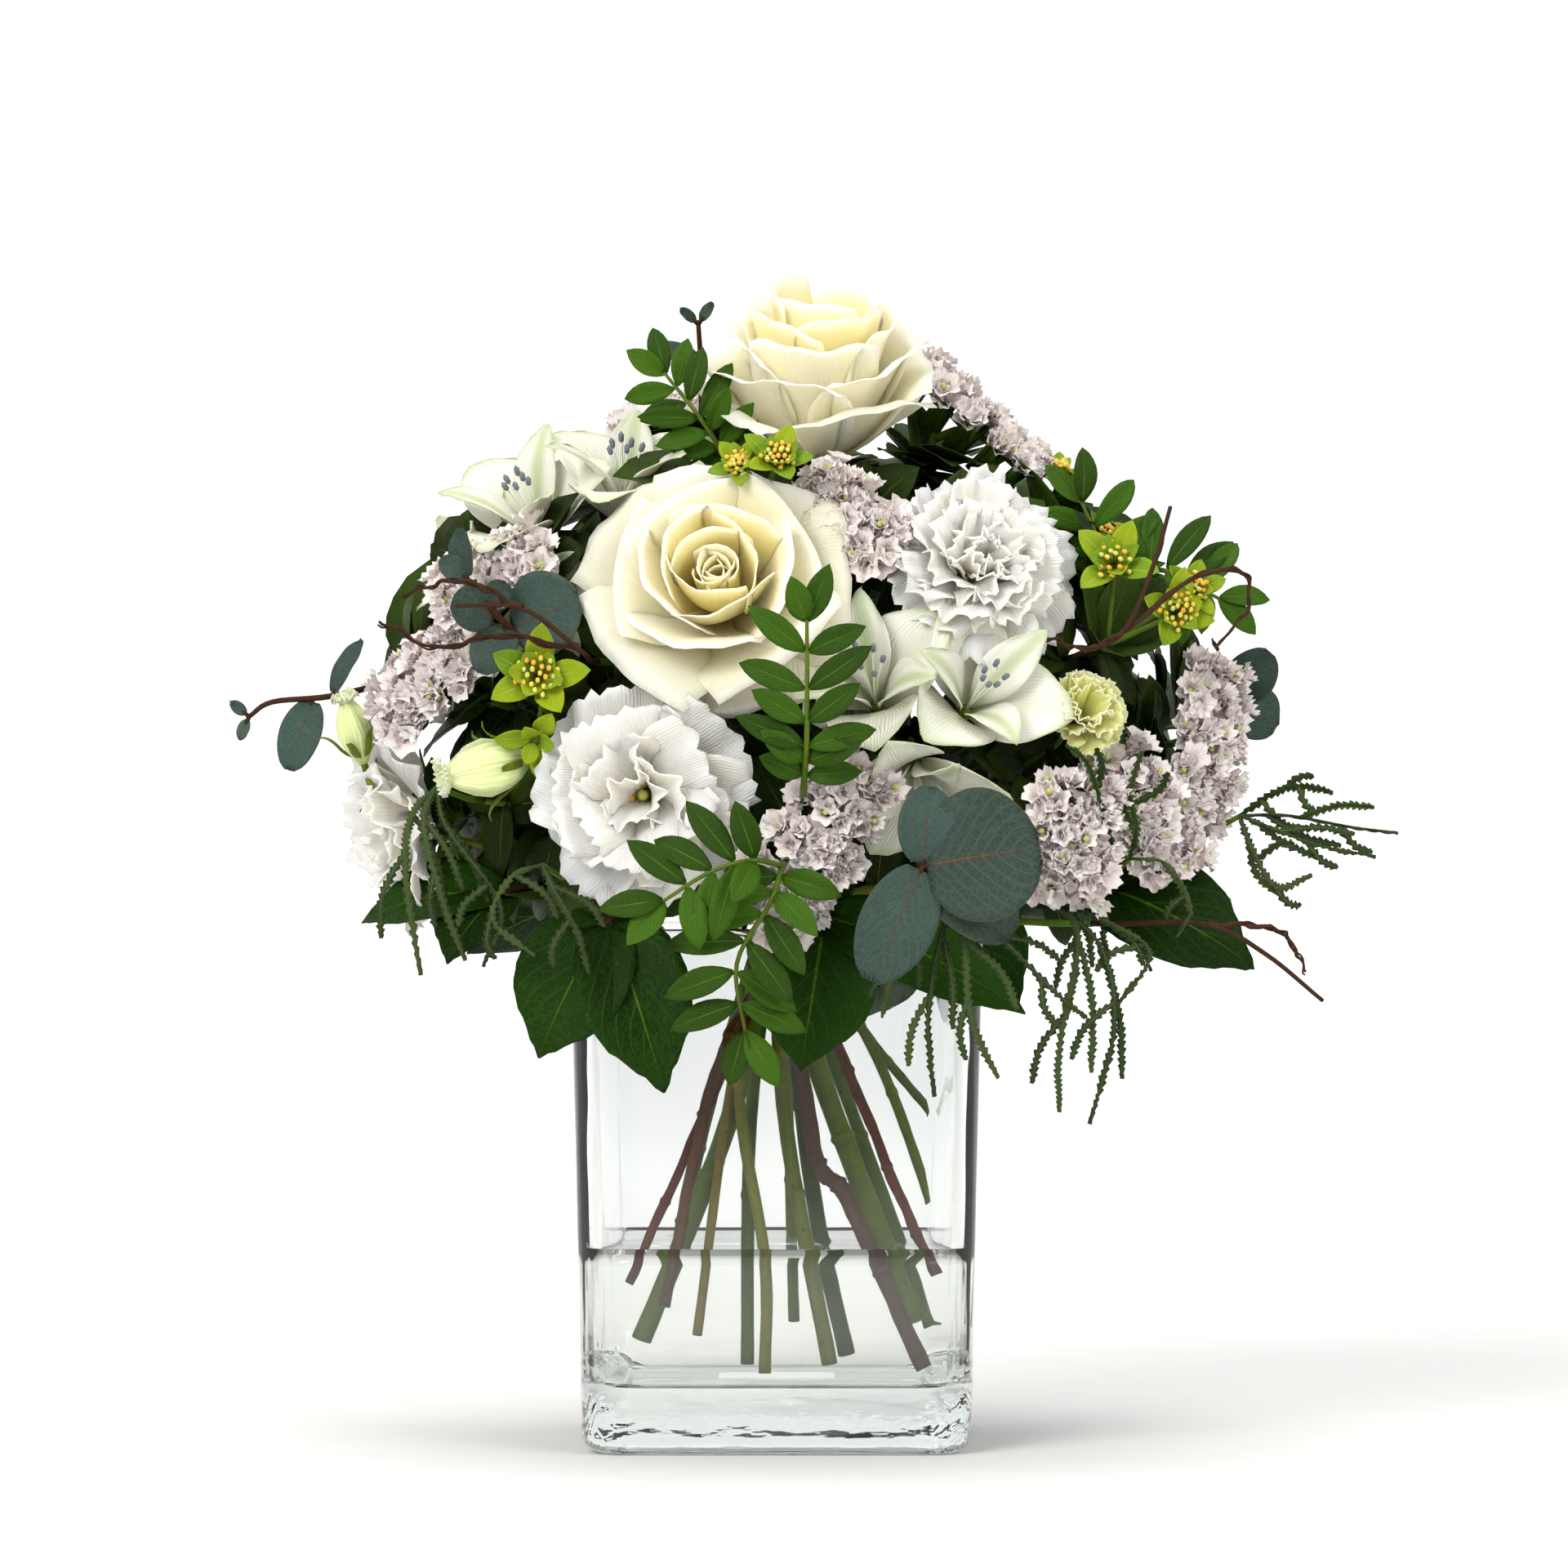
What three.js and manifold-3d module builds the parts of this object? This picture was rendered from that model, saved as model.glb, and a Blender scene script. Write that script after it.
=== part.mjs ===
// A hand-tied bouquet standing in a square glass vase of water.
// Millimetres, +Z up. The origin is the middle of the vase's underside; the front faces -Y.

import * as THREE from 'three';
import { mergeVertices } from 'three/addons/utils/BufferGeometryUtils.js';
import Module from 'manifold-3d';

const wasm = await Module();
wasm.setup();

// Vase
const VASE_HEIGHT = 178;
const RIM_HALF_WIDTH = 70;
const FOOT_HALF_WIDTH = 66;
const VASE_CORNER = 15;
const VASE_WALL = 7;
const VASE_FLOOR = 22;
const FOOT_ROUNDING = 7;
const INNER_CORNER = 11;

// Water
const WATER_LEVEL = 69;
const WATER_CLEARANCE = 0.3;

// Stems
const TIE = [0, 4, 184];
const STEM_SIDES = 5;
const HOLE_CLEARANCE = 0.45;

// Flowers and leaves
const SEAT_GAP = 0.36;
const NEIGHBOUR_GAP = 0.24;
const SMOOTHING = 0.3;
const WELD = 0.001;
const PETAL_THICKNESS = 1.0;
const LEAF_THICKNESS = 0.9;
const GOLDEN_ANGLE = 2.399963;

const DEG = Math.PI / 180;

// A repeatable source of small differences between one petal and the next.
function seeded(seed) {
  let state = (seed * 7919 + 17) % 2147483647;
  const next = () => {
    state = (state * 16807) % 2147483647;
    return state / 2147483647;
  };
  for (let i = 0; i < 6; i += 1) next();
  return {
    unit: next,
    about: (spread) => (next() * 2 - 1) * spread,
  };
}

// ---- solids -------------------------------------------------------------------------------------

function solidOf(positions, faces) {
  const geometry = new THREE.BufferGeometry();
  geometry.setAttribute('position', new THREE.Float32BufferAttribute(positions.flat(), 3));
  geometry.setIndex(faces.flat());
  const merged = mergeVertices(geometry, 1e-4);
  const mesh = new wasm.Mesh({
    numProp: 3,
    vertProperties: new Float32Array(merged.attributes.position.array),
    triVerts: new Uint32Array(merged.index.array),
  });
  const solid = new wasm.Manifold(mesh);
  return solid;
}

// A closed skin over a row of equal rings, each ring counter-clockwise seen from the last one.
function loft(rings) {
  const sides = rings[0].length;
  const positions = rings.flat();
  const faces = [];
  for (let r = 0; r + 1 < rings.length; r += 1) {
    for (let i = 0; i < sides; i += 1) {
      const j = (i + 1) % sides;
      const a = r * sides + i;
      const b = r * sides + j;
      const c = (r + 1) * sides + j;
      const d = (r + 1) * sides + i;
      faces.push([a, b, c], [a, c, d]);
    }
  }
  const last = (rings.length - 1) * sides;
  for (let i = 1; i + 1 < sides; i += 1) {
    faces.push([0, i + 1, i]);
    faces.push([last, last + i, last + i + 1]);
  }
  return solidOf(positions, faces);
}

// A round rod along a line of points, with its own radius at each point.
function rod(points, radii, sides = STEM_SIDES) {
  const line = points.map((p) => new THREE.Vector3(...p));
  let side = null;
  const rings = line.map((p, i) => {
    const before = line[Math.max(i - 1, 0)];
    const after = line[Math.min(i + 1, line.length - 1)];
    const along = after.clone().sub(before).normalize();
    if (side === null) {
      const helper = Math.abs(along.z) < 0.8 ? new THREE.Vector3(0, 0, 1) : new THREE.Vector3(1, 0, 0);
      side = helper.cross(along).normalize();
    }
    side = side.clone().addScaledVector(along, -side.dot(along)).normalize();
    const up = along.clone().cross(side);
    const radius = Array.isArray(radii) ? radii[i] : radii;
    const ring = [];
    for (let k = 0; k < sides; k += 1) {
      const turn = (k / sides) * Math.PI * 2;
      const q = p.clone();
      q.addScaledVector(side, Math.cos(turn) * radius);
      q.addScaledVector(up, Math.sin(turn) * radius);
      ring.push(q.toArray());
    }
    return ring;
  });
  return loft(rings);
}

// Points along a smooth curve through the given ones.
function curve(points, count) {
  const line = new THREE.CatmullRomCurve3(points.map((p) => new THREE.Vector3(...p)), false, 'centripetal');
  const out = [];
  for (let i = 0; i <= count; i += 1) out.push(line.getPoint(i / count).toArray());
  return out;
}

// Half width of a blade, as a share of its greatest, from root (0) to tip (1).
const OUTLINES = {
  petal: (s) => 0.1 + 0.9 * Math.sin(Math.min(s * 1.25, 1) * Math.PI * 0.5) ** 0.9,
  spoon: (s) => 0.07 + 0.93 * Math.sin(Math.min(s * 1.45, 1.62) * Math.PI * 0.5) ** 1.4,
  lance: (s) => 0.1 + 0.9 * Math.sin(Math.min(0.04 + s * 0.92, 1) * Math.PI) ** 0.8,
  round: (s) => 0.22 + 0.78 * Math.sin((0.08 + s * 0.86) * Math.PI) ** 0.55,
  heart: (s) => 0.3 + 0.7 * Math.sin((0.16 + s * 0.8) * Math.PI) ** 0.7,
};

// A petal or leaf. It grows from the origin in the X-Z plane, its face turned to -X when upright.
// tilt is the angle from +Z at root, middle and tip; cup rolls the edges towards the face;
// ruffle waves the outer edge; arch rounds (power 2) or points (power 1) the tip;
// twist lifts one edge over the next petal, as the blades of a propeller overlap.
function blade(shape) {
  const {
    length, width, rows = 3, cols = 2, thick = PETAL_THICKNESS, outline = 'petal',
    tilt = [60, 40, 60], cup = [0.6, 0.3], ruffle = 0, waves = 2, phase = 0, arch = 0.25,
    power = 2, root = 0, rise = 0, twist = 0, jag = 0,
  } = shape;
  const steps = 24;
  const spine = [[root, rise, tilt[0]]];
  for (let i = 1; i <= steps; i += 1) {
    const s = i / steps;
    const bend = s < 0.5
      ? tilt[0] + (tilt[1] - tilt[0]) * s * 2
      : tilt[1] + (tilt[2] - tilt[1]) * (s * 2 - 1);
    const [x, z] = spine[i - 1];
    const step = length / steps;
    spine.push([x + Math.sin(bend * DEG) * step, z + Math.cos(bend * DEG) * step, bend]);
  }
  const half = OUTLINES[outline];
  const at = (s0, t) => {
    const reach = 1 - arch * Math.abs(t) ** power;
    const s = s0 * reach;
    const f = s * steps;
    const i = Math.min(Math.floor(f), steps - 1);
    const k = f - i;
    const x = spine[i][0] + (spine[i + 1][0] - spine[i][0]) * k;
    const z = spine[i][1] + (spine[i + 1][1] - spine[i][1]) * k;
    const bend = (spine[i][2] + (spine[i + 1][2] - spine[i][2]) * k) * DEG;
    const w = width * half(s0) * t;
    const roll = (cup[0] + (cup[1] - cup[0]) * s) / width;
    const side = Math.abs(roll) < 1e-5 ? w : Math.sin(roll * w) / roll;
    let lift = Math.abs(roll) < 1e-5 ? 0 : (1 - Math.cos(roll * w)) / roll;
    lift += w * twist * Math.min(s0 * 3, 1);
    lift += ruffle * s0 * s0 * Math.sin(t * Math.PI * waves + phase);
    return new THREE.Vector3(x - Math.cos(bend) * lift, side, z + Math.sin(bend) * lift);
  };
  const grid = [];
  for (let r = 0; r <= rows; r += 1) {
    const row = [];
    for (let c = 0; c <= cols; c += 1) {
      const s = r / rows;
      const t = (c / cols) * 2 - 1;
      const p = at(s, t);
      const ahead = at(Math.min(s + 0.04, 1), t).sub(at(Math.max(s - 0.04, 0), t));
      const across = at(s, Math.min(t + 0.08, 1)).sub(at(s, Math.max(t - 0.08, -1)));
      const normal = ahead.clone().cross(across).normalize();
      if (jag && r === rows) p.addScaledVector(ahead.normalize(), jag * Math.sin(phase * 3 + c * 2.4));
      row.push([p, normal]);
    }
    grid.push(row);
  }
  const wide = cols + 1;
  const count = (rows + 1) * wide;
  const positions = [];
  for (const sign of [1, -1]) {
    for (const row of grid) {
      for (const [p, n] of row) positions.push(p.clone().addScaledVector(n, sign * thick * 0.5).toArray());
    }
  }
  const faces = [];
  for (let r = 0; r < rows; r += 1) {
    for (let c = 0; c < cols; c += 1) {
      const a = r * wide + c;
      const b = a + 1;
      const d = a + wide;
      const e = d + 1;
      faces.push([a, d, e], [a, e, b]);
      faces.push([a + count, e + count, d + count], [a + count, b + count, e + count]);
    }
  }
  const rim = [];
  for (let c = 0; c < cols; c += 1) rim.push([c, c + 1]);
  for (let r = 0; r < rows; r += 1) rim.push([r * wide + cols, (r + 1) * wide + cols]);
  for (let c = cols; c > 0; c -= 1) rim.push([rows * wide + c, rows * wide + c - 1]);
  for (let r = rows; r > 0; r -= 1) rim.push([r * wide, (r - 1) * wide]);
  for (const [p, q] of rim) faces.push([p, q, q + count], [p, q + count, p + count]);
  let solid = solidOf(positions, faces);
  if (solid.volume() < 0) {
    solid = solidOf(positions, faces.map(([a, b, c]) => [a, c, b]));
  }
  return solid;
}

// An egg shape on the Z axis: radii and heights from bottom to top.
function egg(profile, sides) {
  const rings = profile.map(([radius, z], r) => {
    const ring = [];
    for (let k = 0; k < sides; k += 1) {
      const turn = ((k + (r % 2) * 0.5) / sides) * Math.PI * 2;
      ring.push([Math.cos(turn) * radius, Math.sin(turn) * radius, z]);
    }
    return ring;
  });
  return loft(rings);
}

// ---- placing ------------------------------------------------------------------------------------

// The matrix that stands local +Z along a direction, turned by roll about it.
function stand(at, axis, roll = 0) {
  const up = new THREE.Vector3(...axis).normalize();
  const turn = new THREE.Quaternion().setFromUnitVectors(new THREE.Vector3(0, 0, 1), up);
  const spin = new THREE.Quaternion().setFromAxisAngle(new THREE.Vector3(0, 0, 1), roll * DEG);
  return new THREE.Matrix4().compose(
    new THREE.Vector3(...at),
    turn.multiply(spin),
    new THREE.Vector3(1, 1, 1),
  );
}

// The matrix that lays a blade on a stem: local +Z runs along the leaf, its face looks at `face`.
function lay(at, along, face) {
  const z = new THREE.Vector3(...along).normalize();
  const f = new THREE.Vector3(...face);
  const x = f.addScaledVector(z, -f.dot(z)).normalize().negate();
  const y = z.clone().cross(x);
  const m = new THREE.Matrix4().makeBasis(x, y, z);
  m.setPosition(...at);
  return m;
}

function spun(angle) {
  return new THREE.Matrix4().makeRotationZ(angle);
}

function moved(solid, matrix) {
  return solid.transform(matrix.elements);
}

// ---- keeping neighbours apart -------------------------------------------------------------------

const group = new THREE.Group();
const placed = [];

function boxesMeet(a, b, gap) {
  for (let k = 0; k < 3; k += 1) {
    if (a.min[k] > b.max[k] + gap || b.min[k] > a.max[k] + gap) return false;
  }
  return true;
}

// The same solid with every point moved out along its own normal.
function grown(solid, by) {
  const mesh = solid.getMesh();
  const stride = mesh.numProp;
  const normals = new Map();
  const key = (i) => [0, 1, 2].map((k) => Math.round(mesh.vertProperties[i * stride + k] * 1e4)).join(',');
  const point = (i) => new THREE.Vector3().fromArray(mesh.vertProperties, i * stride);
  for (let f = 0; f < mesh.triVerts.length; f += 3) {
    const [a, b, c] = mesh.triVerts.slice(f, f + 3);
    const normal = point(b).sub(point(a)).cross(point(c).sub(point(a)));
    if (normal.length() < 1e-9) continue;
    normal.normalize();
    for (const v of [a, b, c]) {
      const k = key(v);
      if (!normals.has(k)) normals.set(k, []);
      normals.get(k).push(normal);
    }
  }
  const out = new Float32Array((mesh.vertProperties.length / stride) * 3);
  for (let i = 0; i < out.length / 3; i += 1) {
    const list = normals.get(key(i)) || [];
    const sum = new THREE.Vector3();
    const used = [];
    for (const n of list) {
      if (used.some((u) => u.dot(n) > 0.999)) continue;
      used.push(n);
      sum.add(n);
    }
    const p = point(i);
    if (sum.length() > 1e-6) {
      sum.normalize();
      const least = Math.max(Math.min(...used.map((u) => u.dot(sum))), 0.45);
      p.addScaledVector(sum, by / least);
    }
    p.toArray(out, i * 3);
  }
  return new wasm.Manifold(new wasm.Mesh({ numProp: 3, vertProperties: out, triVerts: mesh.triVerts }));
}

function isClear(solid) {
  const box = solid.boundingBox();
  for (const other of placed) {
    if (!boxesMeet(box, other.box, NEIGHBOUR_GAP)) continue;
    if (solid.minGap(other.solid, NEIGHBOUR_GAP * 1.2) < NEIGHBOUR_GAP) return false;
  }
  return true;
}

// The biggest closed body of a solid, with sealed hollows filled and loose scraps left out.
function mainBody(solid) {
  let best = null;
  for (const body of solid.decompose()) {
    if (best === null || body.volume() > best.volume()) best = body;
  }
  return best;
}

function cutClear(solid) {
  let rest = solid;
  const box = solid.boundingBox();
  for (const other of placed) {
    if (!boxesMeet(box, other.box, NEIGHBOUR_GAP)) continue;
    if (rest.minGap(other.solid, NEIGHBOUR_GAP * 1.2) >= NEIGHBOUR_GAP) continue;
    rest = rest.subtract(other.grown);
  }
  return rest;
}

function material(color, roughness, metalness = 0) {
  const [r, g, b] = color;
  const tone = new THREE.Color().setRGB(r, g, b, THREE.SRGBColorSpace);
  return new THREE.MeshStandardMaterial({ color: tone, roughness, metalness });
}

// True when every edge still joins two faces once points closer than WELD are made one.
function staysClosed(body) {
  const mesh = body.getMesh();
  const names = [];
  for (let i = 0; i < mesh.vertProperties.length; i += mesh.numProp) {
    names.push([0, 1, 2].map((k) => Math.round(mesh.vertProperties[i + k] / WELD)).join(','));
  }
  const edges = new Map();
  for (let f = 0; f < mesh.triVerts.length; f += 3) {
    for (let k = 0; k < 3; k += 1) {
      const from = names[mesh.triVerts[f + k]];
      const to = names[mesh.triVerts[f + ((k + 1) % 3)]];
      if (from === to) return false;
      const key = `${from}|${to}`;
      if (edges.has(key)) return false;
      edges.set(key, `${to}|${from}`);
    }
  }
  return [...edges.values()].every((twin) => edges.has(twin));
}

function addNode(name, solid, look) {
  let body = null;
  for (const tolerance of [0.02, 0.03, 0.045, 0.06, 0.08, 0.1]) {
    body = mainBody(solid.asOriginal().simplify(tolerance));
    if (staysClosed(body)) break;
  }
  const mesh = body.getMesh();
  const geometry = new THREE.BufferGeometry();
  geometry.setAttribute('position', new THREE.BufferAttribute(new Float32Array(mesh.vertProperties), 3));
  geometry.setIndex(new THREE.BufferAttribute(new Uint32Array(mesh.triVerts), 1));
  geometry.computeVertexNormals();
  const node = new THREE.Mesh(geometry, look);
  node.name = name;
  group.add(node);
  placed.push({ name, solid: body, grown: grown(body, NEIGHBOUR_GAP + 0.03), box: body.boundingBox() });
  return body;
}

// Each part of a plant is a function of a bend and a turn round its flower, in degrees. Of those
// that miss every neighbour, the one that crosses its own flower least is used. A small leaf that
// can't be bent clear is left off, and a larger one is trimmed.
const BENDS = [0, 6, -6, 12, -12, 22, -22];
const TURNS = [0, 7, -7, 14, -14];
const ROOT_SEAM = 14;

function bestOf(part, body) {
  let best = null;
  for (const bend of BENDS) {
    for (const turn of part.turns ? TURNS : [0]) {
      const trial = part.make(bend, turn);
      if (!isClear(trial)) continue;
      const joined = body.add(trial);
      const cost = joined.numTri() + Math.abs(bend) * 0.3 + Math.abs(turn) * 0.2;
      if (best === null || cost < best.cost) best = { joined, cost };
      if (joined.numTri() - body.numTri() <= trial.numTri() + ROOT_SEAM) return best;
    }
  }
  return best;
}

function grow(name, core, parts, look) {
  let body = core;
  for (const part of parts) {
    const best = bestOf(part, body);
    if (best !== null) {
      body = best.joined;
    } else if (!part.small) {
      const whole = part.make(0, 0);
      const trimmed = mainBody(cutClear(whole));
      if (trimmed && trimmed.volume() > whole.volume() * 0.45) body = body.add(trimmed);
    }
  }
  return addNode(name, cutClear(body.asOriginal().simplify(SMOOTHING)), look);
}

// ---- looks --------------------------------------------------------------------------------------

const LOOKS = {
  glass: material([0.90, 0.93, 0.93], 0.05),
  water: material([0.86, 0.91, 0.90], 0.05),
  stem: material([0.33, 0.42, 0.16], 0.6),
  twig: material([0.30, 0.20, 0.15], 0.8),
  rose: material([0.95, 0.93, 0.80], 0.6),
  lisianthus: material([0.95, 0.95, 0.92], 0.6),
  limeBloom: material([0.87, 0.89, 0.58], 0.6),
  alstroemeria: material([0.92, 0.92, 0.86], 0.55),
  statice: material([0.86, 0.79, 0.79], 0.8),
  eucalyptus: material([0.22, 0.31, 0.29], 0.7),
  bupleurum: material([0.48, 0.60, 0.12], 0.6),
  pistacia: material([0.19, 0.34, 0.10], 0.45),
  salal: material([0.07, 0.16, 0.04], 0.4),
  fern: material([0.22, 0.32, 0.20], 0.8),
  vine: material([0.30, 0.19, 0.14], 0.85),
};

// ---- vase and water -----------------------------------------------------------------------------

function roundedSquare(half, corner, z, perCorner = 4) {
  const ring = [];
  const centres = [[1, 1], [-1, 1], [-1, -1], [1, -1]];
  centres.forEach(([sx, sy], quarter) => {
    for (let i = 0; i < perCorner; i += 1) {
      const turn = (quarter + i / (perCorner - 1)) * Math.PI * 0.5;
      const x = sx * (half - corner) + Math.cos(turn) * corner;
      const y = sy * (half - corner) + Math.sin(turn) * corner;
      ring.push([x, y, z]);
    }
  });
  return ring;
}

function outerHalf(z) {
  return FOOT_HALF_WIDTH + (RIM_HALF_WIDTH - FOOT_HALF_WIDTH) * (z / VASE_HEIGHT);
}

function innerHalf(z) {
  return outerHalf(z) - VASE_WALL;
}

function vaseOutside() {
  return loft([
    roundedSquare(outerHalf(0) - FOOT_ROUNDING, VASE_CORNER - 5, 0),
    roundedSquare(outerHalf(0) - FOOT_ROUNDING * 0.3, VASE_CORNER - 1, FOOT_ROUNDING * 0.35),
    roundedSquare(outerHalf(FOOT_ROUNDING), VASE_CORNER, FOOT_ROUNDING),
    roundedSquare(outerHalf(VASE_HEIGHT - 2), VASE_CORNER, VASE_HEIGHT - 2),
    roundedSquare(outerHalf(VASE_HEIGHT) - 1.5, VASE_CORNER - 1.5, VASE_HEIGHT),
  ]);
}

function vaseInside(bottom, top, clearance) {
  return loft([
    roundedSquare(innerHalf(bottom) - 4 - clearance, INNER_CORNER - 3, bottom),
    roundedSquare(innerHalf(bottom + 5) - clearance, INNER_CORNER, bottom + 5),
    roundedSquare(innerHalf(top) - clearance, INNER_CORNER, top),
  ]);
}

function buildVase() {
  const hollow = vaseInside(VASE_FLOOR, VASE_HEIGHT + 4, 0);
  return addNode('vase', vaseOutside().subtract(hollow), LOOKS.glass);
}

// ---- stems --------------------------------------------------------------------------------------

// Green stems below the tie: radius and the points they pass, ending in a slanting cut.
const GREEN_STEMS = [
  { radius: 3.3, path: [[-2, 2, 184], [-15, -22, 116], [-46, -42, 38]] },
  { radius: 1.6, path: [[-3, 0, 184], [-16, -26, 122], [-27, -48, 40]] },
  { radius: 2.0, path: [[-2, -2, 184], [-13, -26, 127], [-4, -44, 65], [-4, -50, 27]] },
  { radius: 2.2, path: [[0, 4, 184], [-9, -8, 110], [-10, -28, 29]] },
  { radius: 2.6, path: [[-1, 0, 184], [3, -22, 111], [18, -44, 30]] },
  { radius: 2.8, path: [[1, 8, 184], [12, 0, 89], [24, -14, 31]] },
  { radius: 3.6, path: [[2, 2, 184], [14, -18, 130], [47, -36, 44]] },
  { radius: 2.3, path: [[3, 7, 184], [20, 6, 130], [53, -14, 41]] },
  { radius: 1.8, path: [[3, 2, 184], [28, -10, 145], [40, -22, 120], [53, -34, 84]] },
  { radius: 1.6, path: [[4, 6, 184], [28, 10, 145], [39, 12, 130], [55, 14, 112]] },
  { radius: 2.0, path: [[-3, 8, 184], [-22, 26, 120], [-38, 42, 52]] },
  { radius: 1.9, path: [[1, 9, 184], [4, 32, 110], [6, 46, 40]] },
];

// Brown woody and dark red stems, in front of the green ones.
const TWIG_STEMS = [
  { radius: 1.6, path: [[0, -20, 171], [-17, -42, 132], [-50, -55, 58]] },
  { radius: 2.0, path: [[1, -22, 171], [-21, -46, 128], [-38, -55, 50]] },
  { radius: 2.8, path: [[3, -22, 171], [13, -44, 102], [24, -50, 86], [50, -54, 29]] },
  { radius: 1.8, path: [[3, -21, 171], [22, -44, 135], [41, -54, 89], [54, -56, 61]] },
];

function stemRod({ radius, path }, extra, sides) {
  return rod(curve(path, path.length - 1), radius + extra, sides);
}

// A shoot from the tie to the foot of one flower or spray.
function shootPath(head) {
  const foot = new THREE.Vector3(...head.at);
  const axis = new THREE.Vector3(...head.axis).normalize();
  foot.addScaledVector(axis, -(head.stub + SEAT_GAP));
  const tie = new THREE.Vector3(...TIE);
  const reach = foot.distanceTo(tie);
  const before = foot.clone().addScaledVector(axis, -Math.min(reach * 0.25, 18));
  return [tie.toArray(), before.toArray(), foot.toArray()];
}

// Leaves left on the stems inside the bouquet: whose stem, how far up it, direction, length, half width.
const STEM_LEAVES = [
  ['rose_top', 0.35, [-0.5, -0.6, 0.6], 46, 12],
  ['rose_top', 0.6, [0.6, -0.3, 0.7], 44, 12],
  ['rose_front', 0.4, [0.3, -0.7, 0.6], 44, 12],
  ['lisianthus_right', 0.4, [0.8, -0.5, 0.2], 44, 11],
  ['lisianthus_front', 0.4, [-0.9, -0.3, 0.5], 44, 11],
  ['rose_back', 0.45, [-0.7, 0.4, 0.5], 46, 12],
  ['lisianthus_back_right', 0.5, [0.2, 0.6, 0.8], 42, 11],
  ['lisianthus_far_left', 0.5, [-0.5, 0.6, 0.6], 44, 11],
  ['statice_right', 0.45, [0.5, 0.3, 0.8], 44, 12],
  ['eucalyptus_right', 0.5, [0.6, 0.6, 0.5], 44, 12],
];

function buildStems(heads) {
  let green = rod([[0, 4, 174], [0, 4, 184], [0, 4, 196]], [8, 10.5, 7], 7);
  for (const stem of GREEN_STEMS) green = green.add(stemRod(stem, 0, STEM_SIDES));
  for (const head of heads) green = green.add(rod(shootPath(head), head.thick, 3));
  for (const [owner, share, along, length, width] of STEM_LEAVES) {
    const [low, high] = shootPath(heads.find((head) => head.name === owner));
    const foot = low.map((v, k) => v + (high[k] - v) * share);
    const out = new THREE.Vector3(...along).normalize();
    const tip = foot.map((v, k) => v + out.getComponent(k) * length);
    green = green.add(leafPart(foot, tip, [out.x * 0.3, out.y * 0.3, 1], width, { rows: 2, cols: 2 }).make(0));
  }
  addNode('stems_green', green.asOriginal().simplify(SMOOTHING), LOOKS.stem);
  let brown = rod([[2, -20, 165], [2, -20, 176]], [4.5, 4.5], 7);
  for (const stem of TWIG_STEMS) brown = brown.add(stemRod(stem, 0, STEM_SIDES));
  addNode('stems_brown', cutClear(brown.asOriginal().simplify(SMOOTHING)), LOOKS.twig);
}

function buildWater() {
  const foot = VASE_FLOOR + WATER_CLEARANCE;
  let water = vaseInside(foot, WATER_LEVEL, WATER_CLEARANCE);
  for (const stem of [...GREEN_STEMS, ...TWIG_STEMS]) {
    const lowest = stem.path[stem.path.length - 1];
    if (lowest[2] > WATER_LEVEL) continue;
    const points = curve(stem.path, stem.path.length - 1);
    const end = new THREE.Vector3(...lowest);
    const out = end.clone().sub(new THREE.Vector3(...points[points.length - 2])).normalize();
    points[points.length - 1] = end.addScaledVector(out, HOLE_CLEARANCE).toArray();
    water = water.subtract(rod(points, stem.radius + HOLE_CLEARANCE));
  }
  return addNode('water', cutClear(water), LOOKS.water);
}

// ---- flowers ------------------------------------------------------------------------------------

function stubRod(stub, radius) {
  return rod([[0, 0, -stub], [0, 0, 3]], radius, 4);
}

function leafPiece(place, shape, options = {}) {
  return {
    ...options,
    make: (bend) => moved(blade({ ...shape, tilt: shape.tilt.map((t) => t + bend) }), place),
  };
}

function petalPart(place, angle, shape, options = {}) {
  return {
    ...options,
    turns: true,
    make: (bend, turn) => {
      const petal = blade({ ...shape, tilt: shape.tilt.map((t) => t + bend) });
      return moved(petal, place.clone().multiply(spun(angle + turn * DEG)));
    },
  };
}

// A rose: a furled heart and petals set round it by the golden angle, opening outwards.
function growRose(head) {
  const { size, petals, open, tall, seed } = head;
  const rand = seeded(seed);
  const place = stand(head.at, head.axis, seed * 31);
  const heart = egg([[4.6, -1.5], [4, 5], [3.4, 9], [size * 0.15, size * 0.4 * tall], [size * 0.07, size * 0.7 * tall]], 6);
  const core = moved(heart.add(stubRod(head.stub, head.thick)), place);
  const parts = [];
  for (let i = 0; i < petals; i += 1) {
    const f = i / (petals - 1);
    const shape = {
      length: size * (0.78 * tall + (0.98 - 0.78 * tall) * f) * (1 + rand.about(0.05)),
      width: size * (0.28 + 0.31 * f),
      rows: f < 0.6 ? 2 : 3,
      cols: 2,
      outline: 'petal',
      tilt: [40 + 42 * f * open, 4 + 48 * f * open, -8 + 112 * f * f * open + rand.about(6)],
      cup: [1.3 - 0.5 * f, 1.15 - 1.2 * f],
      arch: 0.14,
      twist: 0.1,
      root: 2.2 + 1.4 * f,
      rise: 8.5 - 8.5 * f,
    };
    const turn = i * GOLDEN_ANGLE + rand.about(0.12);
    parts.push(petalPart(place, turn, shape));
  }
  grow(head.name, core, parts, head.look || LOOKS.rose);
}

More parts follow.
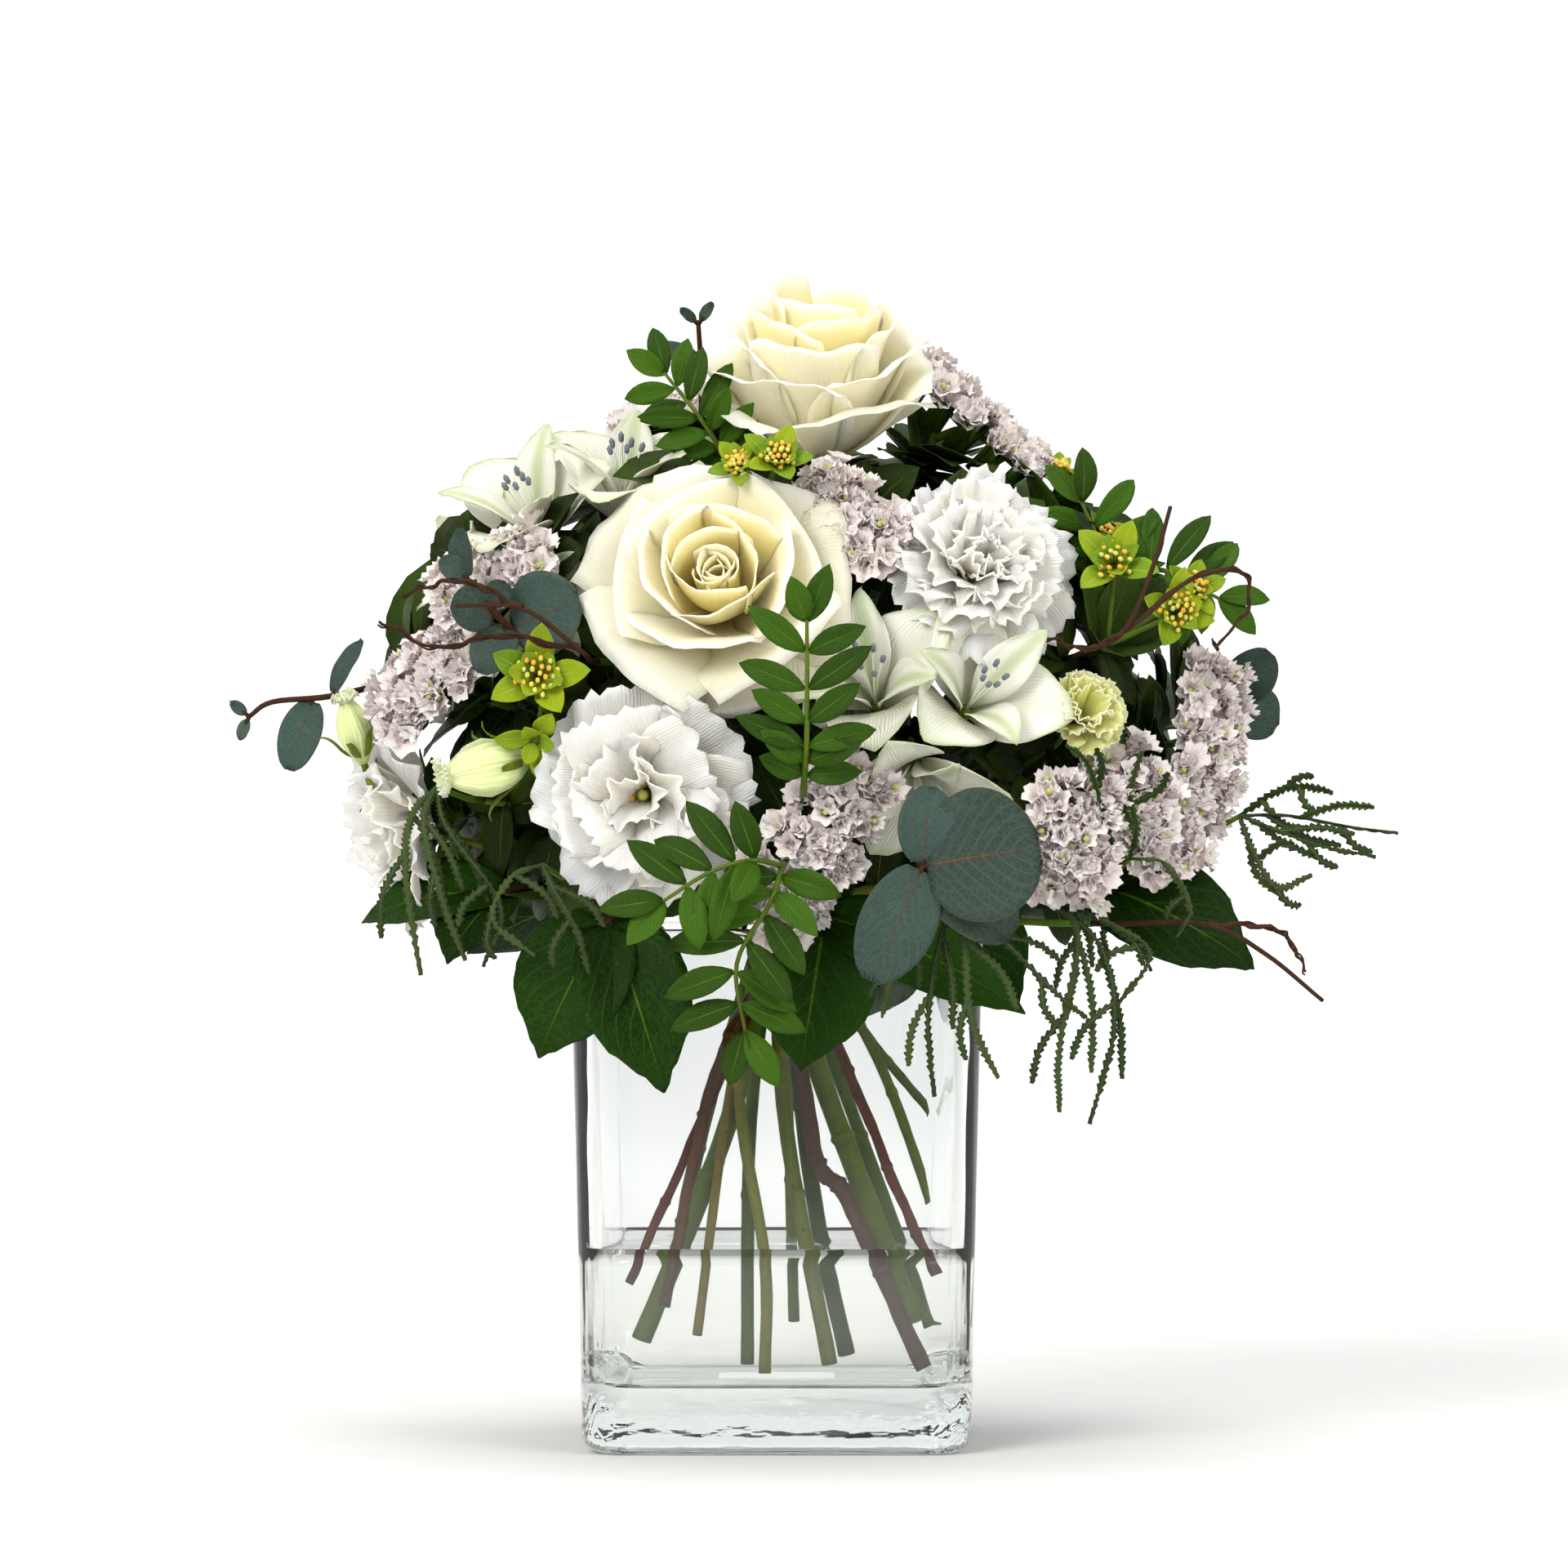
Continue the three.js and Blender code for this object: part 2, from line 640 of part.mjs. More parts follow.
// A double lisianthus: rings of waved petals with frilled edges round a small open throat.
function growFrilled(head) {
  const { size, rings, seed } = head;
  const rand = seeded(seed);
  const place = stand(head.at, head.axis, seed * 47);
  const throat = egg([[3.4, -2], [3.2, 3], [2.6, 7], [1.6, size * 0.3]], 5);
  const core = moved(throat.add(stubRod(head.stub, head.thick)), place);
  const parts = [];
  rings.forEach(([count, tilt, reach], ring) => {
    const breadth = 2 + 0.72 * size * reach * Math.sin(tilt * DEG);
    for (let i = 0; i < count; i += 1) {
      const turn = ((i + ring * 0.5) / count) * Math.PI * 2 + rand.about(0.15);
      const shape = {
        length: size * reach * (1 + rand.about(0.06)),
        width: (0.98 * Math.PI * breadth) / count,
        rows: 2,
        cols: head.rings === DOUBLE && ring > 0 ? 3 : 2,
        outline: 'petal',
        tilt: [tilt * 0.6, tilt * 0.85 + rand.about(3), tilt * 1.2 + rand.about(9)],
        cup: [0.7, 0.05],
        arch: 0.12,
        twist: 0.22,
        ruffle: size * 0.055,
        waves: 1.5,
        phase: rand.unit() * 6,
        jag: size * 0.04,
        root: 1.9,
        rise: 6.5 - 3.2 * ring,
      };
      parts.push(petalPart(place, turn, shape));
    }
  });
  grow(head.name, core, parts, head.look || LOOKS.lisianthus);
}

// A closed bud with a twisted tip and thin curled sepals.
function growBud(head) {
  const { size, width, seed } = head;
  const rand = seeded(seed);
  const place = stand(head.at, head.axis, seed * 40);
  const body = egg([
    [1.6, -2], [width * 0.75, size * 0.18], [width, size * 0.45], [width * 0.7, size * 0.75], [width * 0.3, size],
  ], 6);
  const core = moved(body.add(stubRod(head.stub, head.thick)), place);
  const parts = [];
  for (let i = 0; i < 3; i += 1) {
    const turn = (i / 3) * Math.PI * 2 + rand.about(0.3);
    const shape = {
      length: size * 0.7, width: 1.5, rows: 3, cols: 1, outline: 'lance', tilt: [80, 20, 60], cup: [0, 0], arch: 0,
    };
    parts.push(petalPart(place, turn, shape, { small: true }));
  }
  grow(head.name, core, parts, head.look);
}

// A branching head of trumpet flowers, each with three broad and three narrow petals and stamens.
function growTrumpets(head) {
  const rand = seeded(head.seed);
  let core = moved(stubRod(head.stub, head.thick), stand(head.at, head.axis));
  const parts = [];
  for (const { at, axis, size, roll = 0 } of head.blooms) {
    const place = stand(at, axis, roll);
    const out = new THREE.Vector3(...axis).normalize();
    const foot = new THREE.Vector3(...at);
    const behind = foot.clone().addScaledVector(out, -9);
    core = core.add(rod([head.at, behind.toArray(), foot.addScaledVector(out, 5).toArray()], [1.5, 1.5, 2.6], 6));
    for (let i = 0; i < 6; i += 1) {
      const broad = i % 2 === 0;
      const turn = (i / 6) * Math.PI * 2 + rand.about(0.08);
      const shape = {
        length: size * (broad ? 1 : 0.96) * (1 + rand.about(0.05)),
        width: size * (broad ? 0.27 : 0.16),
        rows: 2,
        cols: broad ? 2 : 1,
        outline: 'spoon',
        tilt: broad ? [24, 38, 70 + rand.about(6)] : [10, 18, 50 + rand.about(8)],
        cup: broad ? [0.45, 0.3] : [0, 0],
        arch: 0.22,
        power: 1.4,
        root: 1.5,
        rise: broad ? 1 : 3.2,
        twist: 0.1,
      };
      parts.push(petalPart(place, turn, shape));
    }
    for (let i = 0; i < head.stamens; i += 1) {
      const turn = i * 2.6 + 0.4;
      const lean = 0.13 + rand.about(0.04);
      const make = () => moved(rod([
        [Math.cos(turn) * 1.1, Math.sin(turn) * 1.1, 3],
        [Math.cos(turn) * size * lean * 1.5, Math.sin(turn) * size * lean * 1.5, size * 0.6],
      ], [0.5, 1.2], 3), place);
      parts.push({ make, small: true });
    }
  }
  grow(head.name, core, parts, LOOKS.alstroemeria);
}

// A papery spike: small funnel florets crowded along a stalk.
function growStatice(head) {
  const rand = seeded(head.seed);
  const path = curve(head.path, 4);
  const face = new THREE.Vector3(...head.face).normalize();
  const start = new THREE.Vector3(...path[0]);
  let core = rod([path[0], path[2], path[4]], [2.6, 5, 2.8].map((r) => r * head.full), 5);
  const foot = new THREE.Vector3(...head.at).addScaledVector(new THREE.Vector3(...head.axis).normalize(), -head.stub);
  core = core.add(rod([foot.toArray(), head.at, path[2]], [head.thick, head.thick, 1.4], 4));
  const along = new THREE.Vector3(...path[4]).sub(start);
  const side = along.clone().cross(face).normalize();
  const parts = [];
  for (let i = 0; i < head.florets; i += 1) {
    const s = (i + 0.5) / head.florets;
    const p = start.clone().addScaledVector(along, s);
    const near = new THREE.Vector3(...path[Math.round(s * 4)]);
    p.lerp(near, 0.5);
    const lean = ((i * 0.618) % 1) * 2 - 1;
    p.addScaledVector(side, lean * head.breadth * 0.55);
    const axis = face.clone().addScaledVector(side, lean * 0.9);
    axis.addScaledVector(along.clone().normalize(), (s - 0.5) * 1.2 + rand.about(0.25)).normalize();
    const reach = 9.5 + rand.about(1.4);
    const flare = 3.9 + rand.about(0.7);
    const root = p.clone().addScaledVector(side, -lean * head.breadth * 0.5);
    const make = (bend) => {
      const end = p.clone().addScaledVector(axis, reach - bend * 0.08);
      return rod([root.toArray(), end.toArray()], [1, flare], 4);
    };
    parts.push({ make, small: true });
  }
  grow(head.name, core, parts, LOOKS.statice);
}

// ---- leaves -------------------------------------------------------------------------------------

function minus(a, b) {
  return [a[0] - b[0], a[1] - b[1], a[2] - b[2]];
}

function distance(a, b) {
  return Math.hypot(...minus(a, b));
}

// A leaf from its foot to its tip, its face looking one way.
function leafPart(foot, tip, face, width, shape = {}, options = {}) {
  const place = lay(foot, minus(tip, foot), face);
  return leafPiece(place, {
    length: distance(foot, tip) * 1.02,
    width,
    rows: 3,
    cols: 2,
    thick: LEAF_THICKNESS,
    outline: 'lance',
    tilt: [-8, 0, 9],
    cup: [0.25, 0.2],
    arch: 0,
    ...shape,
  }, options);
}

function stalk(head, path, radii, smooth = false) {
  const axis = new THREE.Vector3(...head.axis).normalize();
  const foot = new THREE.Vector3(...head.at).addScaledVector(axis, -head.stub).toArray();
  const points = [foot, ...(smooth ? curve([head.at, ...path], path.length + 1) : [head.at, ...path])];
  const last = points.length - 1;
  return rod(points, points.map((p, i) => radii[0] + (radii[1] - radii[0]) * (i / last)), 4);
}

const SMALL_LEAF = { rows: 2, cols: 1, cup: [0, 0] };

// The point of a line of points that lies nearest to another point.
function nearestOn(points, target) {
  const goal = new THREE.Vector3(...target);
  let best = null;
  for (let i = 0; i + 1 < points.length; i += 1) {
    const run = new THREE.Line3(new THREE.Vector3(...points[i]), new THREE.Vector3(...points[i + 1]));
    const near = run.closestPointToPoint(goal, true, new THREE.Vector3());
    if (best === null || near.distanceTo(goal) < best.distanceTo(goal)) best = near;
  }
  return best.toArray();
}

// A leafy twig: each leaf is [foot, tip, face, half width].
function growLeafy(head) {
  let core = stalk(head, head.path, head.radii || [1.5, 0.9]);
  for (const side of head.twigs || []) core = core.add(rod(side, [1.1, 0.9, 0.8].slice(0, side.length), 4));
  const parts = head.leaves.map(([foot, tip, face, width]) => (
    leafPart(nearestOn([head.at, ...head.path], foot), tip, face, width, width < 6 ? { ...head.shape, ...SMALL_LEAF } : head.shape, { small: width < 9 })
  ));
  grow(head.name, core, parts, head.look);
}

// A pinnate spray: pairs of narrow leaflets along a stalk, with one at the end.
function leafletParts(head, path, pairs, from, rand) {
  const face = new THREE.Vector3(...head.face).normalize();
  const line = new THREE.CatmullRomCurve3([head.at, ...path].map((p) => new THREE.Vector3(...p)));
  const parts = [];
  for (let i = 0; i <= pairs; i += 1) {
    const s = from + (1 - from) * (i / pairs);
    const p = line.getPoint(Math.min(s, 0.995));
    const along = line.getTangent(Math.min(s, 0.995));
    const side = along.clone().cross(face).normalize();
    const turns = i === pairs ? [0.35, -0.35] : [1, -1];
    for (const hand of turns) {
      const lean = i === pairs ? 0.9 : 0.45 + rand.about(0.2);
      const out = side.clone().multiplyScalar(hand).addScaledVector(along, lean);
      out.addScaledVector(face, 0.15 + rand.about(0.25)).normalize();
      const length = head.leaf * (0.86 + 0.2 * Math.sin((i / pairs) * Math.PI)) * (1 + rand.about(0.08));
      const tip = p.clone().addScaledVector(out, length);
      const look = face.clone().addScaledVector(side, hand * 0.3);
      const shape = { rows: 2, cols: 1, cup: [0, 0], tilt: [-6, 2, 14 + rand.about(8)] };
      parts.push(leafPart(p.toArray(), tip.toArray(), look.toArray(), head.leaf * 0.22, shape, { small: true }));
    }
  }
  return parts;
}

function growPinnate(head) {
  let core = stalk(head, head.path, [1.3, 0.8], true);
  const rand = seeded(head.seed);
  const parts = leafletParts(head, head.path, head.pairs, head.from, rand);
  if (head.second) {
    core = core.add(stalk(head, head.second.path, [1.2, 0.8], true));
    parts.push(...leafletParts(head, head.second.path, head.second.pairs, 0.3, rand));
  }
  grow(head.name, core, parts, LOOKS.pistacia);
}

// A star of pointed bracts with a crowd of small round florets.
function growStars(head) {
  const rand = seeded(head.seed);
  let core = stalk(head, [head.stars[0].at], [1.2, 1.0]);
  const parts = [];
  head.stars.forEach(({ at, axis, size, bracts, florets }, index) => {
    const place = stand(at, axis, index * 50);
    if (index > 0) core = core.add(rod([head.at, at], [1.1, 0.9], 4));
    core = core.add(moved(egg([[1.7, -2.5], [3, 1.6]], 6), place));
    for (let i = 0; i < bracts; i += 1) {
      const shape = {
        length: size * (1 + rand.about(0.15)), width: size * 0.34, rows: 2, cols: 1, outline: 'lance',
        tilt: [72, 62, 74 + rand.about(14)], cup: [0, 0], arch: 0, thick: LEAF_THICKNESS, root: 1.8,
      };
      const turn = (i / bracts) * Math.PI * 2 + rand.about(0.2);
      parts.push(petalPart(place, turn, shape, { small: true }));
    }
    for (let i = 0; i < florets; i += 1) {
      const turn = i * GOLDEN_ANGLE;
      const r = i === 0 ? 0 : size * 0.2;
      const foot = [Math.cos(turn) * r * 0.5, Math.sin(turn) * r * 0.5, 1];
      const top = [Math.cos(turn) * r, Math.sin(turn) * r, size * (i === 0 ? 0.5 : 0.4) + rand.about(0.6)];
      const make = () => moved(rod([foot, top], [0.6, 1.7], 3), place);
      parts.push({ make, small: true });
    }
  });
  grow(head.name, core, parts, LOOKS.bupleurum);
}

// A toothed strand: a flat ribbon whose edge goes in and out.
function strand(points, count, width) {
  const line = curve(points, count);
  const rings = [];
  let side = new THREE.Vector3(1, 0, 0);
  line.forEach((p, i) => {
    const before = new THREE.Vector3(...line[Math.max(i - 1, 0)]);
    const after = new THREE.Vector3(...line[Math.min(i + 1, count)]);
    const along = after.sub(before).normalize();
    side = side.clone().addScaledVector(along, -side.dot(along));
    if (side.length() < 0.2) side = new THREE.Vector3(0, 0, 1).addScaledVector(along, -along.z);
    side.normalize();
    const up = along.clone().cross(side);
    const half = i === 0 ? 1.0 : (i % 2 === 0 ? width : width * 0.42);
    const ring = [[0, 0.9], [-1, -0.3], [1, -0.3]].map(([u, v]) => (
      new THREE.Vector3(...p).addScaledVector(side, u * half).addScaledVector(up, v).toArray()
    ));
    rings.push(ring);
  });
  return loft(rings);
}

function growFern(head) {
  const core = stalk(head, [head.fork], [1.2, 1.0]);
  const parts = head.strands.map((path) => ({
    make: (bend) => strand(
      [head.fork, ...path.map((p, i) => [p[0] + bend * 0.15 * (i + 1), p[1] - bend * 0.3 * (i + 1), p[2]])],
      head.teeth,
      1.7,
    ),
  }));
  grow(head.name, core, parts, LOOKS.fern);
}

// Thin woody vine, with side shoots.
function growVine(head) {
  let core = stalk(head, head.path, [1.2, 0.8]);
  const parts = [];
  for (const side of head.twigs) {
    parts.push({
      make: (bend) => rod(curve([side[0], ...side.slice(1).map((p) => [p[0], p[1] - bend * 0.4, p[2]])], 7), 0.75, 4),
    });
  }
  grow(head.name, core, parts, LOOKS.vine);
}

// ---- the arrangement ----------------------------------------------------------------------------
// at: where the head joins its stub; axis: the way it grows; stub: stub length; thick: stub radius.

const DOUBLE = [[3, 20, 0.66], [5, 46, 0.84], [6, 76, 1]];
const LOOSE = [[3, 34, 0.75], [5, 72, 1]];

const HEADS = [
  { build: growRose, name: 'rose_front', at: [-17, -78, 285], axis: [-0.1, -0.91, 0.38], stub: 8, thick: 2.6,
    size: 47, petals: 13, open: 1, tall: 1, seed: 3 },
  { build: growRose, name: 'rose_top', at: [13, -40, 337], axis: [0.05, -0.4, 0.91], stub: 9, thick: 2.6,
    size: 50, petals: 12, open: 0.66, tall: 1.5, seed: 8 },
  { build: growRose, name: 'rose_back', at: [10, 66, 296], axis: [0.1, 0.86, 0.5], stub: 9, thick: 2.6,
    size: 41, petals: 8, open: 0.9, tall: 1.1, seed: 12 },
  { build: growFrilled, name: 'lisianthus_front', at: [-42, -88, 224], axis: [-0.2, -0.97, -0.06], stub: 7,
    thick: 1.8, size: 41, rings: DOUBLE, seed: 5 },
  { build: growFrilled, name: 'lisianthus_right', at: [63, -68, 294], axis: [0.3, -0.82, 0.42], stub: 7,
    thick: 1.8, size: 37, rings: DOUBLE, seed: 6 },
  { build: growFrilled, name: 'lisianthus_left', at: [-113, -33, 216], axis: [-0.93, -0.34, -0.12], stub: 7,
    thick: 1.8, size: 39, rings: LOOSE, seed: 7 },
  { build: growFrilled, name: 'lisianthus_far_left', at: [-96, 4, 262], axis: [-0.78, -0.25, 0.5], stub: 7,
    thick: 1.8, size: 30, rings: LOOSE, seed: 9 },
  { build: growFrilled, name: 'lisianthus_back_left', at: [-62, 70, 252], axis: [-0.5, 0.82, 0.25], stub: 7,
    thick: 1.8, size: 37, rings: LOOSE, seed: 10 },
  { build: growFrilled, name: 'lisianthus_back_right', at: [72, 64, 236], axis: [0.6, 0.78, 0.1], stub: 7,
    thick: 1.8, size: 37, rings: LOOSE, seed: 11 },
  { build: growFrilled, name: 'lime_bloom', at: [99, -76, 247], axis: [0.35, -0.85, 0.35], stub: 6, thick: 1.4,
    size: 17, rings: [[3, 24, 0.9], [5, 54, 1]], seed: 13, look: LOOKS.limeBloom },
  { build: growBud, name: 'bud_front_left', at: [-84, -92, 235], axis: [-0.92, -0.34, -0.2], stub: 6, thick: 1.3,
    size: 29, width: 9.5, seed: 14, look: LOOKS.limeBloom },
  { build: growBud, name: 'bud_left', at: [-141, -46, 236], axis: [-0.25, -0.3, 0.92], stub: 6, thick: 1.2,
    size: 22, width: 6.5, seed: 15, look: LOOKS.limeBloom },
  { build: growTrumpets, name: 'alstroemeria_right', at: [47, -56, 236], axis: [0.2, -0.9, 0.1], stub: 8, thick: 1.8,
    seed: 16, stamens: 2, blooms: [
      { at: [34, -82, 251], axis: [-0.15, -0.82, 0.55], size: 43, roll: 30 },
      { at: [62, -80, 250], axis: [0.3, -0.85, 0.4], size: 42, roll: 0 },
      { at: [46, -88, 236], axis: [0.1, -0.75, -0.64], size: 37, roll: 10 },
    ] },
  { build: growTrumpets, name: 'alstroemeria_left', at: [-62, -26, 284], axis: [-0.4, -0.3, 0.85], stub: 8, thick: 1.8,
    seed: 17, stamens: 1, blooms: [
      { at: [-52, -42, 314], axis: [0.02, -0.45, 0.89], size: 43, roll: 20 },
      { at: [-79, -42, 306], axis: [-0.3, -0.55, 0.78], size: 42, roll: 0 },
      { at: [-88, -32, 294], axis: [-0.85, -0.35, 0.4], size: 37, roll: 15 },
      { at: [-74, -50, 288], axis: [-0.3, -0.93, -0.1], size: 28, roll: 40 },
    ] },
  { build: growTrumpets, name: 'alstroemeria_back', at: [-6, 62, 238], axis: [-0.05, 0.97, 0.1], stub: 8, thick: 1.8,
    seed: 18, stamens: 1, blooms: [
      { at: [-18, 84, 250], axis: [-0.35, 0.85, 0.35], size: 37, roll: 20 },
      { at: [10, 86, 242], axis: [0.3, 0.94, -0.05], size: 36, roll: 0 },
    ] },
  { build: growStatice, name: 'statice_top', at: [54, -14, 346], axis: [0.4, -0.1, 0.9], stub: 10, thick: 1.6,
    path: [[50, -14, 366], [68, -18, 350], [84, -24, 334]], face: [0.62, -0.35, 0.7], breadth: 11, full: 0.9,
    florets: 13, seed: 20 },
  { build: growStatice, name: 'statice_centre', at: [22, -66, 312], axis: [0.1, -0.8, 0.5], stub: 8, thick: 1.4,
    path: [[14, -80, 324], [26, -84, 316], [36, -86, 304]], face: [-0.05, -0.85, 0.5], breadth: 12, full: 0.8,
    florets: 10, seed: 21 },
  { build: growStatice, name: 'statice_left_upper', at: [-92, -60, 292], axis: [-0.3, -0.8, 0.4], stub: 7, thick: 1.4,
    path: [[-110, -66, 288], [-96, -70, 296], [-80, -74, 302]], face: [-0.25, -0.8, 0.5], breadth: 12, full: 0.8,
    florets: 10, seed: 22 },
  { build: growStatice, name: 'statice_left', at: [-104, -52, 258], axis: [-0.8, -0.5, 0.3], stub: 8, thick: 1.4,
    path: [[-128, -58, 250], [-118, -64, 264], [-98, -72, 272]], face: [-0.55, -0.75, 0.3], breadth: 14, full: 0.9,
    florets: 12, seed: 23 },
  { build: growStatice, name: 'statice_low', at: [14, -100, 212], axis: [0.05, -0.99, 0.1], stub: 8, thick: 1.5,
    path: [[26, -106, 230], [14, -110, 206], [-4, -110, 182]], face: [0, -0.97, 0.1], breadth: 17, full: 1.1,
    florets: 17, seed: 24 },
  { build: growStatice, name: 'statice_right_low', at: [94, -88, 208], axis: [0.4, -0.9, 0.05], stub: 8, thick: 1.4,
    path: [[100, -94, 224], [98, -98, 208], [94, -98, 192]], face: [0.2, -0.95, 0.1], breadth: 15, full: 1,
    florets: 12, seed: 25 },
  { build: growStatice, name: 'statice_right_mid', at: [116, -58, 218], axis: [0.7, -0.7, 0.1], stub: 8, thick: 1.4,
    path: [[112, -66, 234], [124, -66, 216], [132, -64, 200]], face: [0.45, -0.85, 0.1], breadth: 15, full: 0.9,
    florets: 12, seed: 26 },
  { build: growStatice, name: 'statice_right', at: [132, -30, 240], axis: [0.9, -0.4, 0.2], stub: 8, thick: 1.4,
    path: [[148, -26, 264], [148, -34, 242], [140, -40, 218]], face: [0.6, -0.78, 0.1], breadth: 14, full: 0.95,
    florets: 14, seed: 57 },
  { build: growStatice, name: 'statice_upper_left', at: [-36, 14, 332], axis: [-0.2, 0.1, 0.97], stub: 8, thick: 1.4,
    path: [[-52, 10, 348], [-38, 8, 352], [-24, 6, 352]], face: [-0.25, -0.25, 0.93], breadth: 10, full: 0.7,
    florets: 8, seed: 28 },
  { build: growStatice, name: 'statice_back', at: [44, 62, 282], axis: [0.5, 0.6, 0.6], stub: 8, thick: 1.4,
    path: [[48, 72, 306], [58, 76, 292], [64, 82, 276]], face: [0.5, 0.75, 0.4], breadth: 13, full: 0.9,
    florets: 11, seed: 30 },
  { build: growLeafy, name: 'eucalyptus_front', at: [46, -124, 196], axis: [0.05, -0.98, 0.05], stub: 8, thick: 1.5,
    path: [[48, -136, 200]], look: LOOKS.eucalyptus,
    shape: { outline: 'round', tilt: [-14, 2, 16], cup: [0.35, 0.3], rows: 4, cols: 2 },
    leaves: [
      [[49, -136, 200], [86, -139, 206], [-0.1, -1, 0.15], 23],
      [[46, -135, 202], [50, -137, 226], [0.15, -1, 0.1], 10],
      [[46, -137, 203], [31, -141, 163], [0.1, -1, 0.1], 13],
      [[49, -134, 199], [78, -130, 178], [0.2, -0.95, 0.3], 13],
    ] },
  { build: growLeafy, name: 'eucalyptus_left', at: [-84, -82, 274], axis: [-0.4, -0.85, 0.3], stub: 7, thick: 1.3,
    path: [[-94, -92, 284], [-104, -92, 296]], look: LOOKS.eucalyptus,
    shape: { outline: 'round', tilt: [-12, 2, 14], cup: [0.3, 0.3], rows: 3, cols: 2 },
    leaves: [
      [[-88, -88, 278], [-66, -98, 288], [-0.1, -0.98, 0.2], 15],
      [[-93, -92, 282], [-108, -96, 288], [-0.2, -0.95, 0.25], 8.5],
      [[-96, -92, 286], [-90, -96, 294], [-0.1, -0.97, 0.2], 5],
      [[-103, -92, 295], [-112, -94, 302], [0.4, -0.9, 0.1], 4.5],
      [[-103, -92, 295], [-106, -92, 312], [-0.5, -0.8, 0], 5],
      [[-90, -92, 276], [-98, -98, 264], [-0.2, -0.95, 0.2], 8],
    ] },
  { build: growLeafy, name: 'eucalyptus_far_left', at: [-128, -26, 263], axis: [-0.95, -0.2, 0.2], stub: 8, thick: 1.2,
    path: [[-152, -38, 257], [-172, -40, 255], [-180, -40, 250]], look: LOOKS.eucalyptus, radii: [1.2, 0.8],
    shape: { outline: 'round', tilt: [-10, 0, 12], cup: [0.3, 0.3], rows: 4, cols: 2 },
    leaves: [
      [[-158, -39, 256], [-166, -44, 232], [-0.1, -0.98, 0.1], 7.5],
      [[-152, -38, 257], [-142, -36, 276], [-0.6, -0.75, 0.1], 4],
      [[-180, -40, 250], [-186, -40, 255], [-0.2, -0.95, 0.1], 2.2],
      [[-180, -40, 250], [-183, -42, 242], [-0.2, -0.95, 0.1], 2.2],
    ] },
  { build: growLeafy, name: 'eucalyptus_top', at: [-26, -2, 346], axis: [-0.2, -0.2, 0.95], stub: 8, thick: 1.2,
    path: [[-26, -16, 368], [-27, -22, 386]], look: LOOKS.eucalyptus, radii: [1.2, 0.8],
    shape: { outline: 'round', tilt: [-10, 0, 12], cup: [0.3, 0.3], rows: 3, cols: 2 },
    leaves: [
      [[-26, -18, 374], [-44, -20, 377], [0, -0.95, 0.3], 3.6],
      [[-27, -22, 385], [-33, -24, 390], [0, -0.95, 0.3], 2],
      [[-27, -22, 385], [-22, -24, 392], [0, -0.95, 0.3], 2],
    ] },
  { build: growLeafy, name: 'eucalyptus_right', at: [146, -8, 250], axis: [0.95, -0.1, 0.2], stub: 8, thick: 1.2,
    path: [[156, -10, 256]], look: LOOKS.eucalyptus,
    shape: { outline: 'round', tilt: [-12, 0, 14], cup: [0.3, 0.3], rows: 3, cols: 2 },
    leaves: [
      [[157, -10, 256], [170, -16, 272], [0.3, -0.9, 0.2], 9],
      [[157, -10, 256], [172, -10, 246], [0.3, -0.85, 0.4], 11],
      [[155, -10, 256], [152, 4, 276], [0.9, -0.1, 0.4], 10],
    ] },
  { build: growLeafy, name: 'eucalyptus_back', at: [-34, 92, 196], axis: [-0.2, 0.97, 0.05], stub: 8, thick: 1.4,
    path: [[-36, 106, 200], [-38, 116, 214]], look: LOOKS.eucalyptus,
    shape: { outline: 'round', tilt: [-14, 2, 16], cup: [0.35, 0.3], rows: 3, cols: 2 },
    leaves: [
      [[-36, 106, 200], [-8, 112, 212], [0.1, 0.98, 0.2], 17],
      [[-36, 106, 200], [-64, 108, 206], [-0.2, 0.95, 0.2], 17],
      [[-38, 114, 212], [-42, 120, 240], [0.1, 0.95, 0.3], 13],
    ] },
  { build: growPinnate, name: 'pistacia_centre', at: [9, -122, 226], axis: [0.02, -0.9, 0.4], stub: 8, thick: 1.3,
    path: [[10, -136, 244], [10, -140, 282]], face: [0, -0.97, 0.2], pairs: 4, from: 0.12, leaf: 23, seed: 31 },
  { build: growPinnate, name: 'pistacia_low', at: [2, -122, 200], axis: [-0.1, -0.95, -0.1], stub: 8, thick: 1.3,
    path: [[-2, -134, 188], [-13, -134, 168], [-10, -126, 144]], face: [-0.1, -0.96, 0.1], pairs: 4, from: 0.1,
    leaf: 25, seed: 32, second: { path: [[-8, -136, 202], [-22, -138, 198], [-38, -138, 188]], pairs: 3 } },
  { build: growPinnate, name: 'pistacia_upper_left', at: [-14, -56, 331], axis: [-0.1, -0.7, 0.7], stub: 8, thick: 1.3,
    path: [[-24, -66, 348], [-38, -64, 366]], face: [-0.15, -0.95, 0.2], pairs: 4, from: 0.15, leaf: 20, seed: 44 },
  { build: growPinnate, name: 'pistacia_right', at: [112, -34, 288], axis: [0.8, -0.4, 0.4], stub: 8, thick: 1.3,
    path: [[130, -40, 300], [152, -34, 290]], face: [0.2, -0.9, 0.35], pairs: 4, from: 0.15,
    leaf: 22, seed: 35, second: { path: [[112, -36, 304], [104, -34, 324]], pairs: 2 } },
  { build: growPinnate, name: 'pistacia_back', at: [28, 92, 206], axis: [0.2, 0.97, 0.1], stub: 8, thick: 1.3,
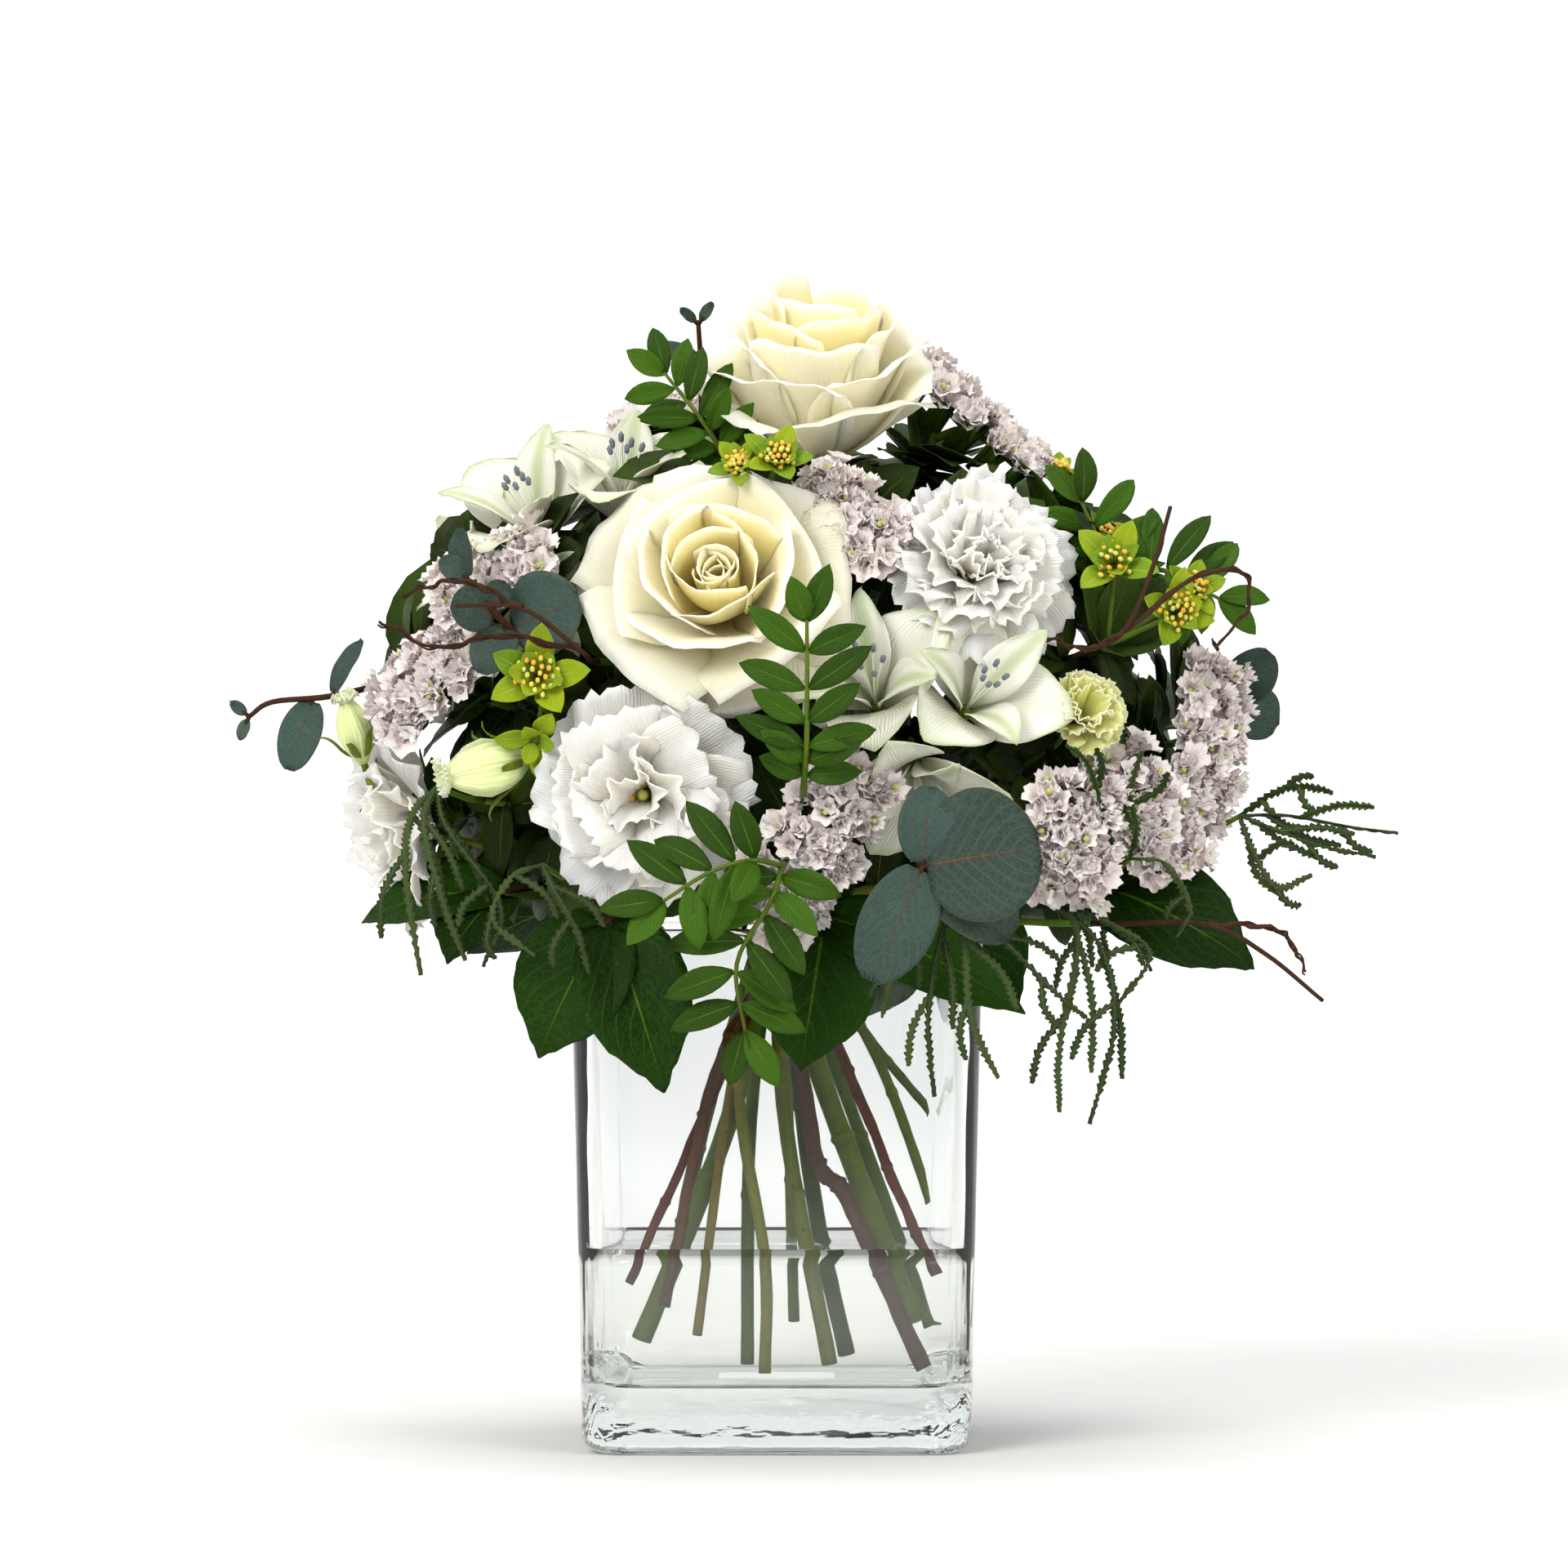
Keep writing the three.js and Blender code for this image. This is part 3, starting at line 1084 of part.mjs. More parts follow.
    path: [[32, 108, 214], [40, 112, 250]], face: [0.1, 0.97, 0.2], pairs: 4, from: 0.15, leaf: 25, seed: 37 },
  { build: growStars, name: 'bupleurum_left', at: [-78, -92, 256], axis: [0, -0.98, 0.15], stub: 6, thick: 1.2, seed: 40,
    stars: [
      { at: [-79, -106, 262], axis: [-0.05, -0.95, 0.25], size: 17, bracts: 5, florets: 3 },
      { at: [-80, -102, 242], axis: [-0.05, -0.9, -0.4], size: 13, bracts: 3, florets: 0 },
    ] },
  { build: growStars, name: 'bupleurum_centre', at: [-3, -82, 326], axis: [-0.1, -0.9, 0.4], stub: 6, thick: 1.2,
    seed: 41, stars: [
      { at: [0, -98, 334], axis: [0.1, -0.75, 0.66], size: 13, bracts: 5, florets: 3 },
      { at: [-12, -94, 333], axis: [-0.3, -0.8, 0.5], size: 10, bracts: 5, florets: 3 },
    ] },
  { build: growStars, name: 'bupleurum_right', at: [112, -58, 274], axis: [0.4, -0.9, 0.2], stub: 6, thick: 1.2,
    seed: 42, stars: [
      { at: [134, -66, 284], axis: [0.3, -0.9, 0.25], size: 15, bracts: 4, florets: 3 },
      { at: [114, -70, 300], axis: [-0.1, -0.85, 0.5], size: 16, bracts: 4, florets: 2 },
      { at: [140, -60, 292], axis: [0.4, -0.8, 0.5], size: 12, bracts: 5, florets: 3 },
    ] },
  { build: growStars, name: 'bupleurum_upper_right', at: [94, -14, 314], axis: [0.3, -0.2, 0.9], stub: 6, thick: 1.1,
    seed: 43, stars: [
      { at: [97, -16, 334], axis: [0.2, -0.5, 0.8], size: 8, bracts: 4, florets: 3 },
      { at: [112, -18, 312], axis: [0.5, -0.5, 0.7], size: 10, bracts: 4, florets: 3 },
    ] },
  { build: growLeafy, name: 'salal_front_left', at: [-52, -82, 186], axis: [-0.3, -0.95, 0], stub: 8, thick: 1.5,
    path: [[-56, -92, 182]], look: LOOKS.salal, radii: [1.5, 1.3],
    shape: { outline: 'heart', tilt: [-20, 4, 18], cup: [0.35, 0.3], rows: 3, cols: 2 },
    leaves: [
      [[-58, -91, 182], [-80, -98, 136], [-0.2, -0.95, 0.25], 20],
      [[-53, -93, 182], [-37, -108, 125], [0.05, -0.96, 0.25], 19],
    ] },
  { build: growLeafy, name: 'salal_front_right', at: [16, -88, 188], axis: [0.1, -0.99, 0], stub: 8, thick: 1.5,
    path: [[16, -98, 182]], look: LOOKS.salal, radii: [1.5, 1.3],
    shape: { outline: 'heart', tilt: [-20, 4, 18], cup: [0.35, 0.3], rows: 3, cols: 2 },
    leaves: [
      [[14, -98, 183], [8, -106, 132], [0.05, -0.96, 0.3], 21],
      [[19, -97, 184], [84, -100, 152], [0.15, -0.9, 0.45], 15],
    ] },
  { build: growLeafy, name: 'salal_left', at: [-86, -56, 192], axis: [-0.8, -0.6, 0], stub: 8, thick: 1.5,
    path: [[-92, -62, 190]], look: LOOKS.salal, radii: [1.5, 1.3],
    shape: { outline: 'heart', tilt: [-16, 4, 18], cup: [0.35, 0.3], rows: 3, cols: 2 },
    leaves: [
      [[-90, -64, 190], [-111, -84, 168], [-0.4, -0.7, 0.6], 14],
      [[-94, -60, 190], [-142, -52, 182], [-0.3, -0.5, 0.8], 17],
    ] },
  { build: growLeafy, name: 'salal_right', at: [98, -48, 194], axis: [0.8, -0.6, 0], stub: 8, thick: 1.5,
    path: [[106, -54, 194]], look: LOOKS.salal, radii: [1.5, 1.3],
    shape: { outline: 'heart', tilt: [-16, 4, 18], cup: [0.35, 0.3], rows: 3, cols: 2 },
    leaves: [
      [[108, -55, 194], [162, -66, 166], [0.1, -0.85, 0.5], 20],
      [[107, -52, 194], [158, -18, 190], [0.4, -0.3, 0.85], 18],
    ] },
  { build: growLeafy, name: 'salal_back_left', at: [-58, 76, 188], axis: [-0.5, 0.85, 0], stub: 8, thick: 1.5,
    path: [[-62, 84, 186]], look: LOOKS.salal, radii: [1.5, 1.3],
    shape: { outline: 'heart', tilt: [-18, 4, 18], cup: [0.35, 0.3], rows: 3, cols: 2 },
    leaves: [
      [[-64, 84, 186], [-112, 84, 168], [-0.5, 0.7, 0.6], 20],
      [[-60, 86, 186], [-56, 112, 142], [-0.1, 0.95, 0.4], 20],
      [[-66, 80, 187], [-132, 24, 186], [-0.6, 0.3, 0.8], 19],
    ] },
  { build: growLeafy, name: 'salal_back_right', at: [50, 80, 188], axis: [0.4, 0.9, 0], stub: 8, thick: 1.5,
    path: [[54, 88, 186]], look: LOOKS.salal, radii: [1.5, 1.3],
    shape: { outline: 'heart', tilt: [-18, 4, 18], cup: [0.35, 0.3], rows: 3, cols: 2 },
    leaves: [
      [[50, 90, 186], [22, 110, 140], [0, 0.95, 0.4], 21],
      [[56, 90, 186], [88, 102, 148], [0.4, 0.85, 0.4], 20],
      [[58, 86, 187], [132, 46, 182], [0.6, 0.4, 0.75], 20],
    ] },
  { build: growFern, name: 'fern_left', at: [-104, -74, 222], axis: [-0.7, -0.7, 0.1], stub: 7, thick: 1.1,
    fork: [-114, -84, 226], teeth: 9, strands: [
      [[-122, -88, 216], [-124, -90, 198], [-119, -88, 163]],
      [[-118, -90, 214], [-112, -92, 190], [-104, -90, 168]],
      [[-110, -90, 212], [-92, -94, 186], [-98, -92, 166]],
    ] },
  { build: growFern, name: 'fern_front_left', at: [-72, -88, 196], axis: [-0.3, -0.95, 0], stub: 7, thick: 1.1,
    fork: [-78, -98, 200], teeth: 8, strands: [
      [[-88, -104, 196], [-94, -106, 182], [-80, -108, 170]],
      [[-74, -108, 192], [-66, -112, 178], [-62, -112, 164]],
    ] },
  { build: growFern, name: 'fern_front', at: [58, -106, 190], axis: [0.1, -0.98, 0], stub: 7, thick: 1.1,
    fork: [60, -120, 188], teeth: 10, strands: [
      [[54, -128, 176], [50, -128, 150], [52, -124, 124]],
      [[62, -128, 174], [64, -126, 150], [73, -124, 130]],
      [[74, -130, 176], [92, -128, 158], [102, -124, 150]],
      [[40, -128, 176], [37, -122, 160], [35, -118, 150]],
    ] },
  { build: growFern, name: 'fern_right_low', at: [84, -80, 188], axis: [0.5, -0.85, 0], stub: 7, thick: 1.1,
    fork: [92, -94, 188], teeth: 10, strands: [
      [[100, -104, 176], [94, -108, 140], [94, -104, 118]],
      [[108, -104, 172], [112, -106, 146], [104, -104, 114]],
      [[112, -102, 180], [124, -102, 170], [112, -104, 152]],
    ] },
  { build: growFern, name: 'fern_right_over', at: [112, -76, 196], axis: [0.5, -0.85, 0.1], stub: 7, thick: 1.1,
    fork: [118, -90, 202], teeth: 8, strands: [
      [[120, -96, 212], [118, -96, 224], [122, -94, 238]],
      [[130, -96, 200], [138, -90, 186], [134, -86, 176]],
      [[112, -98, 206], [104, -106, 232], [96, -106, 240]],
    ] },
  { build: growFern, name: 'fern_far_right', at: [144, -32, 208], axis: [0.95, -0.3, 0.1], stub: 7, thick: 1.1,
    fork: [158, -38, 216], teeth: 9, strands: [
      [[170, -40, 224], [180, -40, 226], [190, -38, 224]],
      [[174, -42, 216], [196, -40, 212], [212, -40, 210]],
      [[168, -46, 212], [184, -46, 206], [204, -44, 202]],
      [[162, -48, 204], [170, -50, 192], [182, -48, 196]],
    ] },
  { build: growFern, name: 'fern_back', at: [92, 60, 202], axis: [0.7, 0.7, 0], stub: 7, thick: 1.1,
    fork: [96, 78, 196], teeth: 9, strands: [
      [[112, 84, 196], [126, 82, 180], [134, 80, 160]],
      [[104, 92, 186], [108, 98, 164], [104, 96, 142]],
      [[118, 72, 204], [140, 62, 202], [156, 56, 188]],
    ] },
  { build: growVine, name: 'vine_left', at: [-62, -90, 268], axis: [-0.3, -0.9, 0], stub: 7, thick: 1.2,
    path: [[-66, -112, 272], [-84, -117, 285], [-106, -116, 286]],
    twigs: [
      [[-66, -112, 272], [-92, -118, 276], [-112, -116, 272], [-132, -106, 281]],
      [[-84, -117, 285], [-104, -118, 294], [-124, -108, 290]],
    ] },
  { build: growVine, name: 'vine_right', at: [100, -66, 270], axis: [0.4, -0.9, 0.1], stub: 7, thick: 1.2,
    path: [[116, -88, 278], [126, -88, 300], [132, -84, 320]],
    twigs: [
      [[116, -88, 278], [140, -90, 296], [156, -84, 298], [158, -80, 286], [148, -82, 274]],
      [[116, -88, 278], [104, -94, 272], [90, -96, 276]],
    ] },
  { build: growVine, name: 'vine_low', at: [112, -76, 180], axis: [0.8, -0.6, 0], stub: 7, thick: 1.2,
    path: [[144, -84, 180], [164, -80, 170], [184, -70, 154]],
    twigs: [
      [[144, -84, 180], [168, -82, 178], [178, -76, 164]],
    ] },
];

buildVase();
buildStems(HEADS);
buildWater();
for (const head of HEADS) head.build(head);

export default group;
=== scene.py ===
import math
import random

import bmesh
import bpy
import numpy as np
from mathutils import Matrix, Vector


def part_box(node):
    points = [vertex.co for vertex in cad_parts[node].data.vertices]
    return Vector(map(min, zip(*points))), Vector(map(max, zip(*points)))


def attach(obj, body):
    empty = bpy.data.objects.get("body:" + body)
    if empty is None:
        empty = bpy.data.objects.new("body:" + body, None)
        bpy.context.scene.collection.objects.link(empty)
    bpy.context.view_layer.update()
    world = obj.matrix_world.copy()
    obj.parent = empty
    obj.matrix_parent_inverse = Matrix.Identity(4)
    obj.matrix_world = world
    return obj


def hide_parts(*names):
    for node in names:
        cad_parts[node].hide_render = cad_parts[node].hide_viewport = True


bl_info = {
    "name": "Bouquet in a Square Glass Vase",
    "version": (1, 0, 0),
    "blender": (4, 5, 0),
    "location": "View3D > Sidebar > Bouquet",
    "description": "Builds the looks of a bouquet of roses, lisianthus and foliage in a square glass vase",
    "category": "Add Mesh",
}

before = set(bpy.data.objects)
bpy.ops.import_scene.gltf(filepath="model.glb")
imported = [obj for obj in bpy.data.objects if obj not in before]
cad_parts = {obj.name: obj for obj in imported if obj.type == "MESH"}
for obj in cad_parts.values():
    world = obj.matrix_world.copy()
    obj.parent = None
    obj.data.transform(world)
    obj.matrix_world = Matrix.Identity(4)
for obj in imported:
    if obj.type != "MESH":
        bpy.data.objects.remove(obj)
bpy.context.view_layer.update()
VASE_LOW, VASE_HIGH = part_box("vase")
WATER_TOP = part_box("water")[1].z

MM = 0.001
GOLDEN_ANGLE = 2.399963
FIFTH_TURN = 1.2566
TIE = (0, 4, 184)  # where the green stems are tied
SEAT_GAP = 0.36  # between a head's stub and its shoot
SPINE_STEPS = 40  # steps in which a blade's bend is summed
STRAND_STEPS = 960  # steps along a fern strand
TOOTH = 2.2  # length of a fern tooth
FUNNEL_PLEATS = 5  # pleats of a statice floret
SHELL_SIDES = 112  # points round the vase and the water

# Rings of a lisianthus from the throat outwards: petals, tilt in degrees, share of full length.
DOUBLE = [[4, 12, 0.60], [5, 28, 0.70], [6, 44, 0.82], [7, 62, 0.93], [7, 80, 1.0]]
BROAD = [[3, 18, 0.58], [4, 36, 0.76], [5, 56, 0.92], [6, 78, 1.0]]
LOOSE = [[4, 26, 0.66], [5, 48, 0.82], [6, 76, 1.0]]
SMALL_RINGS = [[5, 22, 0.85], [6, 40, 0.95], [7, 60, 1.0]]

# ---- where everything grows ---------------------------------------------------------------------


def head(name, at, axis, stub, thick, **more):
    """A flower, spray or twig: where it joins its stub, the way it grows, and its stub's length and
    radius. Millimetres, from the middle of the vase's underside, +Z up and -Y to the front."""
    return dict(name=name, at=at, axis=axis, stub=stub, thick=thick, **more)


ROSES = [
    head("rose_front", (-17, -78, 285), (-0.1, -0.91, 0.38), 8, 2.6, size=47, petals=13, open=1, tall=1, seed=3),
    head("rose_top", (13, -40, 337), (0.05, -0.4, 0.91), 9, 2.6, size=50, petals=12, open=0.66, tall=1.5, seed=8),
    head("rose_back", (10, 66, 296), (0.1, 0.86, 0.5), 9, 2.6, size=41, petals=8, open=0.9, tall=1.1, seed=12),
]

FRILLED = [
    head("lisianthus_front", (-42, -88, 224), (-0.2, -0.97, -0.06), 7, 1.8, size=41, rings=BROAD, seed=5),
    head("lisianthus_right", (63, -68, 294), (0.3, -0.82, 0.42), 7, 1.8, size=37, rings=DOUBLE, seed=6),
    head("lisianthus_left", (-113, -33, 216), (-0.93, -0.34, -0.12), 7, 1.8, size=39, rings=LOOSE, seed=7),
    head("lisianthus_far_left", (-96, 4, 262), (-0.78, -0.25, 0.5), 7, 1.8, size=30, rings=LOOSE, seed=9),
    head("lisianthus_back_left", (-62, 70, 252), (-0.5, 0.82, 0.25), 7, 1.8, size=37, rings=LOOSE, seed=10),
    head("lisianthus_back_right", (72, 64, 236), (0.6, 0.78, 0.1), 7, 1.8, size=37, rings=LOOSE, seed=11),
    head("lime_bloom", (99, -76, 247), (0.35, -0.85, 0.35), 6, 1.4, size=17, rings=SMALL_RINGS, seed=13),
]

BUDS = [
    head("bud_front_left", (-84, -92, 235), (-0.92, -0.34, -0.2), 6, 1.3, size=29, width=9.5, seed=14),
    head("bud_left", (-141, -46, 236), (-0.25, -0.3, 0.92), 6, 1.2, size=22, width=6.5, seed=15),
]

TRUMPETS = [
    head("alstroemeria_right", (47, -56, 236), (0.2, -0.9, 0.1), 8, 1.8, seed=16, blooms=[
        dict(at=(34, -82, 251), axis=(-0.15, -0.82, 0.55), size=43, roll=30),
        dict(at=(62, -80, 250), axis=(0.3, -0.85, 0.4), size=42, roll=0),
        dict(at=(46, -88, 236), axis=(0.1, -0.75, -0.64), size=37, roll=10),
    ]),
    head("alstroemeria_left", (-62, -26, 284), (-0.4, -0.3, 0.85), 8, 1.8, seed=17, blooms=[
        dict(at=(-52, -42, 314), axis=(0.02, -0.45, 0.89), size=43, roll=20),
        dict(at=(-79, -42, 306), axis=(-0.3, -0.55, 0.78), size=42, roll=0),
        dict(at=(-88, -32, 294), axis=(-0.85, -0.35, 0.4), size=37, roll=15),
        dict(at=(-74, -50, 288), axis=(-0.3, -0.93, -0.1), size=28, roll=40),
    ]),
    head("alstroemeria_back", (-6, 62, 238), (-0.05, 0.97, 0.1), 8, 1.8, seed=18, blooms=[
        dict(at=(-18, 84, 250), axis=(-0.35, 0.85, 0.35), size=37, roll=20),
        dict(at=(10, 86, 242), axis=(0.3, 0.94, -0.05), size=36, roll=0),
    ]),
]

STATICE = [
    head("statice_top", (54, -14, 346), (0.4, -0.1, 0.9), 10, 1.6,
         path=[(50, -14, 366), (68, -18, 350), (84, -24, 334)], face=(0.62, -0.35, 0.7), breadth=11, florets=13,
         seed=20),
    head("statice_centre", (22, -66, 312), (0.1, -0.8, 0.5), 8, 1.4,
         path=[(14, -80, 324), (26, -84, 316), (36, -86, 304)], face=(-0.05, -0.85, 0.5), breadth=12, florets=10,
         seed=21),
    head("statice_left_upper", (-92, -60, 292), (-0.3, -0.8, 0.4), 7, 1.4,
         path=[(-110, -66, 288), (-96, -70, 296), (-80, -74, 302)], face=(-0.25, -0.8, 0.5), breadth=12, florets=10,
         seed=22),
    head("statice_left", (-104, -52, 258), (-0.8, -0.5, 0.3), 8, 1.4,
         path=[(-128, -58, 250), (-118, -64, 264), (-98, -72, 272)], face=(-0.55, -0.75, 0.3), breadth=14, florets=12,
         seed=23),
    head("statice_low", (14, -100, 212), (0.05, -0.99, 0.1), 8, 1.5,
         path=[(26, -106, 230), (14, -110, 206), (-4, -110, 182)], face=(0, -0.97, 0.1), breadth=17, florets=17,
         seed=24),
    head("statice_right_low", (94, -88, 208), (0.4, -0.9, 0.05), 8, 1.4,
         path=[(100, -94, 224), (98, -98, 208), (94, -98, 192)], face=(0.2, -0.95, 0.1), breadth=15, florets=12,
         seed=25),
    head("statice_right_mid", (116, -58, 218), (0.7, -0.7, 0.1), 8, 1.4,
         path=[(112, -66, 234), (124, -66, 216), (132, -64, 200)], face=(0.45, -0.85, 0.1), breadth=15, florets=12,
         seed=26),
    head("statice_right", (132, -30, 240), (0.9, -0.4, 0.2), 8, 1.4,
         path=[(148, -26, 264), (148, -34, 242), (140, -40, 218)], face=(0.6, -0.78, 0.1), breadth=14, florets=14,
         seed=57),
    head("statice_upper_left", (-36, 14, 332), (-0.2, 0.1, 0.97), 8, 1.4,
         path=[(-52, 10, 348), (-38, 8, 352), (-24, 6, 352)], face=(-0.25, -0.25, 0.93), breadth=10, florets=8,
         seed=28),
    head("statice_back", (44, 62, 282), (0.5, 0.6, 0.6), 8, 1.4, path=[(48, 72, 306), (58, 76, 292), (64, 82, 276)],
         face=(0.5, 0.75, 0.4), breadth=13, florets=11, seed=30),
]

EUCALYPTUS = [
    head("eucalyptus_front", (46, -124, 196), (0.05, -0.98, 0.05), 8, 1.5, path=[(48, -136, 200)], leaves=[
        [(49, -136, 200), (86, -139, 206), (-0.1, -1, 0.15), 23],
        [(46, -135, 202), (50, -137, 226), (0.15, -1, 0.1), 10],
        [(46, -137, 203), (31, -141, 163), (0.1, -1, 0.1), 13],
        [(49, -134, 199), (78, -130, 178), (0.2, -0.95, 0.3), 13],
    ]),
    head("eucalyptus_left", (-84, -82, 274), (-0.4, -0.85, 0.3), 7, 1.3, path=[(-94, -92, 284), (-104, -92, 296)],
         leaves=[
        [(-88, -88, 278), (-66, -98, 288), (-0.1, -0.98, 0.2), 15],
        [(-93, -92, 282), (-108, -96, 288), (-0.2, -0.95, 0.25), 8.5],
        [(-96, -92, 286), (-90, -96, 294), (-0.1, -0.97, 0.2), 5],
        [(-103, -92, 295), (-112, -94, 302), (0.4, -0.9, 0.1), 4.5],
        [(-103, -92, 295), (-106, -92, 312), (-0.5, -0.8, 0), 5],
        [(-90, -92, 276), (-98, -98, 264), (-0.2, -0.95, 0.2), 8],
    ]),
    head("eucalyptus_far_left", (-128, -26, 263), (-0.95, -0.2, 0.2), 8, 1.2,
         path=[(-152, -38, 257), (-172, -40, 255), (-180, -40, 250)], radii=(1.2, 0.8), leaves=[
        [(-158, -39, 256), (-166, -44, 232), (-0.1, -0.98, 0.1), 7.5],
        [(-152, -38, 257), (-142, -36, 276), (-0.6, -0.75, 0.1), 4],
        [(-180, -40, 250), (-186, -40, 255), (-0.2, -0.95, 0.1), 2.2],
        [(-180, -40, 250), (-183, -42, 242), (-0.2, -0.95, 0.1), 2.2],
    ]),
    head("eucalyptus_top", (-26, -2, 346), (-0.2, -0.2, 0.95), 8, 1.2, path=[(-26, -16, 368), (-27, -22, 386)],
         radii=(1.2, 0.8), leaves=[
        [(-26, -18, 374), (-44, -20, 377), (0, -0.95, 0.3), 3.6],
        [(-27, -22, 385), (-33, -24, 390), (0, -0.95, 0.3), 2],
        [(-27, -22, 385), (-22, -24, 392), (0, -0.95, 0.3), 2],
    ]),
    head("eucalyptus_right", (146, -8, 250), (0.95, -0.1, 0.2), 8, 1.2, path=[(156, -10, 256)], leaves=[
        [(157, -10, 256), (170, -16, 272), (0.3, -0.9, 0.2), 9],
        [(157, -10, 256), (172, -10, 246), (0.3, -0.85, 0.4), 11],
        [(155, -10, 256), (152, 4, 276), (0.9, -0.1, 0.4), 10],
    ]),
    head("eucalyptus_back", (-34, 92, 196), (-0.2, 0.97, 0.05), 8, 1.4, path=[(-36, 106, 200), (-38, 116, 214)],
         leaves=[
        [(-36, 106, 200), (-8, 112, 212), (0.1, 0.98, 0.2), 17],
        [(-36, 106, 200), (-64, 108, 206), (-0.2, 0.95, 0.2), 17],
        [(-38, 114, 212), (-42, 120, 240), (0.1, 0.95, 0.3), 13],
    ]),
]

PISTACIA = [
    head("pistacia_centre", (9, -122, 226), (0.02, -0.9, 0.4), 8, 1.3, path=[(10, -136, 244), (10, -140, 282)],
         face=(0, -0.97, 0.2), pairs=4, start=0.12, leaf=23, seed=31),
    head("pistacia_low", (2, -122, 200), (-0.1, -0.95, -0.1), 8, 1.3,
         path=[(-2, -134, 188), (-13, -134, 168), (-10, -126, 144)], face=(-0.1, -0.96, 0.1), pairs=4, start=0.1,
         leaf=25, seed=32, second=dict(path=[(-8, -136, 202), (-22, -138, 198), (-38, -138, 188)], pairs=3)),
    head("pistacia_upper_left", (-14, -56, 331), (-0.1, -0.7, 0.7), 8, 1.3, path=[(-24, -66, 348), (-38, -64, 366)],
         face=(-0.15, -0.95, 0.2), pairs=4, start=0.15, leaf=20, seed=44),
    head("pistacia_right", (112, -34, 288), (0.8, -0.4, 0.4), 8, 1.3, path=[(130, -40, 300), (152, -34, 290)],
         face=(0.2, -0.9, 0.35), pairs=4, start=0.15, leaf=22, seed=35,
         second=dict(path=[(112, -36, 304), (104, -34, 324)], pairs=2)),
    head("pistacia_back", (28, 92, 206), (0.2, 0.97, 0.1), 8, 1.3, path=[(32, 108, 214), (40, 112, 250)],
         face=(0.1, 0.97, 0.2), pairs=4, start=0.15, leaf=25, seed=37),
]

BUPLEURUM = [
    head("bupleurum_left", (-78, -92, 256), (0, -0.98, 0.15), 6, 1.2, seed=40, stars=[
        dict(at=(-79, -106, 262), axis=(-0.05, -0.95, 0.25), size=17, bracts=5, florets=3),
        dict(at=(-80, -102, 242), axis=(-0.05, -0.9, -0.4), size=13, bracts=3, florets=0),
    ]),
    head("bupleurum_centre", (-3, -82, 326), (-0.1, -0.9, 0.4), 6, 1.2, seed=41, stars=[
        dict(at=(0, -98, 334), axis=(0.1, -0.75, 0.66), size=13, bracts=5, florets=3),
        dict(at=(-12, -94, 333), axis=(-0.3, -0.8, 0.5), size=10, bracts=5, florets=3),
    ]),
    head("bupleurum_right", (112, -58, 274), (0.4, -0.9, 0.2), 6, 1.2, seed=42, stars=[
        dict(at=(134, -66, 284), axis=(0.3, -0.9, 0.25), size=15, bracts=4, florets=3),
        dict(at=(114, -70, 300), axis=(-0.1, -0.85, 0.5), size=16, bracts=4, florets=2),
        dict(at=(140, -60, 292), axis=(0.4, -0.8, 0.5), size=12, bracts=5, florets=3),
    ]),
    head("bupleurum_upper_right", (94, -14, 314), (0.3, -0.2, 0.9), 6, 1.1, seed=43, stars=[
        dict(at=(97, -16, 334), axis=(0.2, -0.5, 0.8), size=8, bracts=4, florets=3),
        dict(at=(112, -18, 312), axis=(0.5, -0.5, 0.7), size=10, bracts=4, florets=3),
    ]),
]

SALAL = [
    head("salal_front_left", (-52, -82, 186), (-0.3, -0.95, 0), 8, 1.5, path=[(-56, -92, 182)], radii=(1.5, 1.3),
         leaves=[
        [(-58, -91, 182), (-80, -98, 136), (-0.2, -0.95, 0.25), 20],
        [(-53, -93, 182), (-37, -108, 125), (0.05, -0.96, 0.25), 19],
    ]),
    head("salal_front_right", (16, -88, 188), (0.1, -0.99, 0), 8, 1.5, path=[(16, -98, 182)], radii=(1.5, 1.3),
         leaves=[
        [(14, -98, 183), (8, -106, 132), (0.05, -0.96, 0.3), 21],
        [(19, -97, 184), (84, -100, 152), (0.15, -0.9, 0.45), 15],
    ]),
    head("salal_left", (-86, -56, 192), (-0.8, -0.6, 0), 8, 1.5, path=[(-92, -62, 190)], radii=(1.5, 1.3), leaves=[
        [(-90, -64, 190), (-111, -84, 168), (-0.4, -0.7, 0.6), 14],
        [(-94, -60, 190), (-142, -52, 182), (-0.3, -0.5, 0.8), 17],
    ]),
    head("salal_right", (98, -48, 194), (0.8, -0.6, 0), 8, 1.5, path=[(106, -54, 194)], radii=(1.5, 1.3), leaves=[
        [(108, -55, 194), (162, -66, 166), (0.1, -0.85, 0.5), 20],
        [(107, -52, 194), (158, -18, 190), (0.4, -0.3, 0.85), 18],
    ]),
    head("salal_back_left", (-58, 76, 188), (-0.5, 0.85, 0), 8, 1.5, path=[(-62, 84, 186)], radii=(1.5, 1.3), leaves=[
        [(-64, 84, 186), (-112, 84, 168), (-0.5, 0.7, 0.6), 20],
        [(-60, 86, 186), (-56, 112, 142), (-0.1, 0.95, 0.4), 20],
        [(-66, 80, 187), (-132, 24, 186), (-0.6, 0.3, 0.8), 19],
    ]),
    head("salal_back_right", (50, 80, 188), (0.4, 0.9, 0), 8, 1.5, path=[(54, 88, 186)], radii=(1.5, 1.3), leaves=[
        [(50, 90, 186), (22, 110, 140), (0, 0.95, 0.4), 21],
        [(56, 90, 186), (88, 102, 148), (0.4, 0.85, 0.4), 20],
        [(58, 86, 187), (132, 46, 182), (0.6, 0.4, 0.75), 20],
    ]),
]

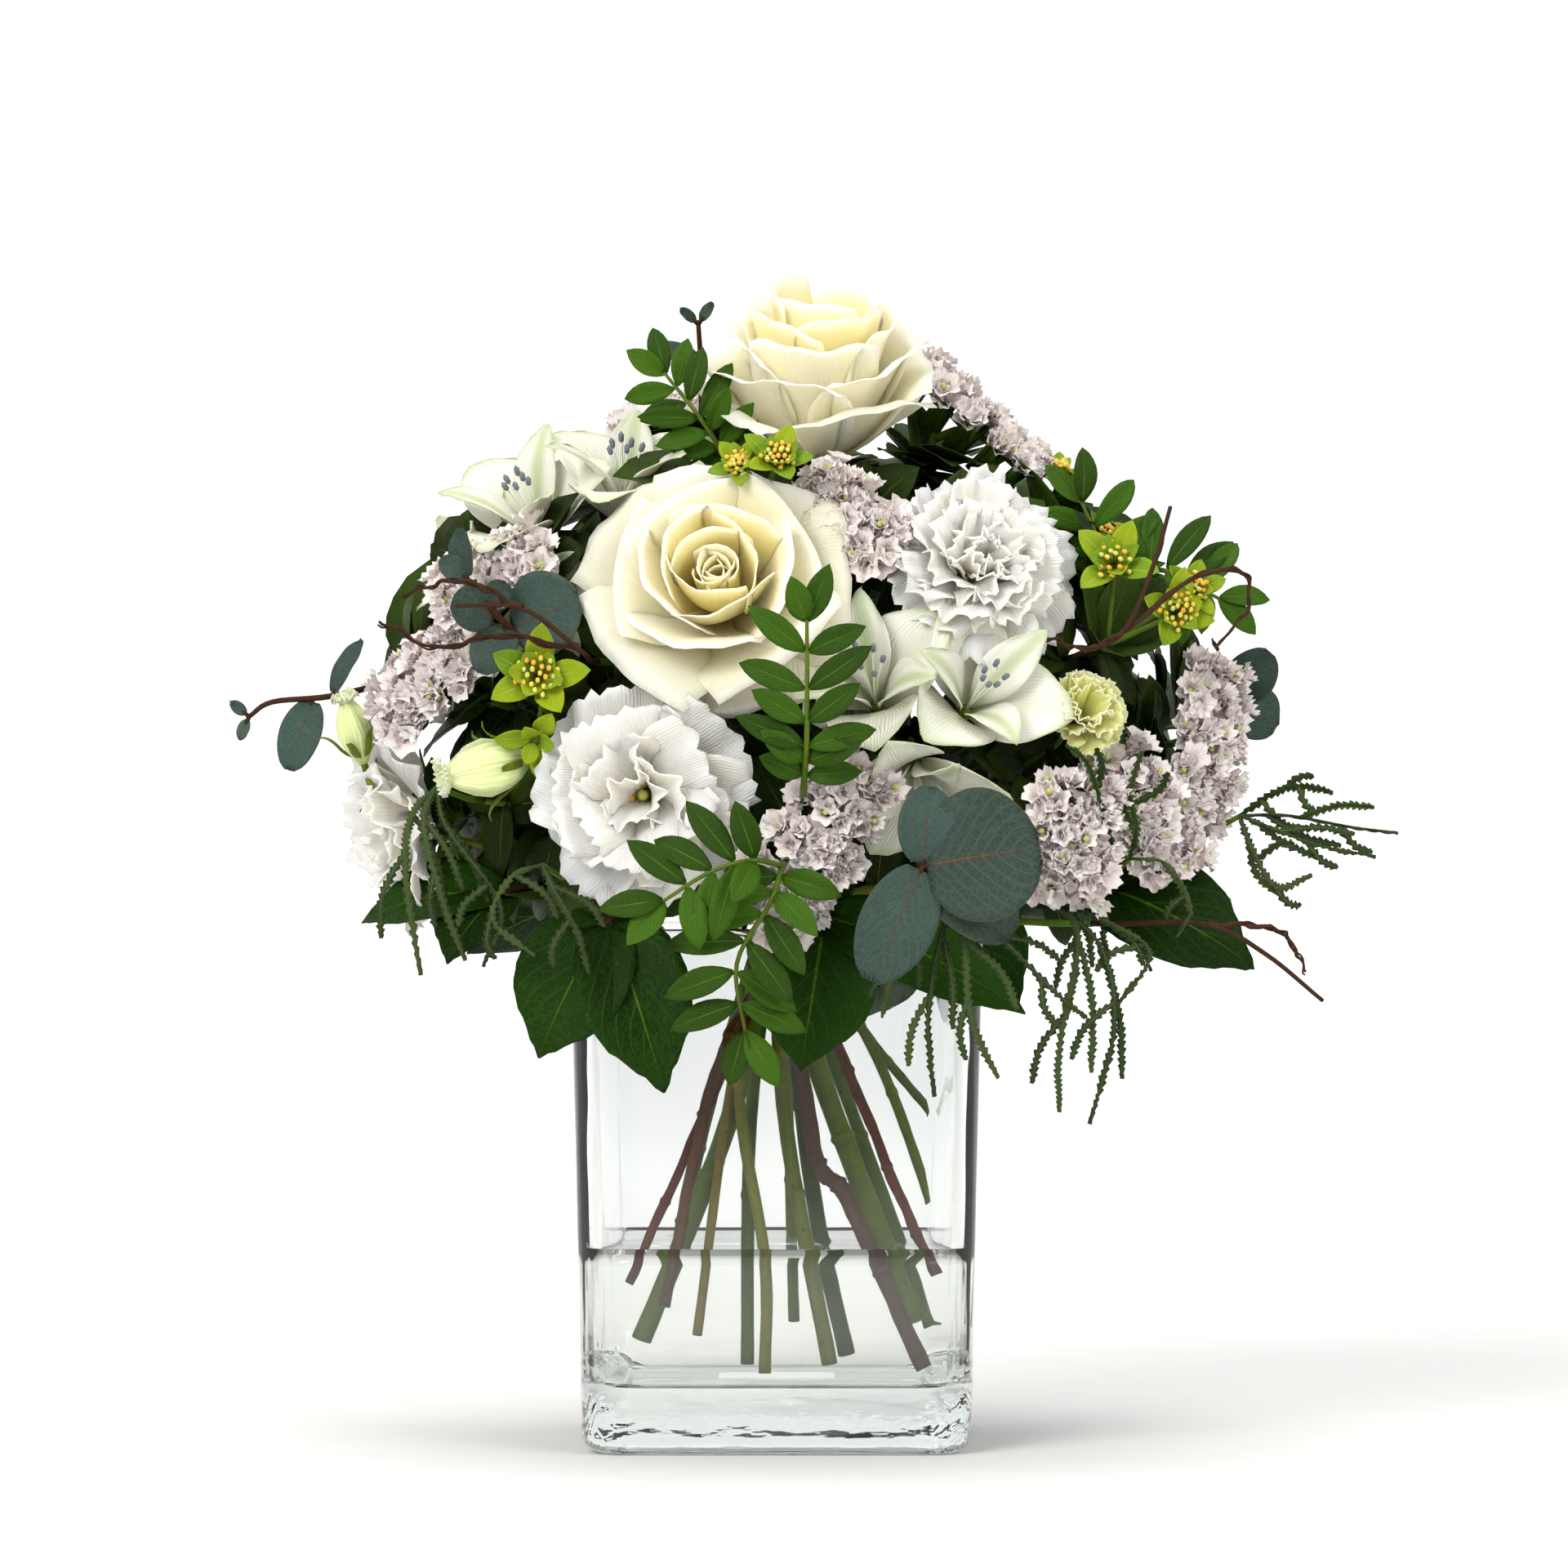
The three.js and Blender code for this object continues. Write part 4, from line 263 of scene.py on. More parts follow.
FERNS = [
    head("fern_left", (-104, -74, 222), (-0.7, -0.7, 0.1), 7, 1.1, fork=(-114, -84, 226), strands=[
        [(-122, -88, 216), (-124, -90, 198), (-119, -88, 163)],
        [(-118, -90, 214), (-112, -92, 190), (-104, -90, 168)],
        [(-110, -90, 212), (-92, -94, 186), (-98, -92, 166)],
    ]),
    head("fern_front_left", (-72, -88, 196), (-0.3, -0.95, 0), 7, 1.1, fork=(-78, -98, 200), strands=[
        [(-88, -104, 196), (-94, -106, 182), (-80, -108, 170)],
        [(-74, -108, 192), (-66, -112, 178), (-62, -112, 164)],
    ]),
    head("fern_front", (58, -106, 190), (0.1, -0.98, 0), 7, 1.1, fork=(60, -120, 188), strands=[
        [(54, -128, 176), (50, -128, 150), (52, -124, 124)],
        [(62, -128, 174), (64, -126, 150), (73, -124, 130)],
        [(74, -130, 176), (92, -128, 158), (102, -124, 150)],
        [(40, -128, 176), (37, -122, 160), (35, -118, 150)],
    ]),
    head("fern_right_low", (84, -80, 188), (0.5, -0.85, 0), 7, 1.1, fork=(92, -94, 188), strands=[
        [(100, -104, 176), (94, -108, 140), (94, -104, 118)],
        [(108, -104, 172), (112, -106, 146), (104, -104, 114)],
        [(112, -102, 180), (124, -102, 170), (112, -104, 152)],
    ]),
    head("fern_right_over", (112, -76, 196), (0.5, -0.85, 0.1), 7, 1.1, fork=(118, -90, 202), strands=[
        [(120, -96, 212), (118, -96, 224), (122, -94, 238)],
        [(130, -96, 200), (138, -90, 186), (134, -86, 176)],
        [(112, -98, 206), (104, -106, 232), (96, -106, 240)],
    ]),
    head("fern_far_right", (144, -32, 208), (0.95, -0.3, 0.1), 7, 1.1, fork=(158, -38, 216), strands=[
        [(170, -40, 224), (180, -40, 226), (190, -38, 224)],
        [(174, -42, 216), (196, -40, 212), (212, -40, 210)],
        [(168, -46, 212), (184, -46, 206), (204, -44, 202)],
        [(162, -48, 204), (170, -50, 192), (182, -48, 196)],
    ]),
    head("fern_back", (92, 60, 202), (0.7, 0.7, 0), 7, 1.1, fork=(96, 78, 196), strands=[
        [(112, 84, 196), (126, 82, 180), (134, 80, 160)],
        [(104, 92, 186), (108, 98, 164), (104, 96, 142)],
        [(118, 72, 204), (140, 62, 202), (156, 56, 188)],
    ]),
]

VINES = [
    head("vine_left", (-62, -90, 268), (-0.3, -0.9, 0), 7, 1.2,
         path=[(-66, -112, 272), (-84, -117, 285), (-106, -116, 286)], twigs=[
        [(-66, -112, 272), (-92, -118, 276), (-112, -116, 272), (-132, -106, 281)],
        [(-84, -117, 285), (-104, -118, 294), (-124, -108, 290)],
    ]),
    head("vine_right", (100, -66, 270), (0.4, -0.9, 0.1), 7, 1.2,
         path=[(116, -88, 278), (126, -88, 300), (132, -84, 320)], twigs=[
        [(116, -88, 278), (140, -90, 296), (156, -84, 298), (158, -80, 286), (148, -82, 274)],
        [(116, -88, 278), (104, -94, 272), (90, -96, 276)],
    ]),
    head("vine_low", (112, -76, 180), (0.8, -0.6, 0), 7, 1.2,
         path=[(144, -84, 180), (164, -80, 170), (184, -70, 154)], twigs=[
        [(144, -84, 180), (168, -82, 178), (178, -76, 164)],
    ]),
]

# Cut stems below the tie: radius, tone (0 yellow-brown, 0.5 fresh green, 1 dark green), path.
GREEN_STEMS = [
    (3.3, 0.72, [(-2, 2, 184), (-15, -22, 116), (-46, -42, 38)]),
    (1.6, 0.12, [(-3, 0, 184), (-16, -26, 122), (-27, -48, 40)]),
    (2.0, 0.34, [(-2, -2, 184), (-13, -26, 127), (-4, -44, 65), (-4, -50, 27)]),
    (2.2, 0.80, [(0, 4, 184), (-9, -8, 110), (-10, -28, 29)]),
    (2.6, 0.50, [(-1, 0, 184), (3, -22, 111), (18, -44, 30)]),
    (2.8, 0.95, [(1, 8, 184), (12, 0, 89), (24, -14, 31)]),
    (3.6, 0.62, [(2, 2, 184), (14, -18, 130), (47, -36, 44)]),
    (2.3, 0.72, [(3, 7, 184), (20, 6, 130), (53, -14, 41)]),
    (1.8, 0.62, [(3, 2, 184), (28, -10, 145), (40, -22, 120), (53, -34, 84)]),
    (1.6, 0.70, [(4, 6, 184), (28, 10, 145), (39, 12, 130), (55, 14, 112)]),
    (2.0, 0.80, [(-3, 8, 184), (-22, 26, 120), (-38, 42, 52)]),
    (1.9, 0.60, [(1, 9, 184), (4, 32, 110), (6, 46, 40)]),
]

# Woody and dark red stems in front of the green ones: radius, tone (0 dark red, 1 grey-brown), path.
TWIG_STEMS = [
    (1.6, 0.05, [(0, -20, 171), (-17, -42, 132), (-50, -55, 58)]),
    (2.0, 0.45, [(1, -22, 171), (-21, -46, 128), (-38, -55, 50)]),
    (2.8, 0.90, [(3, -22, 171), (13, -44, 102), (24, -50, 86), (50, -54, 29)]),
    (1.8, 0.15, [(3, -21, 171), (22, -44, 135), (41, -54, 89), (54, -56, 61)]),
]

# Leaves left on the shoots: whose shoot, share of its length, direction, length, half width.
STEM_LEAVES = [
    ("rose_top", 0.35, (-0.5, -0.6, 0.6), 46, 12),
    ("rose_top", 0.6, (0.6, -0.3, 0.7), 44, 12),
    ("rose_front", 0.4, (0.3, -0.7, 0.6), 44, 12),
    ("lisianthus_right", 0.4, (0.8, -0.5, 0.2), 44, 11),
    ("lisianthus_front", 0.4, (-0.9, -0.3, 0.5), 44, 11),
    ("rose_back", 0.45, (-0.7, 0.4, 0.5), 46, 12),
    ("lisianthus_back_right", 0.5, (0.2, 0.6, 0.8), 42, 11),
    ("lisianthus_far_left", 0.5, (-0.5, 0.6, 0.6), 44, 11),
    ("statice_right", 0.45, (0.5, 0.3, 0.8), 44, 12),
    ("eucalyptus_right", 0.5, (0.6, 0.6, 0.5), 44, 12),
]

# Where the inner leaves reach to: the middle and half sizes of an egg just inside the flowers.
FILL_MIDDLE = (4, -4, 260)
FILL_REACH = (150, 86, 100)
FILL_COUNT = 980
FILL_LOW = 184

HEADS = ROSES + FRILLED + BUDS + TRUMPETS + STATICE + EUCALYPTUS + PISTACIA + BUPLEURUM + SALAL + FERNS + VINES

# ---- placing ------------------------------------------------------------------------------------


def unit(vector):
    """The same direction, one long."""
    v = np.array(vector, float)
    return v / max(np.linalg.norm(v), 1e-9)


def stand(at, axis, roll=0.0):
    """The matrix that stands local +Z along a direction, turned by roll degrees about it."""
    turn = Vector((0, 0, 1)).rotation_difference(Vector(axis).normalized())
    spin = Matrix.Rotation(math.radians(roll), 4, "Z")
    return np.array(Matrix.Translation(Vector(at)) @ turn.to_matrix().to_4x4() @ spin)


def lay(at, along, face):
    """The matrix that lays a blade along a direction, its face looking another way."""
    z = unit(along)
    f = np.array(face, float)
    x = -unit(f - z * f.dot(z))
    matrix = np.eye(4)
    matrix[:3, 0], matrix[:3, 1], matrix[:3, 2], matrix[:3, 3] = x, np.cross(z, x), z, at
    return matrix


def spun(angle):
    """The matrix that turns about local +Z, in radians."""
    c, s = math.cos(angle), math.sin(angle)
    matrix = np.eye(4)
    matrix[:2, :2] = [[c, -s], [s, c]]
    return matrix


def smooth_line(points, count):
    """Points along a smooth curve through the given ones."""
    p = [np.array(q, float) for q in points]
    p = [2 * p[0] - p[1], *p, 2 * p[-1] - p[-2]]
    out = []
    spans = len(p) - 3
    for i in range(count + 1):
        u = i / count * spans
        k = min(int(u), spans - 1)
        t = u - k
        a, b, c, d = p[k], p[k + 1], p[k + 2], p[k + 3]
        out.append(0.5 * (2 * b + (c - a) * t + (2 * a - 5 * b + 4 * c - d) * t**2
                          + (3 * b - a - 3 * c + d) * t**3))
    return np.array(out)


def nearest_on(points, target):
    """The point of a line of points that lies nearest to another point."""
    goal, best = np.array(target, float), None
    for a, b in zip(points[:-1], points[1:]):
        a, b = np.array(a, float), np.array(b, float)
        share = np.clip((goal - a).dot(b - a) / max((b - a).dot(b - a), 1e-9), 0, 1)
        near = a + (b - a) * share
        if best is None or np.linalg.norm(near - goal) < np.linalg.norm(best - goal):
            best = near
    return best


# ---- shapes -------------------------------------------------------------------------------------


def outline_petal(s):
    return 0.1 + 0.9 * np.sin(np.minimum(s * 1.25, 1) * np.pi / 2) ** 0.9


def outline_spoon(s):
    return 0.07 + 0.93 * np.abs(np.sin(np.minimum(s * 1.45, 1.62) * np.pi / 2)) ** 1.4


def outline_lance(s):
    return 0.02 + 0.98 * np.abs(np.sin(np.minimum(0.03 + s * 0.97, 1) * np.pi)) ** 0.8


def outline_round(s):
    return 0.1 + 0.9 * np.abs(np.sin((0.04 + s * 0.95) * np.pi)) ** 0.55


def outline_heart(s):
    wide = 0.04 + 0.96 * np.abs(np.sin(np.minimum(0.1 + s * 0.9, 1) ** 0.9 * np.pi)) ** 0.75
    return wide * (1 - 0.55 * np.clip((s - 0.68) / 0.32, 0, 1) ** 1.2)


OUTLINES = {
    "petal": outline_petal,
    "spoon": outline_spoon,
    "lance": outline_lance,
    "round": outline_round,
    "heart": outline_heart,
}


def placed(place, x, y, z):
    """Local points moved by a matrix."""
    return (np.stack([x, y, z, np.ones_like(x)], 1) @ np.asarray(place).T)[:, :3]


class Growth:
    """A plant piece in the making. Each vertex is marked with its place along and across its blade
    and with the blade's own tone, for the materials to read."""

    def __init__(self):
        self.bm = bmesh.new()
        self.mark = self.bm.verts.layers.float_vector.new("blade")
        self.thin = []

    def sheet(self, rows, cols, shape, tone=0.5, skin=0, wrap=False, thin=0.0):
        """A grid whose vertices are moved to shape(along 0..1, across -1..1), in millimetres."""
        made = bmesh.ops.create_grid(self.bm, x_segments=rows, y_segments=cols, size=0.5)["verts"]
        flat = np.array([v.co for v in made])
        along, across = flat[:, 0] + 0.5, flat[:, 1] * 2
        points = shape(along, across) * MM
        faces = set()
        for v, p, a, b in zip(made, points, along, across):
            v.co = p
            v[self.mark] = (a, b, tone)
            faces.update(v.link_faces)
        for f in faces:
            f.smooth = True
            f.material_index = skin
        if wrap:
            bmesh.ops.remove_doubles(self.bm, verts=made, dist=1e-6)
            faces = [f for f in faces if f.is_valid]
            bmesh.ops.recalc_face_normals(self.bm, faces=faces)
        elif thin:
            self.thin.append((thin, list(faces)))

    def blade(self, place, length, width, rows=8, cols=6, outline="petal", tilt=(60, 40, 60), cup=(0.6, 0.3),
              ruffle=0.0, waves=2.0, phase=0.0, arch=0.25, power=2, root=0.0, rise=0.0, twist=0.0, lip=0.0,
              curl=0.0, frill=0.0, nick=0.0, fold=0.0, fringe=0.0, tone=0.5, skin=0, thin=0.35):
        """A petal or leaf. It grows from the origin in the X-Z plane, its face turned to -X when upright.
        tilt is its angle from +Z at root, middle and tip; cup rolls its edges towards the face; lip turns
        its tip back; curl turns its edges back; frill waves its rim; nick cuts teeth; fold keels it;
        fringe frays its rim."""
        share = np.linspace(0, 1, SPINE_STEPS + 1)
        bend = np.interp(share, [0, 0.5, 1], tilt) + lip * np.clip((share - 0.7) / 0.3, 0, 1) ** 2
        angle = np.radians(bend)
        mean = (angle[1:] + angle[:-1]) / 2
        spine_x = root + np.concatenate([[0], np.cumsum(np.sin(mean))]) * length / SPINE_STEPS
        spine_z = rise + np.concatenate([[0], np.cumsum(np.cos(mean))]) * length / SPINE_STEPS

        def bent(along, t):
            s = along * (1 - arch * np.abs(t) ** power)
            s = s + nick * along * np.abs(t) ** 4 * np.sin(along * 47 + phase)
            frayed = 0.5 + 0.3 * np.sin(t * 17 + phase) + 0.3 * np.sin(t * 29 + phase * 3)
            s = np.clip(s - fringe * along**6 * frayed, 0, 1)
            x, z = np.interp(s, share, spine_x), np.interp(s, share, spine_z)
            a = np.interp(s, share, angle)
            w = width * OUTLINES[outline](along) * t * (1 + nick * np.sin(along * 61 + 1.3))
            roll = (cup[0] + (cup[1] - cup[0]) * s) / width
            roll = np.where(np.abs(roll) < 1e-5, 1e-5, roll)
            side = np.sin(roll * w) / roll
            lift = (1 - np.cos(roll * w)) / roll + w * twist * np.minimum(along * 3, 1)
            lift = lift + ruffle * along**2 * np.sin(t * np.pi * waves + phase)
            lift = lift + frill * along**4 * np.sin(t * np.pi * waves * 2.7 + phase * 2.1)
            lift = lift + frill * 0.7 * np.abs(t) ** 3 * along * np.sin(along * 14 + phase + t)
            lift = lift - curl * width * np.abs(t) ** 3 * along**2 + fold * np.abs(w)
            return placed(place, x - np.cos(a) * lift, side, z + np.sin(a) * lift)

        self.sheet(rows, cols, bent, tone, skin, thin=thin)

    def rod(self, points, radii, sides=8, tone=0.5, skin=0, wobble=0.0):
        """A round rod along a line of points, closed at both ends."""
        line = np.array(points, float)
        count = len(line)
        radii = np.interp(np.linspace(0, 1, count), np.linspace(0, 1, len(radii)), radii)
        tangent = np.gradient(line, axis=0)
        side = np.cross(tangent[0], (0, 0, 1) if abs(unit(tangent[0])[2]) < 0.8 else (1, 0, 0))
        sides_of, ups = [], []
        for t in tangent:
            t = unit(t)
            side = unit(side - t * side.dot(t))
            sides_of.append(side)
            ups.append(np.cross(t, side))
        sides_of, ups = np.array(sides_of), np.array(ups)
        rows = count + 1

        def tube(along, across):
            row = np.rint(along * rows).astype(int)
            i = np.clip(row - 1, 0, count - 1)
            r = np.where((row == 0) | (row == rows), 0.0, radii[i])
            turn = across * np.pi
            r = r * (1 + wobble * np.sin(turn * 2 + i * 0.9) + wobble * np.sin(i * 2.3))
            return line[i] + sides_of[i] * (np.cos(turn) * r)[:, None] + ups[i] * (np.sin(turn) * r)[:, None]

        self.sheet(rows, sides, tube, tone, skin, wrap=True)

    def turned(self, place, profile, sides=12, tone=0.5, skin=0, pleats=0, depth=0.0, swirl=0.0):
        """A closed shape turned about local +Z from (radius, height) pairs, with pleats that may swirl."""
        profile = np.array(profile, float)
        rows = len(profile) - 1

        def lathe(along, across):
            i = np.rint(along * rows).astype(int)
            turn = across * np.pi
            r = profile[i, 0] * (1 + depth * along * np.cos(turn * pleats + along * swirl))
            return placed(place, np.cos(turn) * r, np.sin(turn) * r, profile[i, 1])

        self.sheet(rows, sides, lathe, tone, skin, wrap=True)

    def finish_head(self, head, part, materials, slot):
        """Makes the piece that stands for a head."""
        self.finish(head["name"] + part, materials, head["name"], slot)

    def finish(self, name, materials, node, slot):
        """Gives thin blades their thickness and makes the piece that stands for a node."""
        for thickness in sorted({t for t, _ in self.thin}):
            faces = [f for t, group in self.thin if t == thickness for f in group if f.is_valid]
            bmesh.ops.solidify(self.bm, geom=faces, thickness=-thickness * MM)
        mesh = bpy.data.meshes.new(name)
        self.bm.to_mesh(mesh)
        self.bm.free()
        for material in materials:
            mesh.materials.append(material)
        piece = bpy.data.objects.new(name, mesh)
        bpy.context.scene.collection.objects.link(piece)
        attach(piece, "root")
        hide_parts(node)


def begun(head, key="seed"):
    """A head's piece and its own random draws, which one of its values seeds."""
    return Growth(), random.Random(head[key])


def foot_of(head):
    """The far end of a head's stub, just off the end of its shoot."""
    return np.array(head["at"], float) - unit(head["axis"]) * (head["stub"] + SEAT_GAP)


def stub_of(growth, head):
    """The short stalk under a head."""
    axis, at = unit(head["axis"]), np.array(head["at"], float)
    growth.rod([foot_of(head), at - axis * 2, at + axis * 2], [head["thick"]], 8, skin=1)


# ---- materials ----------------------------------------------------------------------------------


def linear(colour):
    """A screen colour as the shaders take it."""
    return tuple(c / 12.92 if c <= 0.04045 else ((c + 0.055) / 1.055) ** 2.4 for c in colour[:3]) + (1.0,)


class Shader:
    """A node tree being wired, for a material or a shared effect."""

    def __init__(self, tree):
        self.tree = tree

    def put(self, kind, inputs=None, **settings):
        made = self.tree.nodes.new(kind)
        for key, value in settings.items():
            setattr(made, key, value)
        for key, value in (inputs or {}).items():
            self.feed(value, made.inputs[key])
        return made

    def feed(self, value, socket):
        if isinstance(value, bpy.types.NodeSocket):
            self.tree.links.new(value, socket)
        else:
            socket.default_value = value

    def maths(self, operation, a, b=0.0, clamp=False):
        return self.put("ShaderNodeMath", {0: a, 1: b}, operation=operation, use_clamp=clamp).outputs[0]

    def plus(self, a, b):
        return self.maths("ADD", a, b)

    def minus(self, a, b, clamp=False):
        return self.maths("SUBTRACT", a, b, clamp)

    def times(self, a, b):
        return self.maths("MULTIPLY", a, b)

    def place(self):
        return self.put("ShaderNodeTexCoord").outputs["Object"]

    def smooth(self, value, low, high):
        made = self.put("ShaderNodeMapRange", {"Value": value, "From Min": low, "From Max": high},
                        interpolation_type="SMOOTHSTEP")
        return made.outputs[0]

    def mix(self, factor, a, b, blend="MIX"):
        made = self.put("ShaderNodeMix", data_type="RGBA", blend_type=blend)
        for index, value in ((0, factor), (6, a), (7, b)):
            self.feed(value, made.inputs[index])
        return made.outputs[2]

    def ramp(self, factor, stops):
        made = self.put("ShaderNodeValToRGB", {"Fac": factor})
        points = made.color_ramp.elements
        while len(points) < len(stops):
            points.new(0.5)
        for point, (place, colour) in zip(points, stops):
            point.position = place
            point.color = linear(colour)
        return made.outputs[0]

    def noise(self, scale, detail=3.0, vector=None, distortion=0.0):
        made = self.put("ShaderNodeTexNoise", {"Scale": scale, "Detail": detail, "Distortion": distortion})
        self.feed(vector or self.place(), made.inputs["Vector"])
        return made.outputs[0]

    def blade(self):
        """Along, across and tone, as the shapes mark them."""
        read = self.put("ShaderNodeAttribute", attribute_name="blade")
        split = self.put("ShaderNodeSeparateXYZ", {0: read.outputs["Vector"]})
        return split.outputs[0], split.outputs[1], split.outputs[2]


def shared_effect(name, inputs, outputs):
    """A node group with named inputs and outputs, made once; None if it is there already."""
    if name in bpy.data.node_groups:
        return None
    tree = bpy.data.node_groups.new(name, "ShaderNodeTree")
    for label, kind, value in inputs:
        tree.interface.new_socket(label, in_out="INPUT", socket_type=kind).default_value = value
    for label, kind in outputs:
        tree.interface.new_socket(label, in_out="OUTPUT", socket_type=kind)
    shader = Shader(tree)
    return shader, shader.put("NodeGroupInput").outputs, shader.put("NodeGroupOutput").inputs


NUMBER, COLOUR = "NodeSocketFloat", "NodeSocketColor"


def mottle_effect():
    """Shifts a colour towards a second one by a blade's own tone and by soft blotches."""
    built = shared_effect("Mottle", [("Colour", COLOUR, (1, 1, 1, 1)), ("Second", COLOUR, (1, 1, 1, 1)),
                                     ("Tone", NUMBER, 0.5), ("Scale", NUMBER, 60.0), ("Amount", NUMBER, 0.5)],
                          [("Colour", COLOUR), ("Height", NUMBER)])
    if built:
        shader, given, out = built
        blotch = shader.noise(given["Scale"], 5.0)
        both = shader.plus(shader.times(blotch, 0.7), shader.times(given["Tone"], 0.6))
        share = shader.times(shader.smooth(both, 0.35, 0.95), given["Amount"])
        shader.feed(shader.mix(share, given["Colour"], given["Second"]), out["Colour"])
        shader.feed(blotch, out["Height"])
    return bpy.data.node_groups["Mottle"]


def fan_effect():
    """Fine lines that run along a petal and spread over it."""
    built = shared_effect("Fan Lines", [("Along", NUMBER, 0.5), ("Across", NUMBER, 0.0), ("Lines", NUMBER, 20.0)],
                          [("Mask", NUMBER)])
    if built:
        shader, given, out = built
        sway = shader.times(shader.noise(160.0, 2.0), 1.4)
        wide = shader.times(given["Across"], given["Lines"])
        wave = shader.maths("SINE", shader.times(shader.plus(wide, sway), math.pi))
        line = shader.maths("POWER", shader.maths("ABSOLUTE", wave), 3.0)
        shader.feed(line, out["Mask"])
    return bpy.data.node_groups["Fan Lines"]


def leaf_vein_effect():
    """A midrib, side veins that lean towards the tip, and a fine net between them."""
    built = shared_effect("Leaf Veins", [("Along", NUMBER, 0.5), ("Across", NUMBER, 0.0), ("Pairs", NUMBER, 7.0),
                                         ("Slope", NUMBER, 0.35), ("Midrib", NUMBER, 0.07), ("Net", NUMBER, 0.3)],
                          [("Midrib", NUMBER), ("Veins", NUMBER)])
    if built:
        shader, given, out = built
        wide = shader.maths("ABSOLUTE", given["Across"])
        taper = shader.times(given["Midrib"], shader.minus(1.15, given["Along"]))
        rib = shader.minus(1.0, shader.maths("DIVIDE", wide, taper), clamp=True)
        lean = shader.minus(given["Along"], shader.times(wide, given["Slope"]))
        swayed = shader.plus(lean, shader.times(shader.noise(90.0, 2.0), 0.05))
        wave = shader.maths("SINE", shader.times(shader.times(swayed, given["Pairs"]), math.pi))
        thin = shader.maths("POWER", shader.minus(1.0, shader.maths("ABSOLUTE", wave), clamp=True), 5.0)
        side = shader.times(thin, shader.minus(1.0, shader.times(wide, 0.5)))
        cells = shader.put("ShaderNodeTexVoronoi", {"Vector": shader.place(), "Scale": 420.0},
                           feature="DISTANCE_TO_EDGE")
        net = shader.minus(1.0, shader.smooth(cells.outputs[0], 0.0, 0.14))
        both = shader.maths("MAXIMUM", side, shader.times(net, given["Net"]))
        shader.feed(rib, out["Midrib"])
        shader.feed(both, out["Veins"])
    return bpy.data.node_groups["Leaf Veins"]


def use(shader, effect, **inputs):
    """Places a shared effect in a material."""
    made = shader.put("ShaderNodeGroup", node_tree=effect)
    for key, value in inputs.items():
        shader.feed(value, made.inputs[key])
    return made.outputs


def finish_material(name, shader_of, **constants):
    """A material with one Principled shader. shader_of(shader) gives colour, roughness, height, bump depth."""
    if name in bpy.data.materials:
        return bpy.data.materials[name]
    material = bpy.data.materials.new(name)
    material.use_nodes = True
    tree = material.node_tree
    tree.nodes.clear()
    shader = Shader(tree)
    surface = shader.put("ShaderNodeBsdfPrincipled")
    out = shader.put("ShaderNodeOutputMaterial", {"Surface": surface.outputs[0]})
    out.is_active_output = True
    for key, value in constants.items():
        surface.inputs[key.replace("_", " ")].default_value = value
    colour, roughness, height, depth = shader_of(shader)
    shader.feed(colour, surface.inputs["Base Color"])
    shader.feed(roughness, surface.inputs["Roughness"])
    if height is not None:
        bump = shader.put("ShaderNodeBump", {"Height": height, "Strength": 0.6, "Distance": depth})
        shader.feed(bump.outputs[0], surface.inputs["Normal"])
    return material


def petal_material(name, body, root, edge, second, lines=18.0, line_depth=0.0003, line_tint=0.12, translucent=0.18):
    """A petal: root colour, body, rim, blotches and fine lines along it."""

    def wire(shader):
        along, across, tone = shader.blade()
        base = shader.ramp(along, [(0.0, root), (0.46, body), (0.86, body), (1.0, edge)])
        mottled = use(shader, mottle_effect(), Colour=base, Second=linear(second), Tone=tone, Scale=55.0, Amount=0.5)
        fan = use(shader, fan_effect(), Along=along, Across=across, Lines=lines)
        colour = shader.mix(shader.times(fan["Mask"], line_tint), mottled["Colour"], linear(second))
        grain = shader.noise(900.0, 3.0)
        height = shader.plus(fan["Mask"], shader.times(grain, 0.5))
        rough = shader.plus(0.42, shader.times(mottled["Height"], 0.22))
        return colour, rough, height, line_depth

    return finish_material(name, wire, Subsurface_Weight=translucent, Subsurface_Radius=(0.006, 0.005, 0.0035),
                           Subsurface_Scale=1.0, Specular_IOR_Level=0.35, Sheen_Weight=0.08)


def leaf_material(name, face, dark, rib, vein, pairs=7.0, slope=0.35, midrib=0.07, net=0.25, vein_tint=0.35,
                  rough=0.42, depth=0.0005, edge=None, shine=0.11):
    """A leaf: face colour with darker blotches, midrib, side veins and net, and an edge tint."""

    def wire(shader):
        along, across, tone = shader.blade()
        veins = use(shader, leaf_vein_effect(), Along=along, Across=across, Pairs=pairs, Slope=slope,
                    Midrib=midrib, Net=net)
        mottled = use(shader, mottle_effect(), Colour=linear(face), Second=linear(dark), Tone=tone, Scale=45.0,
                      Amount=0.85)
        colour = shader.mix(shader.times(veins["Veins"], vein_tint), mottled["Colour"], linear(vein))
        colour = shader.mix(shader.smooth(veins["Midrib"], 0.0, 0.6), colour, linear(rib))
        if edge is not None:
            rim = shader.smooth(shader.maths("ABSOLUTE", across), 0.96, 1.0)
            colour = shader.mix(rim, colour, linear(edge))
        height = shader.minus(shader.times(mottled["Height"], 0.5),
                              shader.plus(veins["Veins"], veins["Midrib"]))
        roughness = shader.plus(rough, shader.times(mottled["Height"], 0.2))
        return colour, roughness, height, depth

    return finish_material(name, wire, Subsurface_Weight=0.05, Subsurface_Radius=(0.001, 0.002, 0.0005),
                           Subsurface_Scale=1.0, Specular_IOR_Level=shine)


